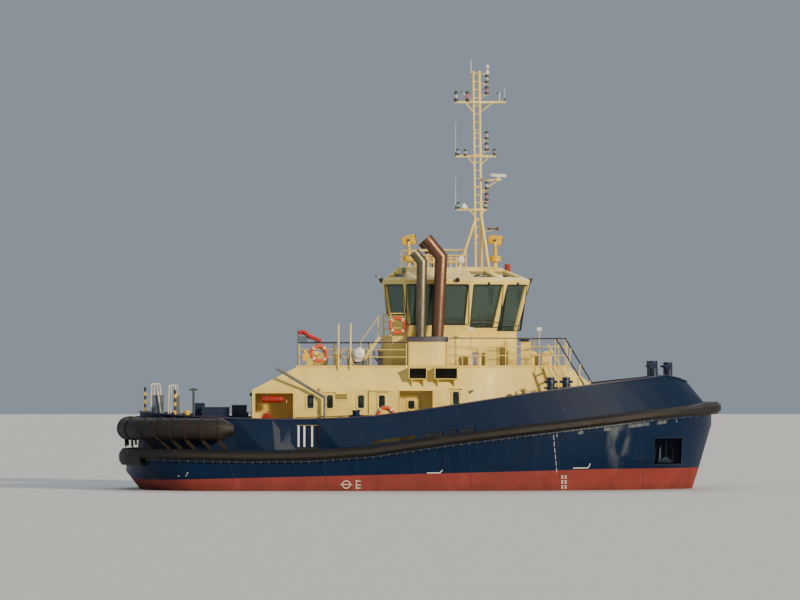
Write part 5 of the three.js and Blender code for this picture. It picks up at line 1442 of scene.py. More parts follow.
    def bay(self, side: Side) -> None:
        """Red cylinder and cabinet, hydrant and hose reel in the aft bay.

        Args:
            side: The side of the boat.
        """
        shape, hose = Shape(), Shape()
        s = side.value
        y = s * 3.55
        profile = [(0.0, 0.0), (0.09, 0.015), (0.135, 0.07), (0.14, 0.12), (0.14, 0.78), (0.135, 0.83),
                   (0.09, 0.885), (0.04, 0.9), (0.04, 0.95), (0.0, 0.955)]
        shape.lathe(profile, (-6.42, y, 3.66), AHEAD, Finish.RED, 20)
        for x in (-6.2, -5.75):
            shape.hoop((x, y, 3.66), PORTWARD, UPWARD, 0.147, 18, 0.012, Finish.GALVANISED)
            shape.box((x - 0.02, y - 0.02, 3.78), (x + 0.02, y + 0.02, 3.9), Finish.GALVANISED)
        shape.tube([(-5.48, y, 3.66), (-5.4, y, 3.62), (-5.38, y, 3.5)], 0.016, Finish.BRONZE, 8)
        shape.box((-6.1, s * 2.62, 1.9), (-5.5, s * 2.9, 2.75), Finish.RED)
        shape.lathe([(0.05, 0.0), (0.05, 0.9), (0.09, 0.92), (0.09, 0.98), (0.05, 1.0), (0.045, 1.25)],
                    (-5.32, s * 3.35, 1.66), UPWARD, Finish.GALVANISED, 16)
        shape.tube([(-5.32, s * 3.35, 2.6), (-5.32, s * 3.55, 2.66)], 0.04, Finish.BRONZE, 10)
        shape.lathe([(0.0, 0), (0.07, 0.0), (0.075, 0.012), (0.0, 0.02)], (-5.32, s * 3.35, 2.93), UPWARD,
                    Finish.RED, 14)
        for k in range(5):
            hose.lathe(
                [(0.11, 0), (0.17, 0.005), (0.185, 0.02), (0.17, 0.035), (0.11, 0.04)],
                (-6.2, s * (3.41 + 0.042 * k), 2.93), (0, s, 0), Finish.ROPE if k % 2 else Finish.HOSE, 28)
        for away in (3.38, 3.63):
            centre = Vector((-6.2, s * away, 2.93))
            shape.hoop(centre, AHEAD, UPWARD, 0.235, 28, 0.011, Finish.RED)
            for k in range(3):
                t = math.radians(60 * k)
                reach = Vector((math.cos(t), 0, math.sin(t))) * 0.235
                shape.tube([centre - reach, centre + reach], 0.009, Finish.RED, 6)
        shape.slab([(-6.4, s * 3.36, 2.3), (-6.0, s * 3.36, 2.3), (-6.17, s * 3.36, 2.95),
                    (-6.23, s * 3.36, 2.95)], (0, s * 0.01, 0), Finish.RED)
        shape.place(f"aft_bay_gear_{side.word}", slot="dark_paint", bevel=0.006)
        hose.place(f"fire_hose_on_reel_{side.word}", slot="dark_paint")

    def aft_wall(self) -> None:
        """Windows, grab rails and flood lamps of the aft wall."""
        frames, glass, trim = Shape(), Shape(), Shape()
        plane = WallPlane((-6.77, 0, 0), PORTWARD, (-1, 0, 0))
        for y in (-1.75, 1.35):
            plane.window(frames, glass, y, y + 0.42, 3.15, 3.62, True)
        for y in (-1.1, 1.0):
            trim.tube([plane.at(y, 0, 2.2), plane.at(y, 0.07, 2.25), plane.at(y, 0.07, 3.1),
                       plane.at(y, 0, 3.15)], 0.017, Finish.CREAM_TRIM, 8)
        for y in (-3.2, 0.0, 3.2):
            plane.block(trim, (y - 0.09, y + 0.09), (0, 0.1), (3.78, 3.9), Finish.DARK)
            plane.block(trim, (y - 0.07, y + 0.07), (0.1, 0.108), (3.79, 3.89), Finish.LENS)
        frames.place("aft_wall_window_frames", slot="cream_paint")
        glass.place("aft_wall_panes", slot="glass")
        trim.place("aft_wall_trim", slot="cream_paint", bevel=0.004)

    def fore_wall(self) -> None:
        """Windows in the forward obliques and the front wall, and the vents on the side decks."""
        frames, glass, vents = Shape(), Shape(), Shape()
        for side in Side:
            s = side.value
            a, b = Vector((5.0, s * 2.56, 0)), Vector((6.4, s * 1.98, 0))
            right = (b - a).normalized()
            out = Vector((-right.y * -s, right.x * -s, 0))
            out = out if out.y * s > 0 else -out
            plane = WallPlane(tuple(a), tuple(right), tuple(out))
            plane.window(frames, glass, 0.3, 0.62, 3.35, 3.8, True)
            for x, y in ((3.94, 3.42), (4.34, 3.3)):
                vents.lathe([(0.06, 0.0), (0.06, 1.28), (0.13, 1.26), (0.15, 1.33), (0.12, 1.4),
                             (0.05, 1.44), (0.0, 1.445)], (x, s * y, 2.58), UPWARD, Finish.CREAM_TRIM, 18)
        front = WallPlane((7.25, 0, 0), PORTWARD, AHEAD)
        for y in (-0.75, 0.35):
            front.window(frames, glass, y, y + 0.4, 3.4, 3.82, True)
        frames.place("fore_wall_window_frames", slot="cream_paint")
        glass.place("fore_wall_panes", slot="glass")
        vents.place("side_deck_mushroom_vents", slot="cream_paint")


def lantern(shape: Shape, foot: Point, radius: float, height: float, lens: Finish,
            body: Finish = Finish.DARK) -> None:
    """A navigation lamp: base, lens and lid.

    Args:
        shape: The piece it joins.
        foot: Centre of its base.
        radius: Its radius.
        height: Its height.
        lens: Finish of the lens.
        body: Finish of base and lid.
    """
    base, top = height * 0.3, height * 0.72
    shape.lathe([(radius * 0.5, -0.02), (radius, 0), (radius, base), (radius * 0.86, base)], foot, UPWARD,
                body, 18)
    shape.lathe([(radius * 0.84, base), (radius * 0.9, (base + top) / 2), (radius * 0.84, top)], foot,
                UPWARD, lens, 18)
    shape.lathe([(radius * 1.02, top), (radius, height * 0.85), (radius * 0.55, height), (0, height * 1.01)],
                foot, UPWARD, body, 18)


def whip(shape: Shape, foot: Point, top: Point, thick: float = 0.011) -> None:
    """A whip aerial on its spring base.

    Args:
        shape: The piece it joins.
        foot: Its foot.
        top: Its tip.
        thick: Radius at the foot.
    """
    a, b = Vector(foot), Vector(top)
    along = b - a
    shape.lathe([(0.028, 0), (0.028, 0.05), (0.018, 0.07), (0.018, 0.13), (0.012, 0.15)], a, along,
                Finish.BLACK, 12)
    shape.tube([a.lerp(b, t) for t in (0.05, 0.4, 0.75, 1.0)],
               [thick, thick * 0.8, thick * 0.6, thick * 0.5], Finish.PLASTIC, 8)


@dataclass
class MastGear:
    """Rungs, lamps, aerials, cable and sensors of the mast."""

    # X of the aft and the fore upright at foot and head, and the heights of foot and head
    aft: Pair = (2.33, 2.23)
    fore: Pair = (2.57, 2.48)
    foot: float = 9.0
    head: float = 17.05

    def post(self, ends: Pair, z: float) -> float:
        """Where an upright stands at a height."""
        share = (z - self.foot) / (self.head - self.foot)
        return ends[0] + (ends[1] - ends[0]) * share

    def build(self) -> None:
        """Builds the gear."""
        rungs = Shape()
        for k in range(23):
            z = 9.35 + 0.33 * k
            rungs.tube([(self.post(self.aft, z), 0, z), (self.post(self.fore, z), 0, z)], 0.019, Finish.MAST,
                       8)
        for z in (11.38, 13.56, 15.77):
            x0, x1 = self.post(self.aft, z), self.post(self.fore, z)
            rungs.box((x0 - 0.07, -0.09, z - 0.04), (x1 + 0.07, 0.09, z - 0.015), Finish.MAST)
            for x in (x0 - 0.05, x1 + 0.05):
                bolt(rungs, (x, 0.06, z - 0.015), UPWARD, 0.014, 0.012, Finish.GALVANISED)
        for k in range(8):
            z = 9.8 + 0.95 * k
            rungs.tube(arc((self.post(self.fore, z) + 0.03, 0.06, z), PORTWARD, UPWARD, 0.03, 0, 300, 8),
                       0.005, Finish.STAINLESS, 5)
        heights = [9.1 + 0.4 * k for k in range(19)]
        run = [(self.post(self.fore, z) + 0.03 + 0.008 * math.sin(z * 3), 0.065, z) for z in heights]
        rungs.tube(run, 0.022, Finish.BLACK, 6)
        rungs.tube([(x - 0.012, y + 0.035, z) for x, y, z in run], 0.012, Finish.BLACK, 6)
        rungs.place("mast_rungs_and_cables", slot="mast_paint")
        self.lamps()
        self.aerials()

    def lamps(self) -> None:
        """Lamp stacks on brackets ahead of the mast and at the arm tips."""
        shape = Shape()
        for z, low, high in ((16.55, Finish.RED_LENS, Finish.LENS), (14.25, Finish.LENS, Finish.LENS),
                             (12.2, Finish.RED_LENS, Finish.LENS)):
            x = 2.78
            post = self.post(self.fore, z)
            for step, lens in ((0.0, high), (-0.46, low)):
                at = z + step
                shape.box((post - 0.02, -0.045, at - 0.03), (x + 0.1, 0.045, at - 0.012), Finish.MAST)
                shape.tube([(post, 0, at - 0.2), (x - 0.02, 0, at - 0.03)], 0.012, Finish.MAST, 6)
                lantern(shape, (x, 0, at), 0.085, 0.33, lens)
        for x, y, z, lens in (
            (1.53, 0, 15.8, Finish.LENS), (1.6, 0, 13.6, Finish.LENS), (3.1, 0, 13.6, Finish.RED_LENS),
            (1.9, 0, 13.58, Finish.LENS), (1.62, 0, 11.42, Finish.GREEN_LENS), (2.74, 0, 11.42, Finish.LENS),
            (2.0, 0, 15.8, Finish.RED_LENS)):
            lantern(shape, (x, y, z), 0.07 if z < 15 else 0.085, 0.27 if z < 15 else 0.42, lens)
        lantern(shape, (2.8, 0, 16.95), 0.08, 0.34, Finish.LENS, Finish.PLASTIC)
        shape.box((self.post(self.fore, 16.93) - 0.02, -0.04, 16.92), (2.86, 0.04, 16.945), Finish.MAST)
        shape.place("mast_lamps", slot="lamp_paint")

    def aerials(self) -> None:
        """Whips, a wind sensor, a dome and a horn."""
        shape = Shape()
        whip(shape, (2.14, 0, 16.85), (2.14, 0, 17.52), 0.02)
        shape.box((2.1, -0.03, 16.83), (2.3, 0.03, 16.85), Finish.MAST)
        whip(shape, (1.51, 0, 13.58), (1.51, 0, 14.95))
        whip(shape, (1.51, 0, 11.4), (1.51, 0, 12.72))
        whip(shape, (1.74, 0, 16.2), (2.19, 0, 15.82), 0.02)
        whip(shape, (3.52, 0, 15.8), (3.52, 0, 16.35))
        shape.lathe([(0.02, 0), (0.02, 0.3), (0.05, 0.31), (0.05, 0.36), (0.02, 0.38)], (3.3, 0, 15.8),
                    UPWARD, Finish.PLASTIC, 14)
        for angle in (20, 140, 260):
            t = math.radians(angle)
            end = Vector((3.3 + 0.1 * math.cos(t), 0.1 * math.sin(t), 16.14))
            shape.tube([(3.3, 0, 16.14), end], 0.005, Finish.BLACK, 6)
            shape.lathe([(0.0, 0), (0.03, 0.005), (0.034, 0.02)], end, (-math.sin(t), math.cos(t), 0),
                        Finish.BLACK, 10)
        shape.lathe([(0.1, 0), (0.14, 0.03), (0.14, 0.1), (0.1, 0.19), (0.04, 0.23), (0, 0.235)],
                    (1.85, 0.0, 11.4), UPWARD, Finish.PLASTIC, 20)
        horn = (2.9, 0.0, 10.6)
        shape.box((self.post(self.fore, 10.55) - 0.02, -0.03, 10.5), (3.0, 0.03, 10.52), Finish.MAST)
        shape.lathe([(0.05, -0.1), (0.05, 0.02), (0.025, 0.04), (0.03, 0.2), (0.06, 0.3), (0.11, 0.36),
                     (0.105, 0.36), (0.05, 0.29)], horn, AHEAD, Finish.BRONZE, 20)
        shape.place("mast_aerials_and_horn", slot="mast_paint")


@dataclass
class RoofGear:
    """Posts, low rails, dome, lamps, camera and searchlight heads on the wheelhouse roof."""

    top: float = 9.0

    def build(self) -> None:
        """Builds the gear."""
        shape = Shape()
        for x, y in ((-0.05, 0.9), (0.35, 1.25), (0.35, -1.25), (0.85, -1.1), (1.1, 1.1), (1.5, -1.25),
                     (1.75, 0.85), (0.62, 0.35), (1.3, -0.45)):
            tall = 0.45 + 0.12 * (x % 0.5)
            shape.lathe([(0.06, -0.02), (0.06, 0.015), (0.028, 0.02), (0.028, tall), (0.05, tall + 0.005),
                         (0.05, tall + 0.05), (0.03, tall + 0.07), (0, tall + 0.075)], (x, y, self.top),
                        UPWARD, Finish.MAST, 14)
        for y in (-1.25, 1.25):
            shape.tube([(0.35, y, 9.38), (1.5, y, 9.38)], 0.018, Finish.MAST, 8)
            shape.tube([(0.35, y, 9.2), (1.5, y, 9.2)], 0.018, Finish.MAST, 8)
        shape.lathe([(0.05, 0), (0.05, 0.18), (0.15, 0.19), (0.17, 0.26), (0.16, 0.36), (0.1, 0.45),
                     (0.03, 0.48), (0, 0.482)], (1.7, -0.55, self.top), UPWARD, Finish.PLASTIC, 24)
        shape.lathe([(0.05, 0), (0.05, 0.12), (0.24, 0.13), (0.27, 0.22), (0.26, 0.4), (0.17, 0.55),
                     (0.06, 0.61), (0, 0.615)], (0.9, 0.55, self.top), UPWARD, Finish.PLASTIC, 28)
        shape.lathe([(0.05, 0), (0.12, 0.01), (0.125, 0.1), (0.12, 0.3), (0.06, 0.33), (0, 0.335)],
                    (3.62, -0.3, 8.84), UPWARD, Finish.HOSE, 18)
        shape.place("roof_posts_and_domes", slot="mast_paint", bevel=0.004)
        for name, x in (("aft", -0.4), ("forward", 3.13)):
            self.head(name, x)
        self.edge()

    def head(self, name: str, x: float) -> None:
        """A searchlight head on its yoke, tilted down.

        Args:
            name: Which one.
            x: Where it stands.
        """
        shape = Shape()
        shape.lathe([(0.17, 9.0), (0.17, 9.03), (0.1, 9.05), (0.075, 9.1), (0.075, 9.24)], (x, 0, 0), UPWARD,
                    Finish.MAST, 20)
        shape.lathe([(0.2, 9.24), (0.235, 9.27), (0.235, 9.45), (0.2, 9.49), (0.09, 9.5), (0.07, 9.86)],
                    (x, 0, 0), UPWARD, Finish.LAMP_HOUSE, 24)
        for y in (-0.235, 0.235):
            shape.box((x - 0.04, y, 9.86), (x + 0.04, y * 1.08, 10.2), Finish.MAST)
            shape.lathe([(0.05, 0), (0.05, 0.03), (0.02, 0.04)], (x, y * 1.08, 10.13), (0, y, 0),
                        Finish.DARK, 16)
        shape.box((x - 0.05, -0.25, 9.84), (x + 0.05, 0.25, 9.87), Finish.MAST)
        since = len(shape.bm.verts)
        rings = []
        for along, size in ((-0.3, 0.13), (-0.28, 0.16), (-0.1, 0.2), (0.24, 0.215), (0.27, 0.215)):
            outline = rounded(-size, size, -size, size, 0.06)
            rings.append([(x + along, across, 10.13 + high) for across, high in outline])
        shape.loft(rings, Finish.LAMP_HOUSE)
        shape.lathe([(0.2, 0.25), (0.21, 0.29), (0.19, 0.3), (0.185, 0.28)], (x, 0, 10.13), AHEAD,
                    Finish.DARK, 32)
        shape.lathe([(0.186, 0.27), (0.1, 0.285), (0.0, 0.29)], (x, 0, 10.13), AHEAD, Finish.LENS, 32)
        for z in (-0.1, 0.0, 0.1):
            shape.box((x + 0.296, -0.17, 10.126 + z), (x + 0.302, 0.17, 10.134 + z), Finish.STAINLESS)
        for k in range(6):
            at = x - 0.22 + 0.055 * k
            shape.box((at, -0.18, 10.13), (at + 0.012, 0.18, 10.355), Finish.LAMP_HOUSE)
        shape.turn((x, 0, 10.13), PORTWARD, -12 if name == "aft" else 8, since)
        piece = shape.place(f"searchlight_head_{name}", slot="lamp_paint", bevel=0.005)
        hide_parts(f"searchlight_{name}")

    def edge(self) -> None:
        """Lamps and a camera under the eaves, and the side lights on their screens."""
        shape = Shape()
        for x, y, way in (
            (1.0, -2.38, (0, -1, -0.6)), (1.53, -2.38, (0, -1, -0.6)), (1.0, 2.38, (0, 1, -0.6)),
            (1.53, 2.38, (0, 1, -0.6)), (-1.52, 0.9, (-1, 0, -0.6)), (-1.52, -0.9, (-1, 0, -0.6)),
            (4.55, 0.4, (1, 0, -0.5)), (4.55, -0.4, (1, 0, -0.5))):
            ahead = Vector(way).normalized()
            foot = Vector((x, y, 8.5))
            shape.tube([foot - ahead * 0.02 + Vector((0, 0, 0.1)), foot], 0.018, Finish.MAST, 8)
            shape.lathe([(0.05, -0.08), (0.085, -0.02), (0.095, 0.06), (0.1, 0.07), (0.08, 0.07)], foot,
                        ahead, Finish.DARK, 18)
            shape.lathe([(0.08, 0.055), (0.0, 0.062)], foot, ahead, Finish.LENS, 18)
        for y, s, lens in ((2.36, 1, Finish.RED_LENS), (-2.36, -1, Finish.GREEN_LENS)):
            shape.box((-0.95, y - s * 0.46, 8.74), (-0.55, y - s * 0.3, 8.77), Finish.MAST)
            shape.box((-0.95, y - s * 0.46, 8.77), (-0.55, y - s * 0.44, 8.98), Finish.MAST)
            lantern(shape, (-0.66, y - s * 0.37, 8.77), 0.06, 0.19, lens)
        shape.box((-1.72, -0.5, 8.62), (-1.5, -0.38, 8.74), Finish.PLASTIC)
        shape.lathe([(0.05, 0), (0.055, 0.02), (0.05, 0.05)], (-1.72, -0.44, 8.68), (-1, 0, -0.3),
                    Finish.BLACK, 16)
        shape.place("roof_edge_lamps", slot="dark_paint", bevel=0.004)


@dataclass
class WheelhouseGear:
    """Gaskets and wipers of the big windows, the door's gear, and the furniture seen through the glass."""

    # Corners of the eaves, then for each flat how far it leans out and how far its panes pass the sill
    eaves: tuple[Pair, ...] = ((-1.49, -1.33), (-0.64, -2.33), (2.1, -2.33), (3.52, -1.56), (4.51, -0.7),
                               (4.51, 0.7), (3.52, 1.56), (2.1, 2.33), (-0.64, 2.33), (-1.49, 1.33))
    rakes: tuple[float, ...] = (0.33, 0.35, 0.4, 0.47, 0.56, 0.47, 0.4, 0.35, 0.33)
    drops: tuple[float, ...] = (-0.41, 0.0, 0.117, 0.26, 0.26, 0.26, 0.117, 0.0, -0.41)
    # Flats with two panes, and the heights of eave, window sill and floor
    doubles: tuple[int, ...] = (1, 7)
    eave: float = 8.43
    sill: float = 6.67
    floor: float = 6.2

    def flat(self, k: int) -> tuple[WallPlane, float]:
        """The raked plane of a flat of the wheelhouse, from its eave down.

        Args:
            k: Which flat.

        Returns:
            The plane, whose up points up the flat, and the flat's width at the eave.
        """
        a, b = [Vector((*corner, self.eave)) for corner in self.eaves[k:k + 2]]
        right = (b - a).normalized()
        out = right.cross(Vector(UPWARD))
        rake = self.rakes[k]
        up = Vector((out.x * rake, out.y * rake, self.eave - self.floor)).normalized()
        normal = right.cross(up)
        return WallPlane(tuple(a), tuple(right), tuple(normal), tuple(up)), (b - a).length

    @staticmethod
    def door_gear() -> None:
        """Builds the window, lever, pull and kick plate of the raked wheelhouse door."""
        rake = 0.1617
        size = math.hypot(1, rake)
        plane = WallPlane(
            (-1.141, 0.0, 6.3), PORTWARD, (-1 / size, 0, -rake / size), (-rake / size, 0, 1 / size))
        leaf, glass = Shape(), Shape()
        plane.rim(leaf, rounded(-0.24, 0.24, 0.84, 1.63, 0.06), rounded(-0.175, 0.175, 0.905, 1.565, 0.05),
                  -0.012, 0.014, Finish.SEAL)
        plane.pane(glass, rounded(-0.192, 0.192, 0.888, 1.582, 0.02), -0.032, -0.02, Finish.PORTLIGHT)
        plane.pane(leaf, rounded(-0.3, 0.3, 0.05, 0.3, 0.02), -0.002, 0.004, Finish.GALVANISED)
        leaf.lathe([(0.03, 0), (0.03, 0.01), (0.016, 0.015), (0.013, 0.04)], plane.at(0.28, 0, 0.72),
                   plane.out, Finish.STAINLESS, 16)
        leaf.tube([plane.at(0.28, 0.034, 0.72), plane.at(0.22, 0.04, 0.72), plane.at(0.16, 0.036, 0.715)],
                  0.011, Finish.STAINLESS, 8)
        leaf.tube(
            smooth_path([plane.at(-0.27, 0, 1.3), plane.at(-0.27, 0.05, 1.28), plane.at(-0.27, 0.05, 1.02),
                         plane.at(-0.27, 0, 1.0)], 4), 0.011, Finish.STAINLESS, 8)
        leaf.place("bridge_door_gear", "wheelhouse_door", "cream_paint")
        glass.place("bridge_door_glass", "wheelhouse_door", "glass")

    @staticmethod
    def access_cover() -> None:
        """Builds the bolted cover over the low opening in the storey under the wheelhouse."""
        plane = WallPlane((-1.49, 0.0, 5.08), (0, -1, 0), (-1, 0, 0))
        cover = Shape()
        outer = rounded(-0.385, 0.385, -0.045, 1.045, 0.09)
        inner = rounded(-0.31, 0.31, 0.03, 0.97, 0.07)
        plane.pane(cover, outer, 0.002, 0.014, Finish.CREAM_TRIM)
        plane.pane(cover, inner, 0.002, 0.03, Finish.CREAM_TRIM)
        for k in range(len(outer)):
            x, z = [(a + b) / 2 for a, b in zip(outer[k], inner[k])]
            bolt(cover, plane.at(x, 0.014, z), plane.out, 0.012, 0.01, Finish.GALVANISED)
        for x in (-0.2, 0.2):
            cover.tube([plane.at(x, 0.025, 0.42), plane.at(x, 0.07, 0.44), plane.at(x, 0.07, 0.58),
                        plane.at(x, 0.025, 0.6)], 0.009, Finish.STAINLESS, 8)
        cover.place("trunk_access_cover", slot="cream_paint", bevel=0.003)

    def build(self) -> None:
        """Builds the access cover, door gear, gaskets, wipers and grab bars, then what is inside."""
        self.access_cover()
        self.door_gear()
        seals, arms = Shape(), Shape()
        for k in range(len(self.rakes)):
            plane, width = self.flat(k)
            low, high = -(self.eave - self.sill) - self.drops[k] - 0.02, -0.14
            shrink = 0.11
            panes = 2 if k in self.doubles else 1
            step = (width - 2 * shrink) / panes
            for j in range(panes):
                x0 = shrink + step * j + (0.05 if j else 0)
                x1 = shrink + step * (j + 1) - (0.05 if panes == 2 and not j else 0)
                outer = rounded(x0 - 0.02, x1 + 0.02, low - 0.02, high + 0.02, 0.08)
                inner = rounded(x0 + 0.015, x1 - 0.015, low + 0.015, high - 0.015, 0.06)
                plane.rim(seals, outer, inner, -0.03, 0.012, Finish.SEAL)
            if 2 <= k <= 6:
                middle = width / 2
                arms.lathe([(0.045, 0), (0.045, 0.05), (0.02, 0.07)], plane.at(middle, 0.0, high + 0.07),
                           plane.out, Finish.DARK, 14)
                arms.tube([plane.at(middle, 0.05, high + 0.07), plane.at(middle + 0.12, 0.05, high - 0.25),
                           plane.at(middle + 0.2, 0.03, high - 0.5)], 0.011, Finish.BLACK, 6)
                arms.tube([plane.at(middle + 0.2, 0.025, high - 0.12),
                           plane.at(middle + 0.2, 0.025, high - 0.85)], 0.012, Finish.BLACK, 6)
                arms.tube([plane.at(0.14, 0.045, low + 0.22), plane.at(width - 0.14, 0.045, low + 0.22)],
                          0.014, Finish.STAINLESS, 8)
        seals.place("wheelhouse_window_gaskets", slot="rubber")
        arms.place("window_wipers_and_grab_bars", slot="dark_paint")
        self.inside()

    def inside(self) -> None:
        """Screens, levers, cabinets, a ceiling panel and a curtain behind the glass."""
        shape = Shape()
        for y in (-0.42, 0.0, 0.42):
            shape.slab([(2.42, y - 0.17, 7.06), (2.42, y + 0.17, 7.06), (2.54, y + 0.17, 7.34),
                        (2.54, y - 0.17, 7.34)], (0.04, 0, -0.016), Finish.BLACK)
            shape.slab([(2.414, y - 0.15, 7.075), (2.414, y + 0.15, 7.075), (2.528, y + 0.15, 7.33),
                        (2.528, y - 0.15, 7.33)], (0.008, 0, -0.003), Finish.SCREEN)
        for y in (-1.05, 1.05):
            for x in (2.4, 2.8):
                shape.lathe([(0.07, 0), (0.06, 0.05), (0.02, 0.07), (0.014, 0.16), (0.03, 0.17),
                             (0.034, 0.2), (0, 0.21)], (x, y, 6.96), UPWARD, Finish.BLACK, 14)
        shape.tube([(3.1, -1.2, 7.0), (3.1, -1.2, 7.35), (3.0, -1.2, 7.4)], 0.012, Finish.BLACK, 8)
        shape.box((-0.62, -1.2, 6.22), (-0.2, -0.55, 7.1), Finish.PLASTIC)
        shape.box((-0.66, 0.55, 6.22), (-0.2, 1.35, 7.05), Finish.PLASTIC)
        for k in range(6):
            shape.tube([(-0.5 + 0.03 * k, 1.6, 8.2), (-0.5 + 0.03 * k, 1.62, 6.9)], 0.02, Finish.FLAG, 6)
        shape.box((0.1, -0.9, 8.3), (1.9, 0.9, 8.36), Finish.PLASTIC)
        shape.place("wheelhouse_inside", slot="dark_paint", bevel=0.004)


@dataclass
class Gates:
    """White bars, ribs, latches and hinge pins of the boarding gates."""

    def build(self) -> None:
        """Dresses the gate of each side."""
        for side in Side:
            s = side.value
            shape = Shape()
            shape.box((-4.94, s * 4.899, 1.73), (-4.12, s * 4.906, 2.6), Finish.BULWARK)
            face, inner = s * 4.932, s * 4.898
            for x in (-4.94, -4.71, -4.4):
                shape.box((x, face, 1.76), (x + 0.07, face + s * 0.012, 2.6), Finish.WHITE)
            for z in (1.9, 2.42):
                shape.box((-4.9, inner, z), (-4.16, inner - s * 0.03, z + 0.05), Finish.BULWARK)
            shape.tube([(-4.22, inner - s * 0.01, 2.2), (-4.22, inner - s * 0.05, 2.22),
                        (-4.22, inner - s * 0.05, 2.34), (-4.22, inner - s * 0.01, 2.36)], 0.011,
                       Finish.STAINLESS, 8)
            shape.place(f"gate_bars_{side.word}", f"{side.word}_gate", "hull_paint", 0.003)
            hinge = Shape()
            for z in (1.95, 2.4):
                hinge.lathe([(0.018, -0.1), (0.02, -0.09), (0.02, 0.09), (0.018, 0.1)],
                            (-4.954, s * 4.854, z), UPWARD, Finish.GALVANISED, 12)
            hinge.place(f"gate_hinge_pins_{side.word}", slot="galvanised")


@dataclass
class Lifebuoys:
    """Lifebuoys with pale bands and grab lines: three on rails and one on each side wall."""

    # Name, centre, facing, and the CAD node that the buoy replaces or nothing
    places: tuple[tuple[str, Triple, Triple, str], ...] = (
        ("aft_rail", (-4.08, -3.23, 5.5), (0, -1, 0), "lifebuoy_aft_rail"),
        ("bridge_rail", (-0.9, -2.39, 6.64), (0, -1, 0), "lifebuoy_bridge_rail"),
        ("wall_starboard", (-1.39, -3.8, 3.02), (0, -1, 0), ""),
        ("wall_port", (-1.39, 3.8, 3.02), PORTWARD, ""), ("aft_rail_port", (-4.08, 3.23, 5.5), PORTWARD, ""))

    def build(self) -> None:
        """Builds every buoy."""
        for name, centre, out, node in self.places:
            self.buoy(name, Vector(centre), Vector(out), node)

    def buoy(self, name: str, centre: Vector, out: Vector, node: str) -> None:
        """One lifebuoy.

        Args:
            name: Its name.
            centre: Its centre.
            out: The way it faces.
            node: The CAD node that it replaces, or nothing.
        """
        shape = Shape()
        across, up = Vector(AHEAD), Vector(UPWARD)
        big, small = 0.3, 0.07
        if node:
            low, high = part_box(node)
            centre = (Vector(low) + Vector(high)) / 2
        for quarter in range(4):
            for start, end, finish, grow in ((4, 86, Finish.ORANGE, 0.0), (-6, 6, Finish.REFLECTIVE, 0.004)):
                rings = []
                steps = 8 if end > 10 else 3
                for k in range(steps + 1):
                    t = math.radians(quarter * 90 + 45 + start + (end - start) * k / steps)
                    radial = across * math.cos(t) + up * math.sin(t)
                    spot = centre + radial * big
                    rings.append([spot + (radial * math.cos(a) + out * math.sin(a) * 0.85) * (small + grow)
                                  for a in [2 * math.pi * j / 14 for j in range(14)]])
                shape.loft(rings, finish)
        line = []
        for quarter in range(4):
            for k in range(8):
                t = math.radians(quarter * 90 + 45 + 90 * k / 8)
                reach = big + small + 0.012 + 0.022 * math.sin(math.pi * k / 8)
                line.append(centre + (across * math.cos(t) + up * math.sin(t)) * reach)
        shape.tube(line, 0.007, Finish.ROPE, 6, closed=True)
        if not node:
            for x in (-0.16, 0.16):
                foot = centre + across * x - out * 0.06
                shape.tube([foot - up * 0.26, foot - up * 0.34, foot - up * 0.36 + out * 0.12,
                            foot - up * 0.3 + out * 0.15], 0.012, Finish.CREAM_TRIM, 6)
        piece = shape.place(f"lifebuoy_{name}_dressed", slot="lifebuoy")
        if node:
            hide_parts(node)


@dataclass
class Liferaft:
    """Canister with ribs, straps and cradle."""

    # X and z of the canister's axis
    centre: Pair = (-2.52, 5.42)
    radius: float = 0.285

    def build(self) -> None:
        """Builds the canister and its cradle on the starboard side."""
        x, z = self.centre
        r = self.radius
        shape = Shape()
        profile = [(0.0, -3.02), (r * 0.55, -3.015), (r * 0.88, -2.98), (r, -2.9), (r, -2.72),
                   (r * 1.035, -2.71), (r * 1.035, -2.66), (r, -2.65), (r, -2.62), (r * 1.05, -2.615),
                   (r * 1.05, -2.585), (r, -2.58), (r, -2.55), (r * 1.035, -2.54), (r * 1.035, -2.49),
                   (r, -2.48), (r, -2.3), (r * 0.88, -2.22), (r * 0.55, -2.185), (0.0, -2.18)]
        shape.lathe(profile, (x, 0, z), PORTWARD, Finish.PLASTIC, 32)
        for y in (-2.8, -2.4):
            shape.hoop((x, y, z), AHEAD, UPWARD, r + 0.008, 30, 0.012, Finish.BLACK)
            shape.slab([(x - 0.3, y, 5.02), (x + 0.3, y, 5.02), (x + 0.26, y, 5.3), (x + 0.12, y, 5.16),
                        (x - 0.12, y, 5.16), (x - 0.26, y, 5.3)], (0, 0.05, 0), Finish.GALVANISED)
        shape.tube([(x + r * 0.6, -2.6, z + r * 0.82), (x + 0.2, -2.6, z + 0.3), (x + 0.1, -2.6, z + r)],
                   0.012, Finish.STAINLESS, 8)
        piece = shape.place("liferaft_canister_ribbed", slot="white_paint", bevel=0.004)
        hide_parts("liferaft_canister")


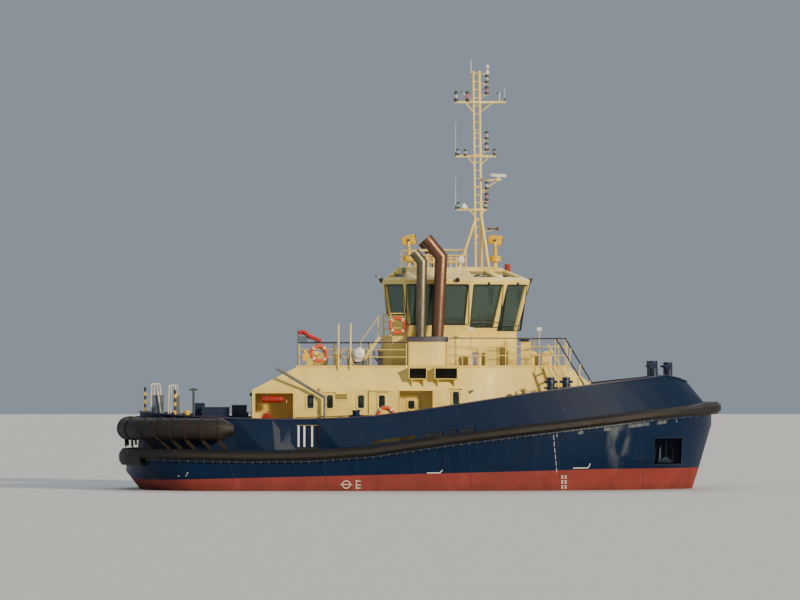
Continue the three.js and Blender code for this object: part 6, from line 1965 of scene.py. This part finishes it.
@dataclass
class BoatDeckGear:
    """Ladder posts, flag, rope coils, round cover, machinery, lockers and vents of the boat deck."""

    def build(self) -> None:
        """Builds the starboard gear, the lockers and vents, and the flag."""
        posts = Shape()
        for x in (-3.3, -2.81):
            posts.lathe([(0.05, 0), (0.05, 0.06), (0.036, 0.08), (0.036, 2.1), (0.045, 2.11), (0.045, 2.16),
                         (0, 2.165)], (x, -3.32, 4.55), UPWARD, Finish.CREAM_TRIM, 14)
            posts.box((x - 0.05, -3.5, 4.5), (x + 0.05, -3.16, 4.58), Finish.CREAM_TRIM)
            posts.tube([(x, -3.32, 5.35), (x + 0.12, -3.18, 5.05)], 0.02, Finish.CREAM_TRIM, 8)
        posts.place("boarding_ladder_posts", slot="cream_paint", bevel=0.004)
        gear = Shape()
        gear.lathe([(0.0, 0), (0.15, 0.01), (0.21, 0.05), (0.225, 0.12), (0.21, 0.2), (0.15, 0.24),
                    (0, 0.25)], (-2.45, -3.32, 5.52), (0, -1, 0), Finish.PLASTIC, 28)
        gear.tube(arc((-3.03, -3.24, 5.5), AHEAD, UPWARD, 0.19, 0, 360, 28)[:-1], 0.035, Finish.ROPE, 8,
                  closed=True)
        gear.tube(arc((-3.03, -3.29, 5.47), AHEAD, UPWARD, 0.15, 0, 360, 28)[:-1], 0.03, Finish.ROPE, 8,
                  closed=True)
        gear.box((-4.74, -3.3, 5.2), (-4.55, -3.16, 5.5), Finish.YELLOW)
        gear.lathe([(0.08, 0), (0.09, 0.05), (0.06, 0.16), (0, 0.17)], (-4.65, -3.23, 5.5), UPWARD,
                   Finish.YELLOW, 14)
        gear.box((-1.72, -2.95, 5.03), (-1.5, -2.62, 5.35), Finish.DARK)
        gear.lathe([(0.06, 0), (0.09, 0.05), (0.09, 0.3), (0.05, 0.34), (0, 0.35)], (-1.6, -2.8, 5.35),
                   UPWARD, Finish.SILENCER, 16)
        gear.tube([(-1.72, -2.75, 5.2), (-1.85, -2.75, 5.35), (-1.85, -2.75, 5.6)], 0.03, Finish.DARK, 8)
        gear.place("boat_deck_gear", slot="dark_paint", bevel=0.006)
        lockers = Shape()
        for x0, y0, x1, y1, top in ((-4.6, 0.6, -3.7, 1.3, 5.5), (-4.6, -1.2, -3.9, -0.5, 5.45),
                                    (-2.9, 1.6, -2.1, 2.4, 5.6), (4.3, 0.35, 4.9, 1.2, 5.42)):
            lockers.box((x0, y0, 5.02), (x1, y1, top - 0.04), Finish.CREAM)
            lockers.box((x0 - 0.02, y0 - 0.02, top - 0.035), (x1 + 0.02, y1 + 0.02, top), Finish.CREAM_TRIM)
            lockers.box(((x0 + x1) / 2 - 0.04, y0 - 0.035, top - 0.12),
                        ((x0 + x1) / 2 + 0.04, y0 - 0.02, top - 0.02), Finish.STAINLESS)
        for x, y in ((-3.3, 0.0), (-3.3, 2.3), (-4.2, -2.3), (4.6, -0.9), (5.2, 0.0)):
            lockers.lathe(
                [(0.14, 0), (0.14, 0.03), (0.1, 0.04), (0.1, 0.42), (0.2, 0.4), (0.22, 0.46), (0.17, 0.54),
                 (0.06, 0.58), (0, 0.582)], (x, y, 5.02), UPWARD, Finish.CREAM_TRIM, 22)
        lockers.place("boat_deck_lockers_and_vents", slot="cream_paint", bevel=0.008)
        self.flag()

    def flag(self) -> None:
        """The flag, rolled up loosely and laid along the aft rail's end, and its staff."""
        shape = Shape()
        path = smooth_path(
            [(-4.88, -3.2, 6.26), (-4.8, -3.2, 6.38), (-4.62, -3.21, 6.33), (-4.46, -3.22, 6.2),
             (-4.28, -3.24, 6.12), (-4.12, -3.24, 6.04), (-4.0, -3.24, 5.99)], 5)
        rings, widths = [], []
        for i, point in enumerate(path):
            ahead = (path[min(i + 1, len(path) - 1)] - path[max(i - 1, 0)]).normalized()
            side = ahead.cross(Vector(UPWARD)).normalized()
            up = side.cross(ahead)
            ring = []
            for k in range(73):
                turns = 2.75 * k / 72
                t = 2 * math.pi * turns
                size = 0.018 + 0.026 * turns + 0.012 * math.sin(5 * t + i * 0.3) * turns / 2.75
                size *= 1 + 0.12 * math.sin(i * 0.9)
                ring.append(point + (side * math.cos(t) + up * math.sin(t)) * size)
            rings.append(ring)
            widths.append(sum((q - p).length for p, q in zip(ring, ring[1:])))
        shape.loft(rings, Finish.FLAG, ends=False, open_ring=True)
        piece = shape.place("furled_flag", slot="dark_paint", angle=60)
        staff = Shape()
        staff.lathe([(0.02, 5.05), (0.02, 6.48), (0.03, 6.49), (0.02, 6.53), (0, 6.535)], (-4.93, -3.12, 0),
                    UPWARD, Finish.GALVANISED, 12)
        staff.box((-4.95, -3.2, 5.95), (-4.55, -3.02, 6.2), Finish.STEEL_GREY)
        staff.place("flag_staff", slot="galvanised", bevel=0.01)


@dataclass
class AftDeck:
    """Striped posts and a yellow cap on the stern bulwark, and stands, a post and lockers behind it."""

    def build(self) -> None:
        """Builds the gear."""
        shape = Shape()
        for x, y in ((-11.1, -2.37), (-9.86, -4.28)):
            foot = hit("bulwark_cap_rail", (x, y, 5.0), (0, 0, -1))[0].z
            for k in range(6):
                finish = Finish.YELLOW if k % 2 == 0 else Finish.BLACK
                shape.lathe([(0.05, k * 0.16), (0.05, k * 0.16 + 0.16)], (x, y, foot), UPWARD, finish, 14)
            shape.lathe([(0.05, 0.96), (0.04, 0.98), (0, 0.985)], (x, y, foot), UPWARD, Finish.BLACK, 14)
        for x0, x1, y0, y1, z1 in ((-10.85, -10.35, -2.5, -2.1, 3.82), (-9.9, -9.68, -3.95, -3.65, 3.78)):
            shape.box((x0, y0, 1.64), (x1, y1, z1), Finish.STEEL_GREY)
            shape.box((x0 - 0.015, y0 - 0.015, z1 - 0.03), (x1 + 0.015, y1 + 0.015, z1 + 0.01),
                      Finish.GALVANISED)
        foot = hit("bulwark_cap_rail", (-9.37, -4.5, 5.0), (0, 0, -1))[0].z
        shape.lathe([(0.09, 0), (0.12, 0.05), (0.12, 0.14), (0.07, 0.19), (0, 0.195)], (-9.37, -4.5, foot),
                    UPWARD, Finish.YELLOW, 18)
        shape.lathe([(0.045, 1.66), (0.045, 4.1), (0.03, 4.12), (0, 4.125)], (-9.12, -4.1, 0), UPWARD,
                    Finish.DARK, 14)
        shape.tube([(-9.3, -4.1, 4.05), (-8.95, -4.1, 4.05)], 0.035, Finish.DARK, 10)
        for x0, x1, y0, y1, z1 in ((-9.1, -8.7, -1.9, -1.2, 3.5), (-8.8, -7.7, -2.6, -1.5, 3.34),
                                   (-7.6, -7.0, -2.2, -1.4, 3.42), (-7.4, -6.95, 1.2, 2.2, 3.1)):
            shape.box((x0, y0, 1.64), (x1, y1, z1), Finish.NAVY)
            shape.box((x0 - 0.02, y0 - 0.02, z1 - 0.06), (x1 + 0.02, y1 + 0.02, z1 - 0.03), Finish.NAVY)
            for y in (y0 + 0.1, y1 - 0.16):
                shape.tube([(x0, y, z1 - 0.2), (x0 - 0.04, y, z1 - 0.2), (x0 - 0.04, y + 0.08, z1 - 0.2),
                            (x0, y + 0.08, z1 - 0.2)], 0.008, Finish.STAINLESS, 6)
        shape.place("aft_deck_gear", slot="dark_paint", bevel=0.008)


@dataclass
class Winches:
    """Wound rope, flange rims, bolts and oil pipes of the two winches."""

    def build(self) -> None:
        """Dresses both winches."""
        for name, x, z, radius, length, motor in (
            ("fore", 8.7, 3.9, 0.52, 1.15, 1), ("aft", -8.25, 2.56, 0.6, 1.25, -1)):
            self.drum(name, x, z, radius, length)
            self.frame(name, x, z, radius, length, motor)

    def drum(self, name: str, x: float, z: float, radius: float, length: float) -> None:
        """Rope laid in turns on the drum, and the flanges' lightening rims.

        Args:
            name: Which winch.
            x: Where its axis is.
            z: How high its axis is.
            radius: Radius of the drum's flange.
            length: Length of the drum.
        """
        rope, rim = Shape(), Shape()
        core = radius * 0.66
        half = length / 2 - 0.12
        thick = 0.032
        turns = int(2 * half / (2 * thick))
        path = []
        for k in range(turns * 24 + 1):
            t = 2 * math.pi * k / 24
            path.append((x + core * math.cos(t), -half + 2 * thick * k / 24, z + core * math.sin(t)))
        rope.tube(path, thick, Finish.ROPE, 7)
        rope.place(f"{name}_winch_rope", f"{name}_drum", "rubber", angle=60)
        for y in (-length / 2 + 0.02, length / 2 - 0.02):
            rim.hoop((x, y, z), AHEAD, UPWARD, radius - 0.012, 40, 0.016, Finish.NAVY)
            for k in range(10):
                t = 2 * math.pi * k / 10
                spot = Vector((x + radius * 0.8 * math.cos(t), y, z + radius * 0.8 * math.sin(t)))
                bolt(rim, spot, (0, 1 if y > 0 else -1, 0), 0.018, 0.02, Finish.GALVANISED)
        rim.place(f"{name}_winch_flange_rims", f"{name}_drum", "galvanised")

    def frame(self, name: str, x: float, z: float, radius: float, length: float, motor: int) -> None:
        """Motor bolts, steel oil pipes and foot bolts.

        Args:
            name: Which winch.
            x: Where its axis is.
            z: How high its axis is.
            radius: Radius of the drum's flange.
            length: Length of the drum.
            motor: Side of the motor, as the sign of Y.
        """
        shape = Shape()
        base = Line.DECK.at(x)
        side = motor * (length / 2 + 0.28)
        for k in range(8):
            t = 2 * math.pi * k / 8
            spot = Vector((x + 0.16 * math.cos(t), -side, z + 0.16 * math.sin(t)))
            bolt(shape, spot, (0, -motor, 0), 0.02, 0.025, Finish.GALVANISED)
        for k in range(2):
            start = Vector((x - 0.12 + 0.24 * k, side + motor * 0.2, z + 0.1))
            path = smooth_path([start, start + Vector((-0.05, motor * 0.14, 0.12)),
                                start + Vector((-0.12, motor * 0.24, -0.1)),
                                (start.x - 0.15, start.y + motor * 0.28, base + 0.05)], 6)
            shape.tube(path, 0.026, Finish.STAINLESS, 8)
        for dx in (-0.5, -0.2, 0.2, 0.5):
            for y in (-length / 2 - 0.1, length / 2 + 0.1):
                bolt(shape, (x + dx * radius / 0.55, y, base + 0.1), UPWARD, 0.025, 0.03, Finish.GALVANISED)
        shape.place(f"{name}_winch_fittings", slot="dark_paint")


@dataclass
class Foredeck:
    """Staple collars, anchors, bitt heads, vents, lockers and stair handrails of the fore ship."""

    # Aft and fore edge, foot and head of an anchor pocket
    pocket: tuple[float, ...] = (9.43, 10.62, 1.02, 2.1)
    # Profiles of the small and the large mushroom vent
    small_vent: tuple[Pair, ...] = (
        (0.09, 0), (0.07, 0.03), (0.07, 0.5), (0.13, 0.49), (0.15, 0.55), (0.11, 0.62), (0, 0.64))
    large_vent: tuple[Pair, ...] = (
        (0.14, 0), (0.11, 0.04), (0.11, 0.5), (0.19, 0.48), (0.21, 0.55), (0.15, 0.64), (0, 0.67))

    def build(self) -> None:
        """Builds the gear."""
        self.staple()
        for side in Side:
            self.anchor(side)
            self.bitts(side)
        self.stairs()
        self.lockers()

    def staple(self) -> None:
        """Collars and round heads of the towing staple's posts."""
        shape = Shape()
        for x, half, radius, top in ((9.62, 0.62, 0.19, 5.08), (10.18, 0.43, 0.165, 5.06)):
            for y in (-half, half):
                foot, head = Vector((x, y, top - 1.35)), Vector((x - 0.1, y, top - 0.12))
                along = head - foot
                for share in (0.35, 0.62):
                    spot = foot.lerp(head, share)
                    shape.lathe([(radius, 0), (radius + 0.018, 0.01), (radius + 0.018, 0.04),
                                 (radius, 0.05)], spot, along, Finish.NAVY, 28)
                shape.lathe(
                    [(radius * 0.4, 0.0), (radius * 1.05, 0.012), (radius * 1.12, 0.05),
                     (radius * 1.0, 0.095), (radius * 0.5, 0.115), (0, 0.12)], head, along, Finish.NAVY, 28)
        shape.place("staple_collars", slot="hull_paint")

    def anchor(self, side: Side) -> None:
        """Flukes, shackle, chain and the pocket's doubling ring of an anchor.

        Args:
            side: The side of the boat.
        """
        s = side.value
        shape = Shape()
        (x0, y0, z0), (x1, y1, z1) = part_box(f"anchor_{side.word}")
        out = max(y0 * s, y1 * s)
        mid = (x0 + x1) / 2
        chain(shape, (mid, s * (out - 0.12), z1 - 0.06), (mid + 0.02, s * (out - 0.3), z1 + 0.12), 0.16,
              0.018, Finish.CHAIN)
        shape.lathe([(0.05, -0.1), (0.05, 0.1)], (mid, s * (out - 0.06), z0 + 0.14), AHEAD,
                    Finish.STEEL_GREY, 14)
        for x in (x0 + 0.06, x1 - 0.06):
            shape.tube([(x, s * (out - 0.04), z0 + 0.1), (x + (mid - x) * 0.12, s * (out - 0.01), z1 - 0.3),
                        (x + (mid - x) * 0.3, s * (out - 0.03), z1 - 0.12)], [0.034, 0.022, 0.008],
                       Finish.STEEL_GREY, 8)
        shape.place(f"anchor_fittings_{side.word}", slot="dark_paint")
        ring = Shape()
        aft, fore, foot, head = self.pocket
        edges = [[(x, foot + (head - foot) * k / 8) for k in range(9)] for x in (aft, fore)]
        edges += [[(aft + 1.19 * k / 10, z) for k in range(11)] for z in (foot, head)]
        for path in edges:
            ribbon(ring, "hull", path, 0.03, side, Finish.NAVY, 0.02)
        ring.place(f"anchor_pocket_rim_{side.word}", slot="hull_paint")

    def bitts(self, side: Side) -> None:
        """Rounded heads and a cross bar on the foredeck bitts.

        Args:
            side: The side of the boat.
        """
        s = side.value
        shape = Shape()
        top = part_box(f"fore_bitts_{side.word}")[1][2]
        for x in (5.23, 5.85):
            shape.lathe(
                [(0.1, -0.12), (0.155, -0.1), (0.16, -0.06), (0.15, 0.0), (0.14, 0.1), (0.165, 0.12),
                 (0.165, 0.18), (0.12, 0.21), (0, 0.216)], (x, s * 4.08, top), UPWARD, Finish.NAVY, 28)
            shape.lathe([(0.045, -0.27), (0.055, -0.26), (0.055, 0.26), (0.045, 0.27)],
                        (x, s * 4.08, top + 0.02), AHEAD, Finish.NAVY, 16)
        shape.place(f"bitt_heads_{side.word}", slot="hull_paint")

    def stairs(self) -> None:
        """Dark handrails of the stairs on their cream posts."""
        shape = Shape()
        low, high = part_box("fore_stairs")
        for y in (low[1] + 0.05, high[1] - 0.05):
            start, end = Vector((5.86, y, 6.1)), Vector((6.96, y, 4.27))
            for back in (0.0, 0.37):
                shift = Vector((-back, 0, 0))
                shape.tube([start + shift - Vector((0.3, 0, -0.02)), start + shift, end + shift,
                            end + shift + Vector((0.1, 0, -0.24))], 0.022, Finish.CAP, 8)
            for share in (0.2, 0.55, 0.92):
                spot = start.lerp(end, share)
                foot = (spot.x - 0.12, y, max(spot.z - 1.0, 3.0))
                shape.tube([spot, foot], 0.02, Finish.CREAM_TRIM, 8)
        shape.place("fore_stairs_handrail_tops", slot="cap_paint")

    def lockers(self) -> None:
        """Lockers, vents and lamp posts on the fore boat deck, and the vents by the fore winch."""
        shape = Shape()
        for x0, x1, y0, y1, z0, z1, finish in (
            (4.1, 4.5, -2.3, -1.9, 5.02, 6.0, Finish.CREAM),
            (4.02, 4.42, -2.38, -1.95, 6.0, 6.12, Finish.NAVY),
            (2.75, 3.2, -2.62, -2.2, 5.02, 5.75, Finish.CREAM),
            (2.1, 2.4, -2.75, -2.5, 5.02, 5.55, Finish.WHITE),
            (5.0, 5.3, -0.5, 0.5, 5.02, 5.5, Finish.CREAM)):
            shape.box((x0, y0, z0), (x1, y1, z1), finish)
            shape.box((x0 - 0.015, y0 - 0.015, z1 - 0.02), (x1 + 0.015, y1 + 0.015, z1 + 0.006), finish)
        for x, y in ((4.6, 2.1), (3.4, 2.6), (5.4, 0.8), (2.4, -2.95)):
            shape.lathe(self.small_vent, (x, y, 5.02), UPWARD, Finish.CREAM_TRIM, 18)
        for x, y in ((2.05, -2.9), (4.83, -2.5)):
            shape.tube([(x, y, 5.05), (x, y, 6.5)], 0.025, Finish.CREAM_TRIM, 8)
            shape.box((x - 0.1, y - 0.06, 6.42), (x + 0.1, y + 0.06, 6.56), Finish.PLASTIC)
        for x, y in ((7.9, 1.9), (7.9, -1.9), (9.0, 2.3)):
            shape.lathe(self.large_vent, (x, y, Line.DECK.at(x)), UPWARD, Finish.CREAM_TRIM, 20)
        shape.place("fore_lockers_and_vents", slot="cream_paint", bevel=0.006)


@dataclass
class Propulsion:
    """Skewed bronze blades, nozzle rings, anodes and bolts of the two thrusters."""

    # X and z of the shaft, its distance from the middle line, and the radii of tip, root and nozzle
    hub: Pair = (-8.41, -3.42)
    shaft_y: float = 2.35
    radius: float = 1.085
    root: float = 0.18
    nozzle_radius: float = 1.325

    def build(self) -> None:
        """Builds both sides."""
        for side in Side:
            self.propeller(side)
            self.nozzle(side)

    def propeller(self, side: Side) -> None:
        """Four blades with skew and pitch on a coned hub.

        Args:
            side: The side of the boat.
        """
        shape = Shape()
        x, z = self.hub
        y = side.value * self.shaft_y
        (x0, _, _), (x1, _, _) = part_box(f"propeller_{side.word}")
        shape.lathe([(0.0, 0.0), (0.09, 0.01), (0.17, 0.08), (0.21, 0.2), (0.215, x1 - x0 - 0.02),
                     (0.18, x1 - x0)], (x0, y, z), AHEAD, Finish.BRONZE, 32)
        for blade in range(4):
            since = len(shape.bm.verts)
            rings = []
            for k in range(13):
                share = k / 12
                r = self.root + (self.radius - self.root) * share
                swell = math.sin(math.pi * min(share * 0.85 + 0.12, 1.0))
                chord = (0.34 + 0.36 * swell) * (1 - share ** 7 * 0.8)
                pitch = math.atan2(1.9, 2 * math.pi * r)
                skew = math.radians(26) * share ** 2
                thick = 0.034 * (1 - 0.8 * share)
                ring = []
                for j in range(16):
                    t = 2 * math.pi * j / 16
                    along, off = chord / 2 * math.cos(t), thick * math.sin(t) * (1 + 0.25 * math.cos(t))
                    fore = min(max(along * math.sin(pitch) + off * math.cos(pitch), -0.17), 0.17)
                    turn = skew + (along * math.cos(pitch) - off * math.sin(pitch)) / r
                    ring.append((x + fore, y + r * math.sin(turn), z + r * math.cos(turn)))
                rings.append(ring)
            shape.loft(rings, Finish.BRONZE)
            shape.turn((x, y, z), AHEAD, 90 * blade, since)
        for k in range(6):
            t = 2 * math.pi * k / 6
            bolt(shape, (x1 - 0.005, y + 0.13 * math.cos(t), z + 0.13 * math.sin(t)), AHEAD, 0.018, 0.015,
                 Finish.BRONZE)
        piece = shape.place(f"propeller_blades_{side.word}", f"{side.word}_propeller", "bronze", angle=50)
        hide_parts(f"propeller_{side.word}")

    def nozzle(self, side: Side) -> None:
        """Anodes, rings and flange bolts of the thruster and its nozzle.

        Args:
            side: The side of the boat.
        """
        shape = Shape()
        x, z = self.hub
        y = side.value * self.shaft_y
        for degrees in (15, 105, 195, 285):
            t = math.radians(degrees)
            spot = Vector(
                (x - 0.1, y + self.nozzle_radius * math.cos(t), z + self.nozzle_radius * math.sin(t)))
            out = Vector((0, math.cos(t), math.sin(t)))
            across = Vector((0, -math.sin(t), math.cos(t)))
            ring = [[spot + out * d + Vector(AHEAD) * a * w + across * b * w
                     for a, b in ((-0.13, -0.05), (0.13, -0.05), (0.13, 0.05), (-0.13, 0.05))]
                    for d, w in ((-0.05, 1), (0.015, 1), (0.03, 0.8))]
            shape.loft(ring, Finish.ZINC)
        for at in (-0.42, 0.3):
            shape.hoop((x + at, y, z), PORTWARD, UPWARD, 1.12, 60, 0.012, Finish.BOTTOM)
        for k in range(20):
            t = 2 * math.pi * k / 20
            bolt(shape, (-8.35 + 0.56 * math.cos(t), y + 0.56 * math.sin(t), -1.92), (0, 0, -1), 0.026, 0.03,
                 Finish.GALVANISED)
        shape.place(f"thruster_fittings_{side.word}", f"{side.word}_thruster", "bottom_paint")


@dataclass
class HelmChair:
    """Helm chair with seat, back, head rest and arm pads as sewn cushions on a pedestal."""

    x: float = 1.06
    # Power of the cushions' outline: 1 is an ellipse, and near 0 is a box
    fullness: float = 0.35

    def build(self) -> None:
        """Builds the cushions and the frame in place of the node."""
        (x0, y0, z0), (x1, y1, z1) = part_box("helm_chair")
        frame_part = Shape()
        middle = (y0 + y1) / 2
        frame_part.lathe([(0.26, 0), (0.26, 0.02), (0.1, 0.05), (0.06, 0.08), (0.06, 0.3), (0.09, 0.34),
                          (0.12, 0.36), (0.12, 0.38)], (self.x, middle, z0), UPWARD, Finish.STAINLESS, 24)
        frame_part.box((x0 + 0.12, y0 + 0.1, 6.56), (x1 - 0.1, y1 - 0.1, 6.6), Finish.BLACK)
        for y in (y0 + 0.04, y1 - 0.04):
            frame_part.tube(smooth_path([(x0 + 0.14, y, 6.62), (x0 + 0.16, y, 6.84), (x0 + 0.3, y, 6.88),
                                         (x1 - 0.16, y, 6.88)], 4), 0.016, Finish.BLACK, 8)
        piece = frame_part.place("helm_chair_frame", slot="chair", bevel=0.004)
        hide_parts("helm_chair")
        self.cushion("seat_cushion", (x0 + 0.12, y0 + 0.08, 6.6), (x1 - 0.03, y1 - 0.08, 6.73))
        self.cushion("back_cushion", (x0 + 0.03, y0 + 0.08, 6.72), (x0 + 0.16, y1 - 0.08, 7.24))
        self.cushion("head_cushion", (x0 + 0.03, middle - 0.14, 7.27), (x0 + 0.14, middle + 0.14, z1 - 0.01))
        for name, y in (("port", y1 - 0.04), ("starboard", y0 + 0.04)):
            self.cushion(f"arm_cushion_{name}", (x0 + 0.3, y - 0.035, 6.885), (x1 - 0.16, y + 0.035, 6.93))

    def cushion(self, name: str, low: Point, high: Point) -> None:
        """A cushion with rounded faces and a piped seam round its middle.

        Args:
            name: Its name.
            low: Lowest corner.
            high: Highest corner.
        """
        shape = Shape()
        size = [b - a for a, b in zip(low, high)]
        thin = size.index(min(size))
        wide = [axis for axis in range(3) if axis != thin]
        centre = [(a + b) / 2 for a, b in zip(low, high)]
        rings = []
        steps = 14
        for share, reach in ((-1.0, 0.55), (-0.93, 0.8), (-0.7, 0.94), (-0.12, 0.99), (0.0, 1.02),
                             (0.12, 0.99), (0.7, 0.94), (0.93, 0.8), (1.0, 0.55)):
            ring = []
            for k in range(4 * steps):
                t = 2 * math.pi * k / (4 * steps)
                spot = list(centre)
                for axis, part in zip(wide, (math.cos(t), math.sin(t))):
                    spot[axis] += size[axis] / 2 * reach * math.copysign(abs(part) ** self.fullness, part)
                spot[thin] += size[thin] / 2 * share
                ring.append(tuple(spot))
            rings.append(ring)
        shape.loft(rings, Finish.LEATHER)
        piece = shape.place(name, slot="chair", angle=50)


def main() -> None:
    """Builds every part of the scene in order."""
    logging.basicConfig(level=logging.INFO, format="%(name)s: %(message)s")
    for part in (Studio(), CadDress(), HullDressing(), Deckhouse(), MastGear(), RoofGear(), WheelhouseGear(),
                 Gates(), Lifebuoys(), Liferaft(), BoatDeckGear(), AftDeck(), Winches(), Foredeck(),
                 Propulsion(), HelmChair()):
        log.info("building %s", type(part).__name__)
        part.build()


if __name__ == "__main__":
    main()
